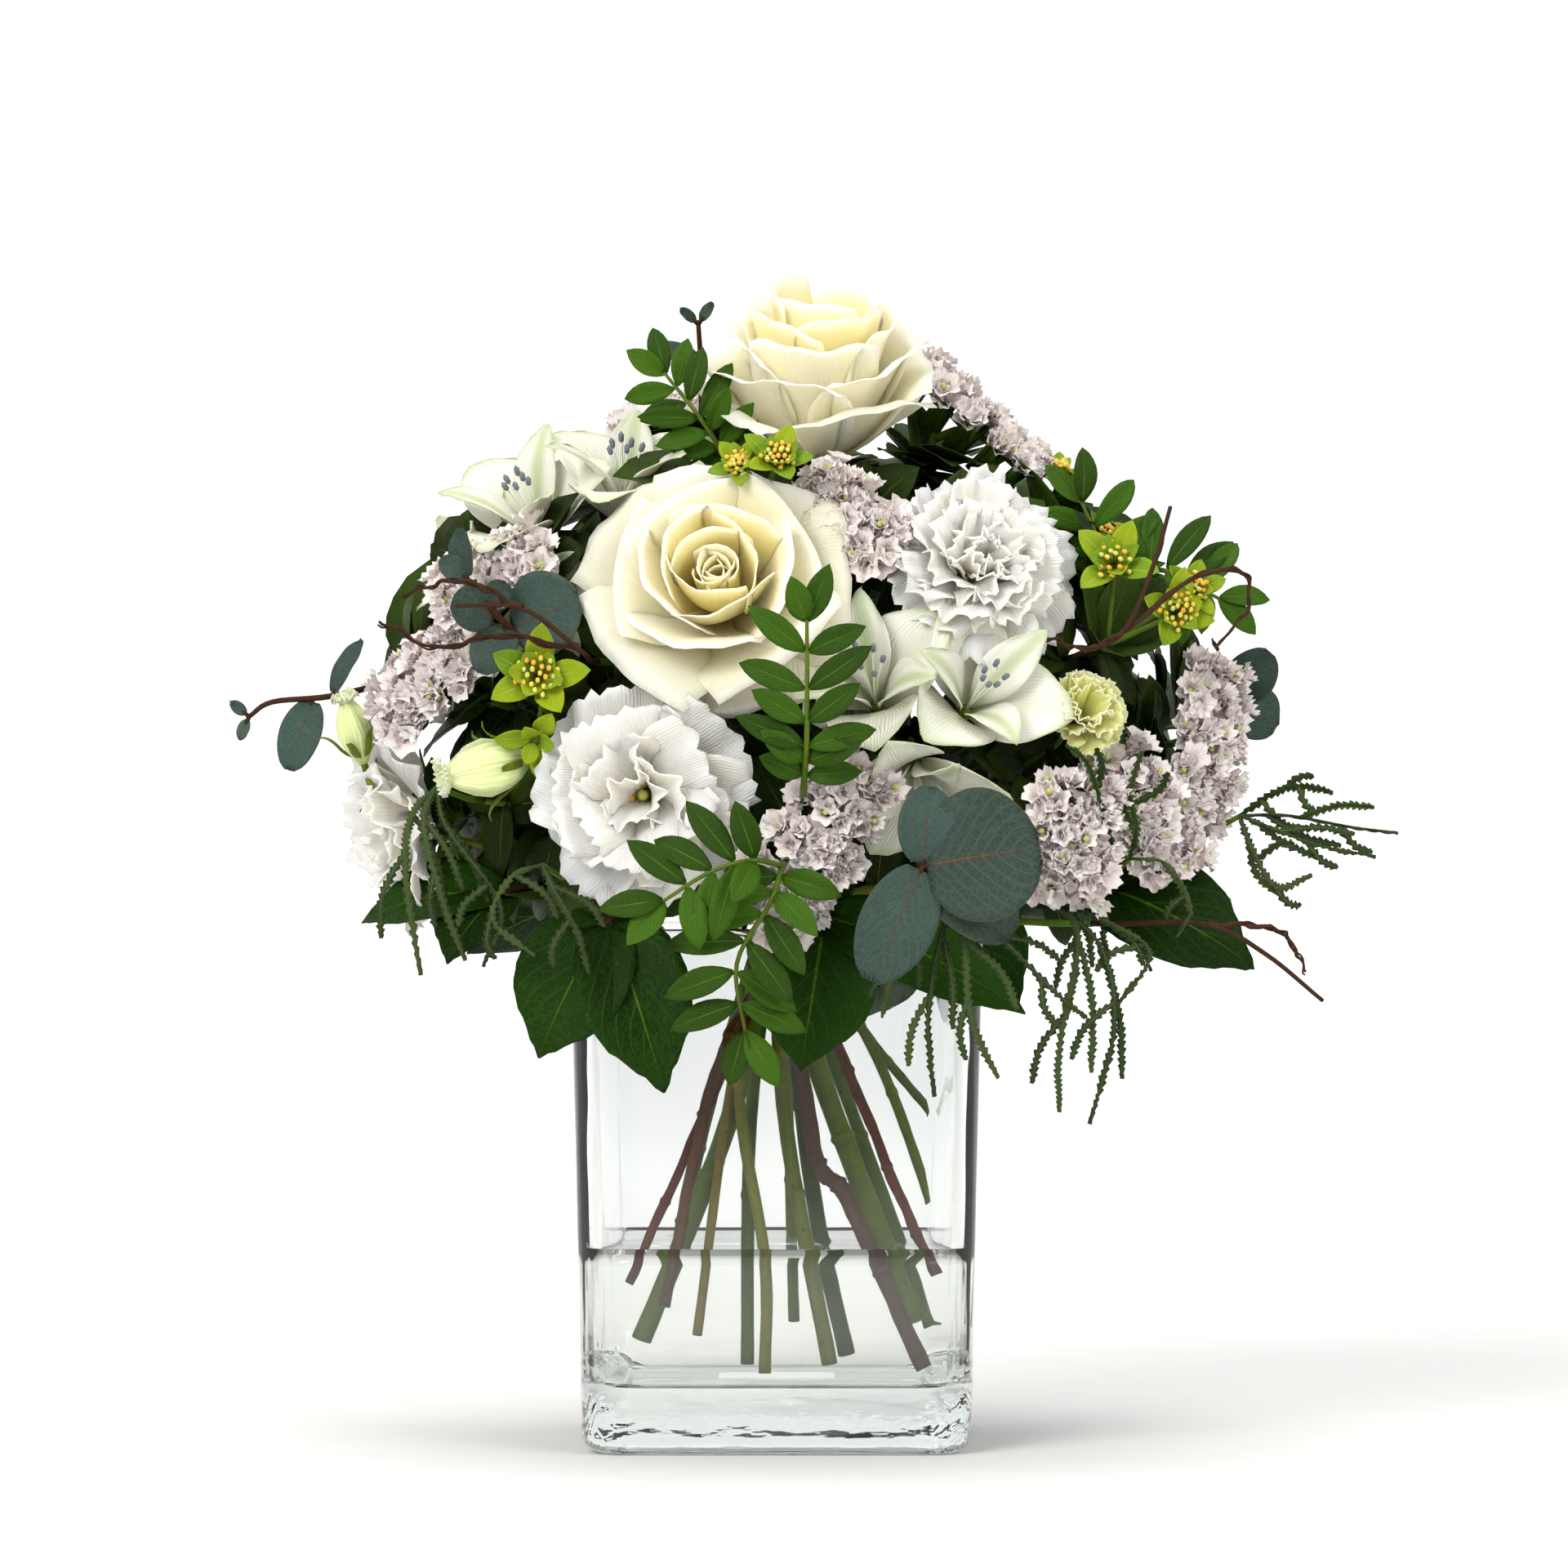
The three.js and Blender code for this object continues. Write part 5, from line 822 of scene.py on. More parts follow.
def stem_material(name, stops, rough=0.5, fibre=0.0004):
    """A stem or twig: its tone picks a colour, with fibres along it and small blemishes."""

    def wire(shader):
        _, _, tone = shader.blade()
        drawn = shader.put("ShaderNodeMapping", {"Vector": shader.place(), "Scale": (1.0, 1.0, 0.08)})
        fibres = shader.noise(900.0, 4.0, drawn.outputs[0])
        blotch = shader.noise(120.0, 5.0)
        pick = shader.plus(tone, shader.times(shader.minus(blotch, 0.5), 0.35))
        colour = shader.ramp(pick, stops)
        spots = shader.smooth(shader.noise(420.0, 2.0), 0.66, 0.74)
        colour = shader.mix(shader.times(spots, 0.5), colour, linear((0.25, 0.17, 0.09)))
        colour = shader.mix(shader.times(fibres, 0.35), colour, linear((0.12, 0.13, 0.05)), "MULTIPLY")
        return colour, shader.plus(rough, shader.times(blotch, 0.2)), fibres, fibre

    return finish_material(name, wire, Specular_IOR_Level=0.15)


def green_stalk():
    return stem_material("Green Stalk", [(0.0, (0.47, 0.38, 0.10)), (0.3, (0.46, 0.50, 0.15)),
                                         (0.6, (0.27, 0.40, 0.10)), (1.0, (0.08, 0.17, 0.04))])


# Painted light: a lighter copy of the Green Stalk colours, for the cut stems in the water, standing in for the lamp
# light that reaches them through the glass.
def lit_cut_stem():
    return stem_material("Cut Stem Painted Light", [(0.0, (0.62, 0.50, 0.16)), (0.3, (0.62, 0.62, 0.22)),
                                      (0.6, (0.47, 0.57, 0.15)), (1.0, (0.27, 0.40, 0.10))], rough=0.45)


def inner_leaf():
    return leaf_material("Inner Leaf", (0.19, 0.27, 0.05), (0.08, 0.12, 0.02), (0.32, 0.38, 0.14),
                         (0.22, 0.30, 0.08), pairs=9.0, midrib=0.06)


def cut_twig():
    return stem_material("Cut Twig", [(0.0, (0.42, 0.14, 0.13)), (0.35, (0.46, 0.30, 0.14)),
                                      (0.7, (0.44, 0.30, 0.22)), (1.0, (0.42, 0.32, 0.27))], rough=0.65, fibre=0.0008)


def bark():
    return stem_material("Bark", [(0.0, (0.20, 0.08, 0.06)), (0.35, (0.23, 0.13, 0.08)),
                                  (0.7, (0.29, 0.20, 0.13)), (1.0, (0.38, 0.31, 0.23))], rough=0.7, fibre=0.0008)


# ---- flowers ------------------------------------------------------------------------------------


def rose_petals(colours):
    return petal_material("Rose Petal", colours.rose, (0.96, 0.86, 0.38), (0.99, 0.975, 0.915),
                          (0.955, 0.93, 0.75), lines=26.0, line_depth=0.00012, line_tint=0.08, translucent=0.45)


def rose_heart():
    return petal_material("Rose Heart", (0.99, 0.94, 0.66), (0.98, 0.80, 0.28), (0.995, 0.975, 0.87),
                          (0.98, 0.91, 0.60), lines=26.0, line_depth=0.00012, line_tint=0.1, translucent=0.6)


def grow_rose(head, materials):
    """A rose: a furled heart and petals set round it by the golden angle, opening outwards."""
    growth, rand = begun(head)
    place = stand(head["at"], head["axis"], head["seed"] * 31)
    is_open, tall = head["open"], head["tall"]
    size = head["size"] * (1.05 if tall == 1 else 0.97)
    stub_of(growth, head)
    growth.turned(place, [(0, -4), (3.6, -3.4), (5.4, -0.5), (4.6, 3), (0, 5)], 12, skin=1)
    for i in range(5):
        growth.blade(place @ spun(i * FIFTH_TURN + 0.3), size * 0.55, size * 0.09, 8, 4, "lance", (92, 96, 140),
                     cup=(0.2, 0.1), arch=0, root=4.5, rise=-0.5, skin=1, tone=0.6)
    for i in range(9):
        f = i / 8
        growth.blade(place @ spun(i * 2.2), size * (0.54 + 0.14 * f) * tall, size * (0.17 + 0.08 * f), 9, 8, "petal",
                     (16 + 8 * f, 1 + 3 * f, -9 + 6 * f), cup=(1.7, 1.7), arch=0.1, twist=0.25, root=0.8 + 1.6 * f,
                     rise=7, lip=26 * f, tone=rand.random(), skin=2)
    count = int(head["petals"] * (1.4 if tall == 1 else 1.6))
    for i in range(count):
        f = i / (count - 1)
        last = -8 + 112 * f * f * is_open + rand.uniform(-6, 6)
        growth.blade(place @ spun(i * GOLDEN_ANGLE + rand.uniform(-0.12, 0.12)),
                     size * (0.78 * tall + (0.98 - 0.78 * tall) * f) * rand.uniform(0.95, 1.05),
                     size * (0.36 + 0.29 * f), 13, 12, "petal",
                     (40 + 42 * f * is_open, 6 + 46 * f * is_open, last * 0.8),
                     cup=(1.25 - 0.5 * f, 1.05 - 0.9 * f), arch=0.07 + 0.07 * rand.random(), twist=0.08,
                     root=2.2 + 1.4 * f, rise=8.5 - 8.5 * f, lip=24 + 62 * f, curl=0.06 + (0.34 * is_open - 0.08) * f,
                     ruffle=size * (0.012 + 0.03 * f), frill=size * 0.014 * (0.5 + f), waves=1.1,
                     phase=rand.uniform(0, 6), tone=rand.random(), skin=2 if i < count * 0.3 else 0)
    growth.finish_head(head, "_petals", materials, "rose_petal")


def grow_frilled(head, materials, slot):
    """A double lisianthus: rings of waved petals with frilled rims round a small open throat."""
    growth, rand = begun(head)
    place = stand(head["at"], head["axis"], head["seed"] * 47)
    size, rings = head["size"], head["rings"]
    frill = size * (0.04 if rings is BROAD else 0.05)
    stub_of(growth, head)
    growth.turned(place, [(0, -3), (3.0, -2.5), (4.0, 1), (3.2, 4), (0, 5)], 10, skin=1)
    for i in range(5):
        growth.blade(place @ spun(i * FIFTH_TURN), size * 0.62, size * 0.05, 8, 3, "lance", (62, 78, 96),
                     cup=(0.2, 0.1), arch=0, root=3, rise=-1, skin=1, tone=0.5)
    growth.turned(place, [(0, 0), (2.0, 1), (1.6, 7), (1.0, size * 0.26), (1.9, size * 0.30), (0, size * 0.33)], 10,
                  skin=2, tone=0.2)
    for i in range(7):
        turn = i * 0.9
        foot = np.array([math.cos(turn) * 1.8, math.sin(turn) * 1.8, 3, 1])
        top = np.array([math.cos(turn) * size * 0.10, math.sin(turn) * size * 0.10, size * 0.27, 1])
        growth.rod([(place @ foot)[:3], (place @ top)[:3]], [0.3, 0.3], 5, skin=2, tone=0.4)
        growth.turned(place @ np.array(Matrix.Translation(top[:3])), [(0, -1.8), (1.3, -0.8), (1.1, 1.2), (0, 2.0)], 6,
                      skin=2, tone=0.9)
    for ring, (count, tilt, reach) in enumerate(rings):
        breadth = 2 + 0.72 * size * reach * math.sin(math.radians(tilt))
        for i in range(count):
            turn = (i + ring * 0.5) / count * 2 * math.pi + rand.uniform(-0.15, 0.15)
            lean = rand.uniform(-6, 6)
            growth.blade(place @ spun(turn), size * reach * rand.uniform(0.92, 1.05),
                         min(1.32 * math.pi * breadth / count, size * 0.56), 12, 18, "petal",
                         (tilt * 0.6, tilt * 0.85 + lean, tilt * 1.15 + lean * 1.5),
                         cup=(0.7, -0.1), arch=0.12, twist=0.22, ruffle=size * 0.08, waves=1.4,
                         frill=frill, phase=rand.uniform(0, 6), root=1.9,
                         rise=6.0 - 1.1 * ring, lip=rand.uniform(-8, 26), fringe=0.07, tone=rand.random())
    growth.finish_head(head, "_petals", materials, slot)


def grow_bud(head, materials):
    """A closed bud with swirled pleats and thin curled sepals."""
    growth, rand = begun(head)
    place = stand(head["at"], head["axis"], head["seed"] * 40)
    size, width = head["size"], head["width"]
    stub_of(growth, head)
    growth.turned(place, [(0, -2.5), (1.6, -2), (width * 0.6, size * 0.08), (width * 0.86, size * 0.24),
                          (width, size * 0.45), (width * 0.86, size * 0.64), (width * 0.6, size * 0.8),
                          (width * 0.34, size * 0.94), (width * 0.2, size), (0, size * 0.98)], 30,
                  pleats=5, depth=0.22, swirl=3.8, tone=0.5)
    for i in range(5):
        growth.blade(place @ spun(i * FIFTH_TURN + rand.uniform(-0.3, 0.3)), size * rand.uniform(0.65, 0.9), 1.4, 10, 3,
                     "lance", (70, 24, 62), cup=(0.2, 0), arch=0, root=1.4, skin=1, lip=rand.uniform(20, 90),
                     tone=0.35)
    for i in range(4):
        growth.blade(place @ spun(i * 1.7), size * 0.36, width * 0.42, 7, 10, "petal", (20, 30, 76), cup=(0.9, 0.2),
                     root=width * 0.1, rise=size * 0.78, frill=1.5, waves=1.6, phase=i, fringe=0.12, tone=0.1)
    growth.finish_head(head, "_petals", materials, "lime_petal")


def grow_trumpets(head, materials):
    """A branching head of trumpet flowers, each with three broad and three narrow petals and stamens."""
    growth, rand = begun(head)
    stub_of(growth, head)
    for bloom in head["blooms"]:
        size = bloom["size"]
        place = stand(bloom["at"], bloom["axis"], bloom["roll"])
        out, foot = unit(bloom["axis"]), np.array(bloom["at"], float)
        stalk = smooth_line([head["at"], foot - out * 9, foot + out * 2], 10)
        growth.rod(stalk, [1.3, 1.2, 1.6], 8, skin=1, tone=0.5)
        growth.turned(place, [(0, -4), (1.6, -3.5), (2.6, 0), (2.4, 4), (0, 6)], 12, skin=1, tone=0.4)
        for i in range(6):
            broad = i % 2 == 0
            tilt = (28, 48, 84 + rand.uniform(-8, 8)) if broad else (18, 34, 66 + rand.uniform(-8, 8))
            growth.blade(place @ spun(i / 6 * 2 * math.pi + rand.uniform(-0.08, 0.08)),
                         size * (1 if broad else 0.97) * rand.uniform(0.96, 1.05), size * (0.38 if broad else 0.20),
                         14, 8, "spoon", tilt, cup=(0.7, 0.25) if broad else (0.9, 0.3), arch=0.24, power=1.4,
                         root=1.5, rise=1 if broad else 3, twist=0.1, lip=16, frill=size * 0.01, waves=1.3,
                         phase=rand.uniform(0, 6), skin=0 if broad else 2, tone=rand.random())
        for i in range(6):
            turn = i * 1.05 + 0.4
            lean = 0.03 + rand.uniform(0, 0.05)
            line = [(math.cos(turn) * size * lean * 2 * u**1.6, math.sin(turn) * size * lean * 2 * u**1.6,
                     3 + size * 0.66 * u, 1) for u in (0, 0.3, 0.6, 0.85, 1)]
            points = [(place @ np.array(p))[:3] for p in line]
            growth.rod(points, [0.42, 0.3], 5, skin=3, tone=0.1)
            growth.turned(stand(points[-1], points[-1] - points[-2] + out * 0.4),
                          [(0, -2.2), (0.9, -1.4), (1.0, 0.8), (0, 2.2)], 8, skin=3, tone=0.9)
    growth.finish_head(head, "_blooms", materials, "alstroemeria_petal")


def grow_statice(head, materials):
    """A papery spike: small pleated funnels crowded along a stalk and a side stalk."""
    growth, rand = begun(head)
    path = smooth_line(head["path"], 4)
    face, start = unit(head["face"]), path[0]
    along = path[4] - start
    side = unit(np.cross(along, face))
    stub_of(growth, head)
    growth.rod(smooth_line([head["at"], path[2] - face * 2, path[4]], 10), [head["thick"], 1.2, 0.8], 8, skin=1)
    growth.rod(smooth_line([path[2] - face * 3, path[1] - face * 2, path[0]], 8), [1.2, 0.8], 8, skin=1)
    count = int(head["florets"] * 9)
    for i in range(count):
        s = (i + 0.5) / count
        lean = (i * 0.618) % 1 * 2 - 1
        p = start + along * s
        p = (p + path[int(round(s * 4))]) / 2 + side * lean * head["breadth"] * 0.62
        axis = unit(face + side * (lean * 0.9 + rand.uniform(-0.3, 0.3)) + unit(along) * ((s - 0.5) * 1.2
                                                                                     + rand.uniform(-0.5, 0.5)))
        reach = 9.5 + rand.uniform(-3.4, 1.8)
        flare = 4.1 + rand.uniform(-1.0, 1.2)
        foot = p - side * lean * head["breadth"] * 0.45 - face * 2
        place = stand(p + axis * (reach - 6.5), axis, rand.uniform(0, 360))
        growth.rod([foot - face * 8 - unit(axis) * 2, foot - face * 2, p + axis * (reach - 6.4)], [1.5, 1.3, 0.8], 5,
                   skin=1, tone=0.6)
        turn = rand.uniform(0, 6)

        def funnel(u, t, place=place, flare=flare, turn=turn, open_share=rand.uniform(0.75, 1.15)):
            a = t * np.pi
            r = 0.7 + (flare - 0.7) * u**1.4 * open_share * (1 + 0.20 * u * np.cos(a * FUNNEL_PLEATS + turn))
            z = 6.4 * u**0.7 + 1.0 * u**2 * np.cos(a * FUNNEL_PLEATS * 2 + turn)
            return placed(place, np.cos(a) * r, np.sin(a) * r, z)

        growth.sheet(4, 20, funnel, tone=rand.random(), wrap=True)
        if rand.random() < 0.18:
            growth.turned(place, [(0, 2.5), (0.8, 3.2), (1.1, 5.2), (0, 6.0)], 6, tone=0.0, skin=2)
    growth.finish_head(head, "_florets", materials, "statice_floret")


# ---- leaves -------------------------------------------------------------------------------------


def leaf(growth, foot, tip, face, width, **shape):
    """One leaf from its foot to its tip."""
    foot, tip = np.array(foot, float), np.array(tip, float)
    wanted = dict(rows=10, cols=8, outline="lance", tilt=(-8, 0, 9), cup=(0.25, 0.2), arch=0.0, thin=0.3)
    wanted.update(shape)
    growth.blade(lay(foot, tip - foot, face), np.linalg.norm(tip - foot) * 1.02, width, **wanted)


def stalk_of(growth, head, path, radii, skin=1):
    """The stalk of a twig or spray, from the foot of its stub along a path."""
    growth.rod([foot_of(head), *smooth_line([head["at"], *path], 5 * len(path) + 3)], radii, 8, skin=skin)


def grow_leafy(head, materials, slot, shape):
    """A leafy twig: each leaf is foot, tip, face and half width."""
    growth, rand = begun(head, "name")
    stalk_of(growth, head, head["path"], head.get("radii", [1.5, 0.9]))
    for foot, tip, face, width in head["leaves"]:
        near = nearest_on([head["at"], *head["path"]], foot)
        run = unit(np.array(tip, float) - near)
        growth.rod([near, near + run * 3], [0.9, 0.7], 6, skin=1)
        leaf(growth, near + run * 1.5, tip, face, width, tone=rand.random(), phase=rand.uniform(0, 6),
             twist=rand.uniform(-0.06, 0.06), **shape)
    growth.finish_head(head, "_leaves", materials, slot)


def leaflets(growth, head, path, pairs, start, rand):
    """Pairs of narrow leaflets along a stalk, and two at its end."""
    face = unit(head["face"])
    line = smooth_line([head["at"], *path], 60)
    pairs = int(pairs * 1.6)
    for i in range(pairs + 1):
        share = start + (1 - start) * i / pairs
        k = min(int(share * 60), 58)
        p, along = line[k], unit(line[k + 1] - line[k])
        side = unit(np.cross(along, face))
        for hand in ((0.35, -0.35) if i == pairs else (1, -1)):
            lean = 0.9 if i == pairs else 0.5 + rand.uniform(-0.25, 0.3)
            out = unit(side * hand + along * lean + face * (0.15 + rand.uniform(-0.3, 0.3)))
            length = head["leaf"] * (0.86 + 0.2 * math.sin(i / pairs * math.pi)) * rand.uniform(0.85, 1.12)
            look = face + side * hand * 0.3
            growth.rod([p, p + out * 1.6], [0.45, 0.4], 5, skin=1)
            leaf(growth, p + out, p + out * length, look, head["leaf"] * 0.195, rows=8, cols=4, tone=rand.random(),
                 tilt=(-10, 2, 20 + rand.uniform(-22, 22)), fold=0.22, twist=rand.uniform(-0.2, 0.2))


def grow_pinnate(head, materials):
    """A pinnate spray, some with a second stalk."""
    growth, rand = begun(head)
    stalk_of(growth, head, head["path"], [1.2, 0.6])
    leaflets(growth, head, head["path"], head["pairs"], head["start"], rand)
    if "second" in head:
        second = head["second"]
        growth.rod(smooth_line([head["at"], *second["path"]], 14), [1.0, 0.6], 8, skin=1)
        leaflets(growth, head, second["path"], second["pairs"], 0.3, rand)
    growth.finish_head(head, "_leaflets", materials, "pistacia_leaf")


def grow_stars(head, materials):
    """Stars of pointed bracts, each with a crowd of small round florets."""
    growth, rand = begun(head)
    stalk_of(growth, head, [head["stars"][0]["at"]], [1.1, 0.8])
    for index, star in enumerate(head["stars"]):
        place = stand(star["at"], star["axis"], index * 50)
        size = star["size"]
        if index:
            growth.rod(smooth_line([head["at"], star["at"]], 6), [0.9, 0.7], 8, skin=1)
        growth.turned(place, [(0, -2.5), (1.4, -2), (2.2, 0.6), (0, 1.6)], 8, skin=1)
        for ring in range(2):
            for i in range(star["bracts"]):
                turn = (i + ring * 0.5) / star["bracts"] * 2 * math.pi + rand.uniform(-0.2, 0.2)
                growth.blade(place @ spun(turn), size * (1 - 0.36 * ring) * rand.uniform(0.85, 1.12),
                             size * (0.30 - 0.06 * ring), 9, 6, "lance",
                             (72 - 22 * ring, 62 - 22 * ring, 74 - 20 * ring + rand.uniform(-14, 14)),
                             cup=(0.5, 0.2), arch=0, root=1.4, rise=0.8 * ring, fold=0.15, tone=rand.random())
        for i in range(star["florets"] * 9):
            turn = i * GOLDEN_ANGLE
            r = size * 0.46 * math.sqrt((i + 0.5) / (star["florets"] * 9))
            h = size * (0.44 - 0.14 * (r / (size * 0.46)) ** 2) + rand.uniform(-1.2, 1.2)
            foot = place @ np.array([0, 0, 0.8, 1])
            top = place @ np.array([math.cos(turn) * r, math.sin(turn) * r, h, 1])
            growth.rod([foot[:3], top[:3]], [0.22, 0.2], 4, skin=1, tone=0.3)
            growth.turned(place @ np.array(Matrix.Translation((math.cos(turn) * r, math.sin(turn) * r, h))),
                          [(0, -1.0), (0.85, -0.5), (0.95, 0.3), (0.5, 0.8), (0, 0.7)], 7, skin=2, pleats=5,
                          depth=0.3, tone=rand.random())
    growth.finish_head(head, "_bracts", materials, "bupleurum_bract")


def forked(head, rand):
    """The main strands of a fern, and two side strands that leave each of them."""
    out, far = [], head["name"] == "fern_far_right"
    for path in head["strands"]:
        main = smooth_line([head["fork"], *path], 30)
        out.append([head["fork"], *path])
        for k, hand in ((6, -1), (12, 1), (18, -1)) if far else ((9, 1), (17, -1)):
            run = main[29] - main[k]
            side = unit(np.cross(run, (0, 1, 0))) * hand * rand.uniform(5, 12)
            share = rand.uniform(0.55, 0.8)
            out.append([main[k], main[k] + run * share * 0.5 + side * 0.8, main[k] + run * share + side])
    return out


def grow_fern(head, materials):
    """Flat strands whose edges are cut into small teeth, forking from one stalk."""
    growth, rand = begun(head, "name")
    stalk_of(growth, head, [head["fork"]], [1.1, 0.9])
    for path in forked(head, rand):
        line = smooth_line(path, STRAND_STEPS)
        length = float(np.linalg.norm(np.diff(line, axis=0), axis=1).sum())
        tangent = np.gradient(line, axis=0)
        tangent /= np.linalg.norm(tangent, axis=1)[:, None]
        side, sides = np.array([1.0, 0.0, 0.0]), []
        for t in tangent:
            side = side - t * side.dot(t)
            if np.linalg.norm(side) < 0.2:
                side = np.array([0.0, 0.0, 1.0]) - t * t[2]
            side = unit(side)
            sides.append(side)
        sides = np.array(sides)
        ups = np.cross(tangent, sides)
        teeth = int(length / TOOTH)

        def ribbon(u, t, line=line, sides=sides, ups=ups, teeth=teeth, sway=rand.uniform(0, 6)):
            k = np.clip(np.rint(u * STRAND_STEPS).astype(int), 0, STRAND_STEPS)
            tooth = np.abs((u * teeth + 0.5 * (t > 0)) % 1.0)
            reach = 0.3 + 1.25 * (1 - tooth) ** 1.3 * np.minimum(1, (1.02 - u) * 6) * np.minimum(1, u * 8 + 0.1)
            bow = 0.35 * np.cos(t * 2) + 0.4 * np.sin(u * 30 + sway) * t
            return line[k] + sides[k] * (t * reach)[:, None] + ups[k] * bow[:, None]

        growth.sheet(teeth * 4, 4, ribbon, tone=rand.random(), thin=0.4)
        growth.rod(line[::STRAND_STEPS // 20], [0.38, 0.18], 5, skin=1, tone=0.9)
    growth.finish_head(head, "_strands", materials, "coral_fern")


def grow_vine(head, materials):
    """Thin woody vine with side shoots and a few loose curls."""
    growth, rand = begun(head, "name")
    stalk_of(growth, head, head["path"], [1.0, 0.7], skin=0)
    for twig in head["twigs"]:
        line = smooth_line(twig, 40)
        for k in range(1, 40):
            line[k] += np.array([math.sin(k * 0.9), math.cos(k * 1.3), math.sin(k * 0.7 + 2)]) * 0.5
        growth.rod(line, [1.0, 0.45], 7, tone=rand.random() * 0.6, wobble=0.14)
        turn = np.arange(41) * 0.55
        round_it = np.stack([np.cos(turn) * 0.4, np.sin(turn), np.cos(turn)], 1) * 1.1
        growth.rod(line + round_it, [0.6, 0.35], 5, tone=rand.random() * 0.6, wobble=0.1)
    growth.finish_head(head, "_bark", materials, "vine_bark")


# ---- stems --------------------------------------------------------------------------------------


def shoot_of(head):
    """A shoot from the tie to the foot of one head."""
    foot, tie = foot_of(head), np.array(TIE, float)
    return [tie, foot - unit(head["axis"]) * min(np.linalg.norm(foot - tie) * 0.25, 18), foot]


def fill_with_leaves(growth, rand):
    """Dark inner leaves: each tip lies just inside the flowers and its foot on the nearest shoot."""
    shoots = [shoot_of(head) for head in HEADS]
    middle, reach = np.array(FILL_MIDDLE), np.array(FILL_REACH)
    for i in range(FILL_COUNT):
        z = 1 - 2 * (i + 0.5) / FILL_COUNT
        turn = i * GOLDEN_ANGLE
        out = np.array([math.cos(turn) * math.sqrt(1 - z * z), math.sin(turn) * math.sqrt(1 - z * z), z])
        out = np.sign(out) * np.abs(out) ** 0.78
        tip = middle + reach * out * rand.uniform(0.68, 0.97)
        if tip[2] < FILL_LOW:
            continue
        foot = min((nearest_on(shoot, tip) for shoot in shoots), key=lambda p: np.linalg.norm(p - tip))
        run = tip - foot
        length = np.linalg.norm(run)
        run = unit(run + out * 0.6 + np.array([0, 0, 0.2]))
        length = min(max(length, 24), 44)
        leaf(growth, foot, foot + run * length, unit(out + np.array([0, -0.2, 0.5])), length * 0.31, rows=7, cols=4,
             skin=1, tone=rand.random(), fold=0.14, lip=24, twist=rand.uniform(-0.3, 0.3))


def build_green_stems(materials):
    """The cut stems with their nodes, a shoot to every head, and the leaves on the shoots."""
    growth, rand = Growth(), random.Random(5)
    growth.rod(smooth_line([(0, 4, 174), (0, 4, 184), (0, 4, 196)], 8), [8, 10, 7], 16, tone=0.7, wobble=0.1)
    for radius, tone, path in GREEN_STEMS:
        line = smooth_line(path, 26)
        # Slot 2 holds the lighter copy of the stalk colours: painted light on the stems in the water.
        growth.rod(line, [radius * 0.95, radius, radius * 1.03], 12, tone=tone, skin=2, wobble=0.02)
        for k in (9, 17):
            bump = line[k] - line[k - 1]
            growth.turned(stand(line[k], bump), [(0, -2.2), (radius * 1.03, -1.6), (radius * 1.22, 0),
                                                 (radius * 1.04, 1.6), (0, 2.2)], 12, tone=tone * 0.9, skin=2)
    for head in HEADS:
        low, high, foot = shoot_of(head)
        line = [low + (high - low) * u for u in np.linspace(0, 1, 7)] + [foot]
        growth.rod(line, [head["thick"]], 8, tone=0.55 + rand.uniform(-0.25, 0.3))
    for owner, share, along, length, width in STEM_LEAVES:
        low, high, _ = shoot_of(next(h for h in HEADS if h["name"] == owner))
        foot = low + (high - low) * share
        out = unit(along)
        leaf(growth, foot, foot + out * length, (out[0] * 0.3, out[1] * 0.3, 1), width, rows=12, cols=8, skin=1,
             tone=rand.random(), fold=0.12, lip=20)
    fill_with_leaves(growth, rand)
    growth.finish("stems_green_bundle", materials, "stems_green", "stem")


def build_brown_stems(materials):
    """The crooked twigs in front of the green stems, with their knots."""
    growth = Growth()
    growth.rod([(2, -20, 165), (2, -20, 171), (2, -20, 176)], [4.5, 4.6, 4.3], 12, tone=0.6, wobble=0.08)
    for radius, tone, path in TWIG_STEMS:
        line = smooth_line(path, 40)
        for k in range(1, 40):
            line[k] += np.array([math.sin(k * 0.8 + radius * 9), math.cos(k * 0.6), 0]) * 0.25
        growth.rod(line, [radius], 10, tone=tone, wobble=0.05)
        for k in range(6, 38, 9):
            growth.turned(stand(line[k], line[k + 1] - line[k]), [(0, -1.8), (radius * 1.02, -1.4), (radius * 1.28, 0),
                                                                  (radius * 1.02, 1.2), (0, 1.8)], 10, tone=tone)
    growth.finish("stems_brown_twigs", materials, "stems_brown", "twig")


# ---- vase and water -----------------------------------------------------------------------------


def square_ring(half, corner, turn):
    """A point of a rounded square at a turn round it: equal steps on the corners and on the sides."""
    u = (turn / (2 * np.pi) * 4) % 4
    quarter = np.floor(u)
    v = u - quarter
    arc = np.clip((v - 0.25) / 0.5, 0, 1) * np.pi / 2
    straight = half - corner
    x = straight + np.cos(arc) * corner
    y = straight + np.sin(arc) * corner
    y = np.where(v < 0.25, straight * (v / 0.25), y)
    x = np.where(v < 0.25, half, x)
    x = np.where(v > 0.75, straight * (1 - v) / 0.25, x)
    y = np.where(v > 0.75, half, y)
    c, s = np.cos(quarter * np.pi / 2), np.sin(quarter * np.pi / 2)
    return x * c - y * s, x * s + y * c


def square_shell(growth, rings):
    """A closed shell lofted through rounded squares given as (half width, corner, height)."""
    rings = np.array(rings, float)
    rows = len(rings) - 1

    def lofted(along, across):
        i = np.rint(along * rows).astype(int)
        x, y = square_ring(rings[i, 0], rings[i, 1], (across + 1) * np.pi)
        return np.stack([x, y, rings[i, 2]], 1)

    growth.sheet(rows, SHELL_SIDES, lofted, wrap=True)


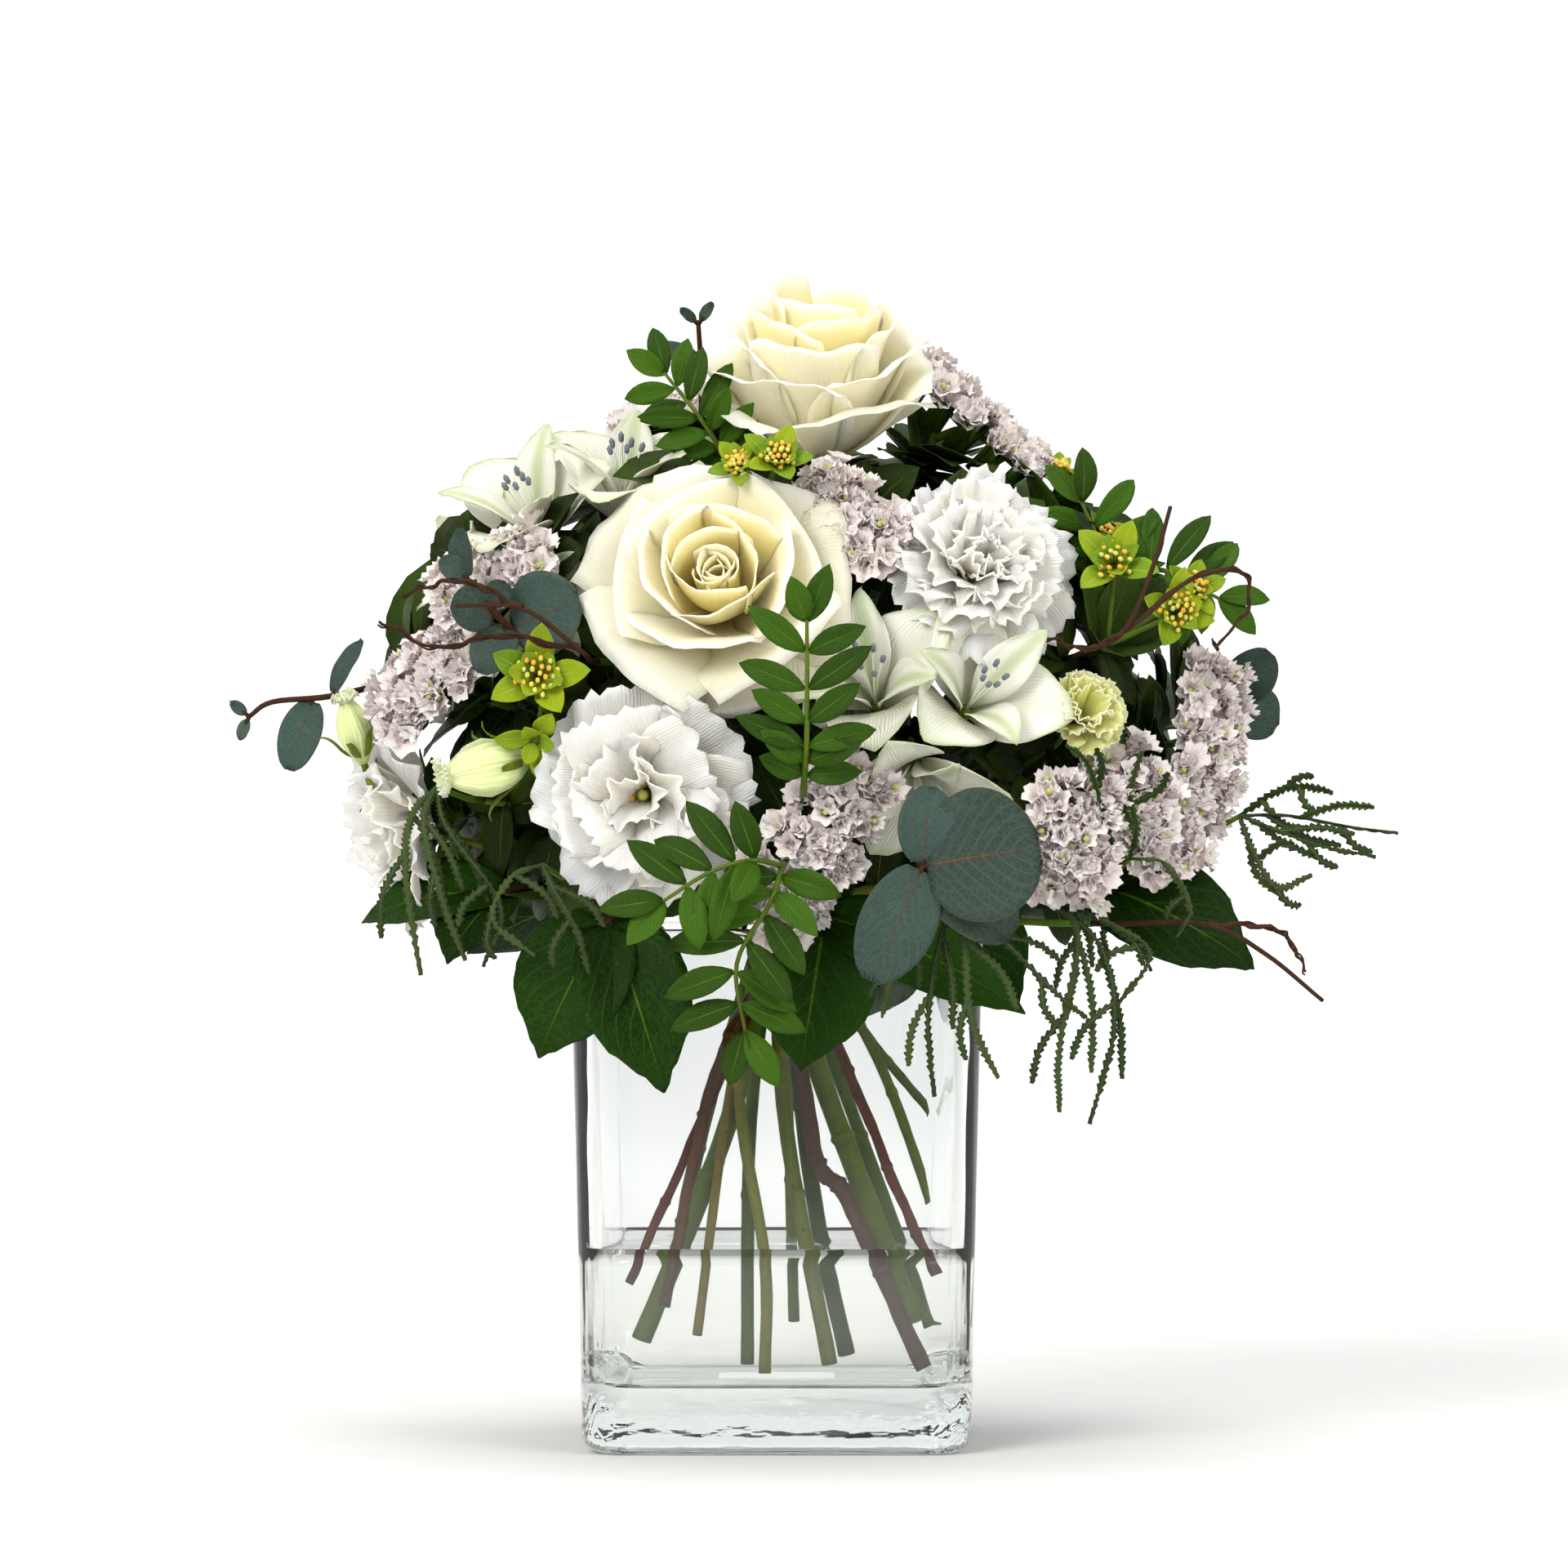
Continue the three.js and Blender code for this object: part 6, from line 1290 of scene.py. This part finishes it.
def rounded_edge(half, corner, z, radius, start, stop, steps):
    """Rings round an edge of a square shell: an arc between two angles, in degrees."""
    out = []
    for k in range(steps + 1):
        a = math.radians(start + (stop - start) * k / steps)
        out.append((half - radius + math.cos(a) * radius, max(corner - radius + radius * math.cos(a), 0.5),
                    z + math.sin(a) * radius))
    return out


def build_vase(sizes, colours):
    """The square vase: one closed shell, over the foot, up the outside, over the rim and down the inside."""
    growth = Growth()
    high, wall, floor_z = sizes.height / MM, sizes.wall / MM, sizes.floor / MM
    foot, rim, corner = sizes.foot_width / 2 / MM, sizes.rim_width / 2 / MM, sizes.corner / MM

    def half(z):
        return foot + (rim - foot) * z / high

    inner = corner - 4
    rings = [(0, 0, 0.7), (foot * 0.5, 6, 0.7), (foot - 12, corner - 5, 0.5), (foot - 9, corner - 5, 0)]
    rings += rounded_edge(half(7), corner, 7, 7, -88, 0, 8)
    rings += [(half(z), corner, z) for z in np.linspace(14, high - 6, 10)]
    rings += rounded_edge(half(high), corner, high - 2.6, 2.6, 0, 84, 5)
    top_in = half(high) - wall
    rings += [(top_in + 2.2, inner + 1, high), (top_in + 0.7, inner + 0.6, high - 0.8), (top_in, inner, high - 2.4)]
    rings += [(half(z) - wall, inner, z) for z in np.linspace(high - 8, floor_z + 9, 10)]
    rings += [(half(floor_z) - wall - d, inner - 2 * k, z) for k, (d, z) in enumerate(
        [(0.4, floor_z + 5), (1.6, floor_z + 2.2), (4.0, floor_z + 0.5)])]
    rings += [(half(floor_z) - wall - 12, 6, floor_z), (20, 5, floor_z - 0.3), (0, 0, floor_z - 0.4)]
    square_shell(growth, rings)
    growth.finish("vase_glass", [clear_material("Clear Glass", colours.glass, 1.5, waves=1.0)], "vase", "glass")


def build_water(sizes, colours):
    """The water, with a raised edge where it climbs the glass. It is let into the glass by a hair, so
    that no layer of air lies between them."""
    growth = Growth()
    wall, floor_z, high = sizes.wall / MM, sizes.floor / MM, sizes.height / MM
    foot, rim, corner = sizes.foot_width / 2 / MM, sizes.rim_width / 2 / MM, sizes.corner / MM - 4
    level, bite = WATER_TOP / MM, 0.05

    def half(z):
        return foot + (rim - foot) * z / high - wall + bite

    rings = [(0, 0, floor_z - 0.35), (20, 5, floor_z - 0.3), (half(floor_z) - 12, 6, floor_z - bite)]
    rings += [(half(floor_z) - d, corner - 2 * k, z) for k, (d, z) in enumerate(
        [(4.0, floor_z + 0.5), (1.6, floor_z + 2.2), (0.4, floor_z + 5)])]
    rings += [(half(z), corner, z) for z in np.linspace(floor_z + 9, level + 0.8, 8)]
    rings += [(half(level) - 0.4, corner, level + 0.45), (half(level) - 1.0, corner, level + 0.12),
              (half(level) - 2.5, corner - 1, level), (half(level) * 0.5, 6, level), (0, 0, level)]
    square_shell(growth, rings)
    growth.finish("water_body", [clear_material("Vase Water", colours.water, 1.33)], "water", "water")


def clear_material(name, tint, ior, waves=0.0):
    """Clear glass or water: faint ripples and a few dull specks. Waves adds upright streaks at the
    corners and level bands low down, as pressed glass has, and a darker tint low down and faintly at
    the corners, partly the colour of thick glass and partly painted shade."""

    def wire(shader):
        place = shader.place()
        x, y, z = shader.put("ShaderNodeSeparateXYZ", {0: place}).outputs[:3]
        ripple = shader.noise(14.0, 2.0)
        specks = shader.smooth(shader.noise(700.0, 1.0), 0.70, 0.78)
        colour = shader.mix(shader.times(ripple, 0.10), linear(tint), (1, 1, 1, 1))
        inner = shader.maths("MINIMUM", shader.maths("ABSOLUTE", x), shader.maths("ABSOLUTE", y))
        corner = shader.smooth(inner, 0.048, 0.062)
        low = shader.minus(1.0, shader.smooth(z, 0.014, 0.026))
        upright = shader.put("ShaderNodeMapping", {"Vector": place, "Scale": (1.0, 1.0, 0.10)})
        level = shader.put("ShaderNodeMapping", {"Vector": place, "Scale": (0.25, 0.25, 1.0)})
        # Partly the colour of thick glass and partly painted shade: the tint darkens low down and faintly at the
        # corners.
        thick = shader.times(shader.maths("MAXIMUM", low, shader.times(corner, 0.15)), waves)
        colour = shader.mix(shader.times(thick, 0.8), colour, linear((0.83, 0.86, 0.85)))
        streaks = shader.times(shader.noise(130.0, 2.0, upright.outputs[0]), corner)
        swirls = shader.times(shader.times(shader.noise(90.0, 2.0, distortion=1.5), corner), low)
        streaks = shader.plus(streaks, shader.times(swirls, 3.0))
        bands = shader.times(shader.noise(150.0, 3.0, level.outputs[0]), low)
        cast = shader.times(shader.plus(streaks, shader.times(bands, 0.7)), waves)
        height = shader.plus(shader.times(ripple, 0.4), cast)
        return colour, shader.times(specks, 0.05), height, 0.0011

    return finish_material(name, wire, Transmission_Weight=1.0, IOR=ior, Specular_IOR_Level=0.5)


def striped_petals(colours, name, stripe, share):
    """An alstroemeria petal: pale, with a green tip and keel and fine dark dashes."""

    def wire(shader):
        along, across, tone = shader.blade()
        wide = shader.maths("ABSOLUTE", across)
        keel = shader.minus(1.0, shader.smooth(wide, 0.05, 0.5))
        tip = shader.smooth(along, 0.78, 1.0)
        green = shader.maths("MAXIMUM", shader.times(tip, 0.5), shader.times(keel, share))
        base = shader.ramp(along, [(0.0, (0.66, 0.74, 0.40)), (0.3, colours.alstroemeria), (1.0, (0.97, 0.96, 0.92))])
        mottled = use(shader, mottle_effect(), Colour=base, Second=linear((0.92, 0.91, 0.85)), Tone=tone, Scale=60.0,
                      Amount=0.5)
        colour = shader.mix(green, mottled["Colour"], linear(stripe))
        fan = use(shader, fan_effect(), Along=along, Across=across, Lines=12.0)
        colour = shader.mix(shader.times(fan["Mask"], 0.12), colour, linear((0.70, 0.74, 0.55)))
        return colour, 0.45, fan["Mask"], 0.0003

    return finish_material(name, wire, Subsurface_Weight=0.15, Subsurface_Radius=(0.004, 0.003, 0.002),
                           Subsurface_Scale=1.0, Specular_IOR_Level=0.35)


def throat_material():
    """Stamens and pistils: green at the foot, orange-yellow at the tip."""

    def wire(shader):
        _, _, tone = shader.blade()
        colour = shader.ramp(tone, [(0.0, (0.72, 0.78, 0.42)), (0.45, (0.88, 0.80, 0.34)), (1.0, (0.90, 0.62, 0.10))])
        grain = shader.noise(1500.0, 2.0)
        return colour, 0.6, grain, 0.0003

    return finish_material("Flower Throat", wire)


def anther_material():
    """Alstroemeria stamens: pale threads and blue-grey anthers."""

    def wire(shader):
        _, _, tone = shader.blade()
        colour = shader.ramp(tone, [(0.0, (0.90, 0.92, 0.85)), (0.5, (0.88, 0.90, 0.80)), (0.7, (0.42, 0.46, 0.50))])
        return colour, 0.7, shader.noise(1500.0, 2.0), 0.0003

    return finish_material("Blue Grey Anther", wire)


def paper_material(colours):
    """Statice florets: dry paper, pink-lilac rims over paler funnels, with pleat lines."""

    def wire(shader):
        along, across, tone = shader.blade()
        base = shader.ramp(along, [(0.0, (0.80, 0.80, 0.62)), (0.25, (0.94, 0.90, 0.87)), (0.8, colours.statice),
                                   (1.0, (0.97, 0.94, 0.93))])
        mottled = use(shader, mottle_effect(), Colour=base, Second=linear((0.97, 0.905, 0.90)), Tone=tone, Scale=90.0,
                      Amount=0.55)
        fan = use(shader, fan_effect(), Along=along, Across=across, Lines=15.0)
        colour = shader.mix(shader.times(fan["Mask"], 0.10), mottled["Colour"], linear((0.90, 0.81, 0.82)))
        return colour, 0.8, fan["Mask"], 0.0004

    return finish_material("Statice Paper", wire, Subsurface_Weight=0.45, Subsurface_Radius=(0.003, 0.002, 0.002),
                           Subsurface_Scale=1.0)


# ---- settings -----------------------------------------------------------------------------------


def colour_of(name, description, default):
    return bpy.props.FloatVectorProperty(name=name, description=description, default=default, subtype="COLOR",
                                         size=3, min=0.0, max=1.0)


def length_of(name, description, default):
    return bpy.props.FloatProperty(name=name, description=description, default=default, min=0.001, unit="LENGTH")


class BouquetSizes(bpy.types.PropertyGroup):
    height: length_of("Vase Height", "Height of the vase", VASE_HIGH.z)
    rim_width: length_of("Rim Width", "Width of the vase across its rim", VASE_HIGH.x - VASE_LOW.x)
    foot_width: length_of("Foot Width", "Width of the vase across its foot", 0.132)
    corner: length_of("Corner Radius", "Radius of the vase's upright corners", 0.015)
    wall: length_of("Wall", "Thickness of the vase's wall", 0.007)
    floor: length_of("Floor", "Thickness of the vase's floor", 0.022)


class BouquetColours(bpy.types.PropertyGroup):
    glass: colour_of("Glass", "Tint of the vase", (0.955, 0.962, 0.958))
    water: colour_of("Water", "Tint of the water", (0.985, 0.99, 0.975))
    rose: colour_of("Rose", "Body colour of the rose petals", (0.99, 0.97, 0.87))
    lisianthus: colour_of("Lisianthus", "Body colour of the lisianthus petals", (1.0, 0.985, 0.95))
    lime: colour_of("Lime Bloom", "Body colour of the small yellow-green bloom and the buds", (0.95, 0.94, 0.56))
    alstroemeria: colour_of("Alstroemeria", "Body colour of the alstroemeria petals", (0.96, 0.95, 0.90))
    statice: colour_of("Statice", "Body colour of the statice florets", (1.0, 0.955, 0.945))
    eucalyptus: colour_of("Eucalyptus", "Face colour of the eucalyptus leaves", (0.23, 0.30, 0.28))
    bupleurum: colour_of("Bupleurum", "Colour of the bupleurum bracts", (0.56, 0.63, 0.08))
    pistacia: colour_of("Pistacia", "Face colour of the pistacia leaflets", (0.22, 0.36, 0.05))
    salal: colour_of("Salal", "Face colour of the salal leaves", (0.10, 0.21, 0.02))
    fern: colour_of("Coral Fern", "Colour of the coral fern strands", (0.27, 0.32, 0.17))


# ---- operators ----------------------------------------------------------------------------------


def grow_all(heads, grow, *rest):
    """Grows several heads of a kind with the same materials."""
    for head in heads:
        grow(head, *rest)
    return {"FINISHED"}


class BOUQUET_OT_vase(bpy.types.Operator):
    """Builds the square glass vase"""

    bl_idname = "bouquet.vase"
    bl_label = "Vase"

    def execute(self, context):
        build_vase(context.scene.bouquet_sizes, context.scene.bouquet_colours)
        return {"FINISHED"}


class BOUQUET_OT_water(bpy.types.Operator):
    """Fills the vase with water"""

    bl_idname = "bouquet.water"
    bl_label = "Water"

    def execute(self, context):
        build_water(context.scene.bouquet_sizes, context.scene.bouquet_colours)
        return {"FINISHED"}


class BOUQUET_OT_stems(bpy.types.Operator):
    """Builds the cut stems, the shoots and the leaves left on them"""

    bl_idname = "bouquet.stems"
    bl_label = "Stems"

    def execute(self, context):
        build_green_stems([green_stalk(), inner_leaf(), lit_cut_stem()])
        build_brown_stems([cut_twig()])
        return {"FINISHED"}


class BOUQUET_OT_roses(bpy.types.Operator):
    """Builds the cream roses"""

    bl_idname = "bouquet.roses"
    bl_label = "Roses"

    def execute(self, context):
        petals = rose_petals(context.scene.bouquet_colours)
        return grow_all(ROSES, grow_rose, [petals, green_stalk(), rose_heart()])


class BOUQUET_OT_lisianthus(bpy.types.Operator):
    """Builds the white lisianthus, the small yellow-green bloom and the buds"""

    bl_idname = "bouquet.lisianthus"
    bl_label = "Lisianthus and Buds"

    def execute(self, context):
        colours = context.scene.bouquet_colours
        white = petal_material("Lisianthus Petal", colours.lisianthus, (0.86, 0.90, 0.62), (1.0, 0.99, 0.965),
                               (0.97, 0.955, 0.89), lines=22.0, line_tint=0.08, translucent=0.6)
        lime = petal_material("Lime Petal", colours.lime, (0.74, 0.80, 0.36), (0.95, 0.95, 0.78),
                              (0.88, 0.89, 0.46), line_tint=0.2, translucent=0.5)
        bud = petal_material("Bud Petal", (0.90, 0.93, 0.72), (0.60, 0.71, 0.30), (0.96, 0.96, 0.87),
                             (0.76, 0.83, 0.48), lines=14.0, line_tint=0.3)
        *doubles, small = FRILLED
        grow_all(doubles, grow_frilled, [white, green_stalk(), throat_material()], "lisianthus_petal")
        grow_frilled(small, [lime, green_stalk(), throat_material()], "lime_petal")
        return grow_all(BUDS, grow_bud, [bud, green_stalk()])


class BOUQUET_OT_alstroemeria(bpy.types.Operator):
    """Builds the alstroemeria heads"""

    bl_idname = "bouquet.alstroemeria"
    bl_label = "Alstroemeria"

    def execute(self, context):
        colours = context.scene.bouquet_colours
        broad = striped_petals(colours, "Alstroemeria Broad", (0.62, 0.72, 0.34), 0.18)
        narrow = striped_petals(colours, "Alstroemeria Narrow", (0.56, 0.68, 0.26), 0.55)
        return grow_all(TRUMPETS, grow_trumpets, [broad, green_stalk(), narrow, anther_material()])


class BOUQUET_OT_statice(bpy.types.Operator):
    """Builds the papery statice sprays"""

    bl_idname = "bouquet.statice"
    bl_label = "Statice"

    def execute(self, context):
        paper = paper_material(context.scene.bouquet_colours)
        return grow_all(STATICE, grow_statice, [paper, green_stalk(), throat_material()])


class BOUQUET_OT_eucalyptus(bpy.types.Operator):
    """Builds the eucalyptus twigs"""

    bl_idname = "bouquet.eucalyptus"
    bl_label = "Eucalyptus"

    def execute(self, context):
        face = leaf_material("Eucalyptus Leaf", context.scene.bouquet_colours.eucalyptus, (0.18, 0.22, 0.20),
                             (0.40, 0.26, 0.20), (0.38, 0.46, 0.41), pairs=8.0, slope=0.5, midrib=0.03, net=0.3,
                             vein_tint=0.5, rough=0.6, edge=(0.30, 0.27, 0.23))
        shape = dict(outline="round", tilt=(-14, 2, 16), cup=(0.35, 0.3), rows=14, cols=12, frill=0.5)
        return grow_all(EUCALYPTUS, grow_leafy, [face, bark()], "eucalyptus_leaf", shape)


class BOUQUET_OT_pistacia(bpy.types.Operator):
    """Builds the pinnate sprays"""

    bl_idname = "bouquet.pistacia"
    bl_label = "Pistacia"

    def execute(self, context):
        face = leaf_material("Pistacia Leaflet", context.scene.bouquet_colours.pistacia, (0.14, 0.22, 0.03),
                             (0.30, 0.44, 0.13), (0.24, 0.38, 0.13), pairs=10.0, midrib=0.09, vein_tint=0.3)
        return grow_all(PISTACIA, grow_pinnate, [face, green_stalk()])


class BOUQUET_OT_bupleurum(bpy.types.Operator):
    """Builds the yellow-green bracts and their florets"""

    bl_idname = "bouquet.bupleurum"
    bl_label = "Bupleurum"

    def execute(self, context):
        bract = leaf_material("Bupleurum Bract", context.scene.bouquet_colours.bupleurum, (0.40, 0.54, 0.12),
                              (0.72, 0.78, 0.38), (0.66, 0.74, 0.32), pairs=7.0, slope=0.7, midrib=0.06)
        return grow_all(BUPLEURUM, grow_stars, [bract, green_stalk(), throat_material()])


class BOUQUET_OT_salal(bpy.types.Operator):
    """Builds the broad dark leaves over the rim"""

    bl_idname = "bouquet.salal"
    bl_label = "Salal"

    def execute(self, context):
        face = leaf_material("Salal Leaf", context.scene.bouquet_colours.salal, (0.06, 0.13, 0.015),
                             (0.30, 0.38, 0.10), (0.20, 0.33, 0.07), pairs=6.0, slope=0.55, midrib=0.045, net=0.3,
                             vein_tint=0.6, rough=0.36, depth=0.0007, shine=0.07)
        shape = dict(outline="heart", tilt=(-18, 4, 18), cup=(0.3, 0.2), rows=20, cols=12, nick=0.012, lip=14,
                     fold=0.05)
        return grow_all(SALAL, grow_leafy, [face, bark()], "salal_leaf", shape)


class BOUQUET_OT_ferns(bpy.types.Operator):
    """Builds the coral fern strands"""

    bl_idname = "bouquet.ferns"
    bl_label = "Coral Fern"

    def execute(self, context):
        strand = leaf_material("Coral Fern Strand", context.scene.bouquet_colours.fern, (0.16, 0.20, 0.10),
                               (0.28, 0.37, 0.24), (0.24, 0.33, 0.21), pairs=60.0, midrib=0.3, rough=0.6)
        return grow_all(FERNS, grow_fern, [strand, green_stalk()])


class BOUQUET_OT_vines(bpy.types.Operator):
    """Builds the thin woody vines"""

    bl_idname = "bouquet.vines"
    bl_label = "Vines"

    def execute(self, context):
        return grow_all(VINES, grow_vine, [bark()])


class BOUQUET_OT_stage(bpy.types.Operator):
    """Makes the pale floor, the studio light and the camera"""

    bl_idname = "bouquet.stage"
    bl_label = "Stage"

    def execute(self, context):
        build_floor()
        build_lights()
        build_camera()
        return {"FINISHED"}


PIECES = (BOUQUET_OT_vase, BOUQUET_OT_water, BOUQUET_OT_stems, BOUQUET_OT_roses, BOUQUET_OT_lisianthus,
          BOUQUET_OT_alstroemeria, BOUQUET_OT_statice, BOUQUET_OT_eucalyptus, BOUQUET_OT_pistacia,
          BOUQUET_OT_bupleurum, BOUQUET_OT_salal, BOUQUET_OT_ferns, BOUQUET_OT_vines, BOUQUET_OT_stage)

# ---- stage --------------------------------------------------------------------------------------


# The pale sweep, in metres: its length along the curve, where the bend starts, the bend's radius, its
# width, and how far it reaches to the front.
SWEEP_LENGTH, SWEEP_FLAT, SWEEP_BEND = 13.0, 8.5, 1.6
SWEEP_WIDTH, SWEEP_FRONT = 16, 3.5

# Where the floor is painted darker towards the front, as painted shade for the glass to reflect, and
# where its painted glow rises behind the vase: from, to.
SHADE_NEAR, GLOW_FAR = (-1.3, -0.42), (0.15, 1.9)

# Soft lamps: name, place, size in metres, power in watts.
LAMPS = [
    ("left_soft", (-1.3, -2.1, 1.6), 1.5, 64),
    ("right_soft", (1.7, -1.8, 1.1), 1.4, 29),
    ("top_soft", (0.0, 0.1, 2.3), 1.8, 30),
]
LAMP_TARGET = (0, 0, 0.25)
LAMP_COLOUR = (1.0, 0.98, 0.945)
WORLD_STRENGTH = 0.38

CAMERA_PLACE = (0.0025, -2.5, 0.227)
CAMERA_LENS, CAMERA_SENSOR = 165.56, 36


def build_floor():
    """A pale sweep: a floor that curves up into a backdrop."""
    bm = bmesh.new()
    made = bmesh.ops.create_grid(bm, x_segments=2, y_segments=60, size=0.5)["verts"]
    for v in made:
        run = (v.co.y + 0.5) * SWEEP_LENGTH
        bend = np.clip((run - SWEEP_FLAT) / SWEEP_BEND, 0, math.pi / 2)
        flat = min(run, SWEEP_FLAT) + SWEEP_BEND * math.sin(bend)
        up = SWEEP_BEND * (1 - math.cos(bend)) + max(run - SWEEP_FLAT - SWEEP_BEND * math.pi / 2, 0)
        v.co = (v.co.x * SWEEP_WIDTH, flat - SWEEP_FRONT, up)
    for f in bm.faces:
        f.smooth = True
    mesh = bpy.data.meshes.new("studio_sweep")
    bm.to_mesh(mesh)
    bm.free()

    def wire(shader):
        paper = shader.noise(30.0, 4.0)
        # Painted shade: the floor's colour falls to grey towards the front.
        near = shader.smooth(shader.put("ShaderNodeSeparateXYZ", {0: shader.place()}).outputs[1], *SHADE_NEAR)
        pale = shader.mix(paper, linear((0.90, 0.90, 0.90)), linear((0.92, 0.92, 0.92)))
        return shader.mix(near, linear((0.42, 0.42, 0.42)), pale), 0.95, paper, 0.0002

    paper = finish_material("Studio Paper Painted Shade And Glow", wire, Specular_IOR_Level=0.1)
    shader = Shader(paper.node_tree)
    surface = next(node for node in paper.node_tree.nodes if node.type == "BSDF_PRINCIPLED")
    # Painted light: the sweep glows, evenly near the vase and brighter behind it.
    far = shader.smooth(shader.put("ShaderNodeSeparateXYZ", {0: shader.place()}).outputs[1], *GLOW_FAR)
    glow = shader.mix(far, linear((0.30, 0.30, 0.30)), (0.60, 0.60, 0.60, 1))
    shader.feed(glow, surface.inputs["Emission Color"])
    surface.inputs["Emission Strength"].default_value = 1.0
    mesh.materials.append(paper)
    link("studio_sweep", mesh, (0, 0, 0))


def link(name, data, place):
    made = bpy.data.objects.new(name, data)
    made.location = place
    bpy.context.scene.collection.objects.link(made)
    return made


def build_lights():
    """Three soft lamps that look at the middle of the bouquet, and an even grey light all round."""
    for name, place, size, power in LAMPS:
        lamp = bpy.data.lights.new(name, "AREA")
        lamp.size, lamp.energy, lamp.color = size, power, LAMP_COLOUR
        lamp_object = link(name, lamp, place)
        lamp_object.rotation_mode = "QUATERNION"
        lamp_object.rotation_quaternion = (Vector(LAMP_TARGET) - Vector(place)).to_track_quat("-Z", "Y")
    world = bpy.data.worlds.new("Studio")
    bpy.context.scene.world = world
    world.use_nodes = True
    sky = world.node_tree.nodes["Background"].inputs
    sky["Color"].default_value = (1, 1, 1, 1)
    sky["Strength"].default_value = WORLD_STRENGTH


def build_camera():
    """A level camera, as far off as the photograph's seems to be."""
    camera = bpy.data.cameras.new("camera")
    camera.lens, camera.sensor_width = CAMERA_LENS, CAMERA_SENSOR
    camera.clip_start, camera.clip_end = 0.05, 50
    camera_object = link("camera", camera, CAMERA_PLACE)
    camera_object.rotation_euler = (math.pi / 2, 0, 0)
    bpy.context.scene.camera = camera_object
    bpy.context.scene.view_settings.view_transform = "Standard"


# ---- add-on -------------------------------------------------------------------------------------


class BOUQUET_PT_panel(bpy.types.Panel):
    """Lists the sizes, the colours and the pieces"""

    bl_idname = "BOUQUET_PT_panel"
    bl_label = "Bouquet"
    bl_space_type = "VIEW_3D"
    bl_region_type = "UI"
    bl_category = "Bouquet"

    def draw(self, context):
        for group in (context.scene.bouquet_sizes, context.scene.bouquet_colours):
            box = self.layout.box()
            for key in group.__annotations__:
                box.prop(group, key)
        for piece in PIECES:
            self.layout.operator(piece.bl_idname)


CLASSES = (BouquetSizes, BouquetColours, *PIECES, BOUQUET_PT_panel)


def register():
    for made in CLASSES:
        bpy.utils.register_class(made)
    bpy.types.Scene.bouquet_sizes = bpy.props.PointerProperty(type=BouquetSizes)
    bpy.types.Scene.bouquet_colours = bpy.props.PointerProperty(type=BouquetColours)


def unregister():
    del bpy.types.Scene.bouquet_colours
    del bpy.types.Scene.bouquet_sizes
    for made in reversed(CLASSES):
        bpy.utils.unregister_class(made)


def main():
    register()
    for piece in PIECES:
        folder, action = piece.bl_idname.split(".")
        getattr(getattr(bpy.ops, folder), action)()
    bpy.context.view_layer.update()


if __name__ == "__main__":
    main()
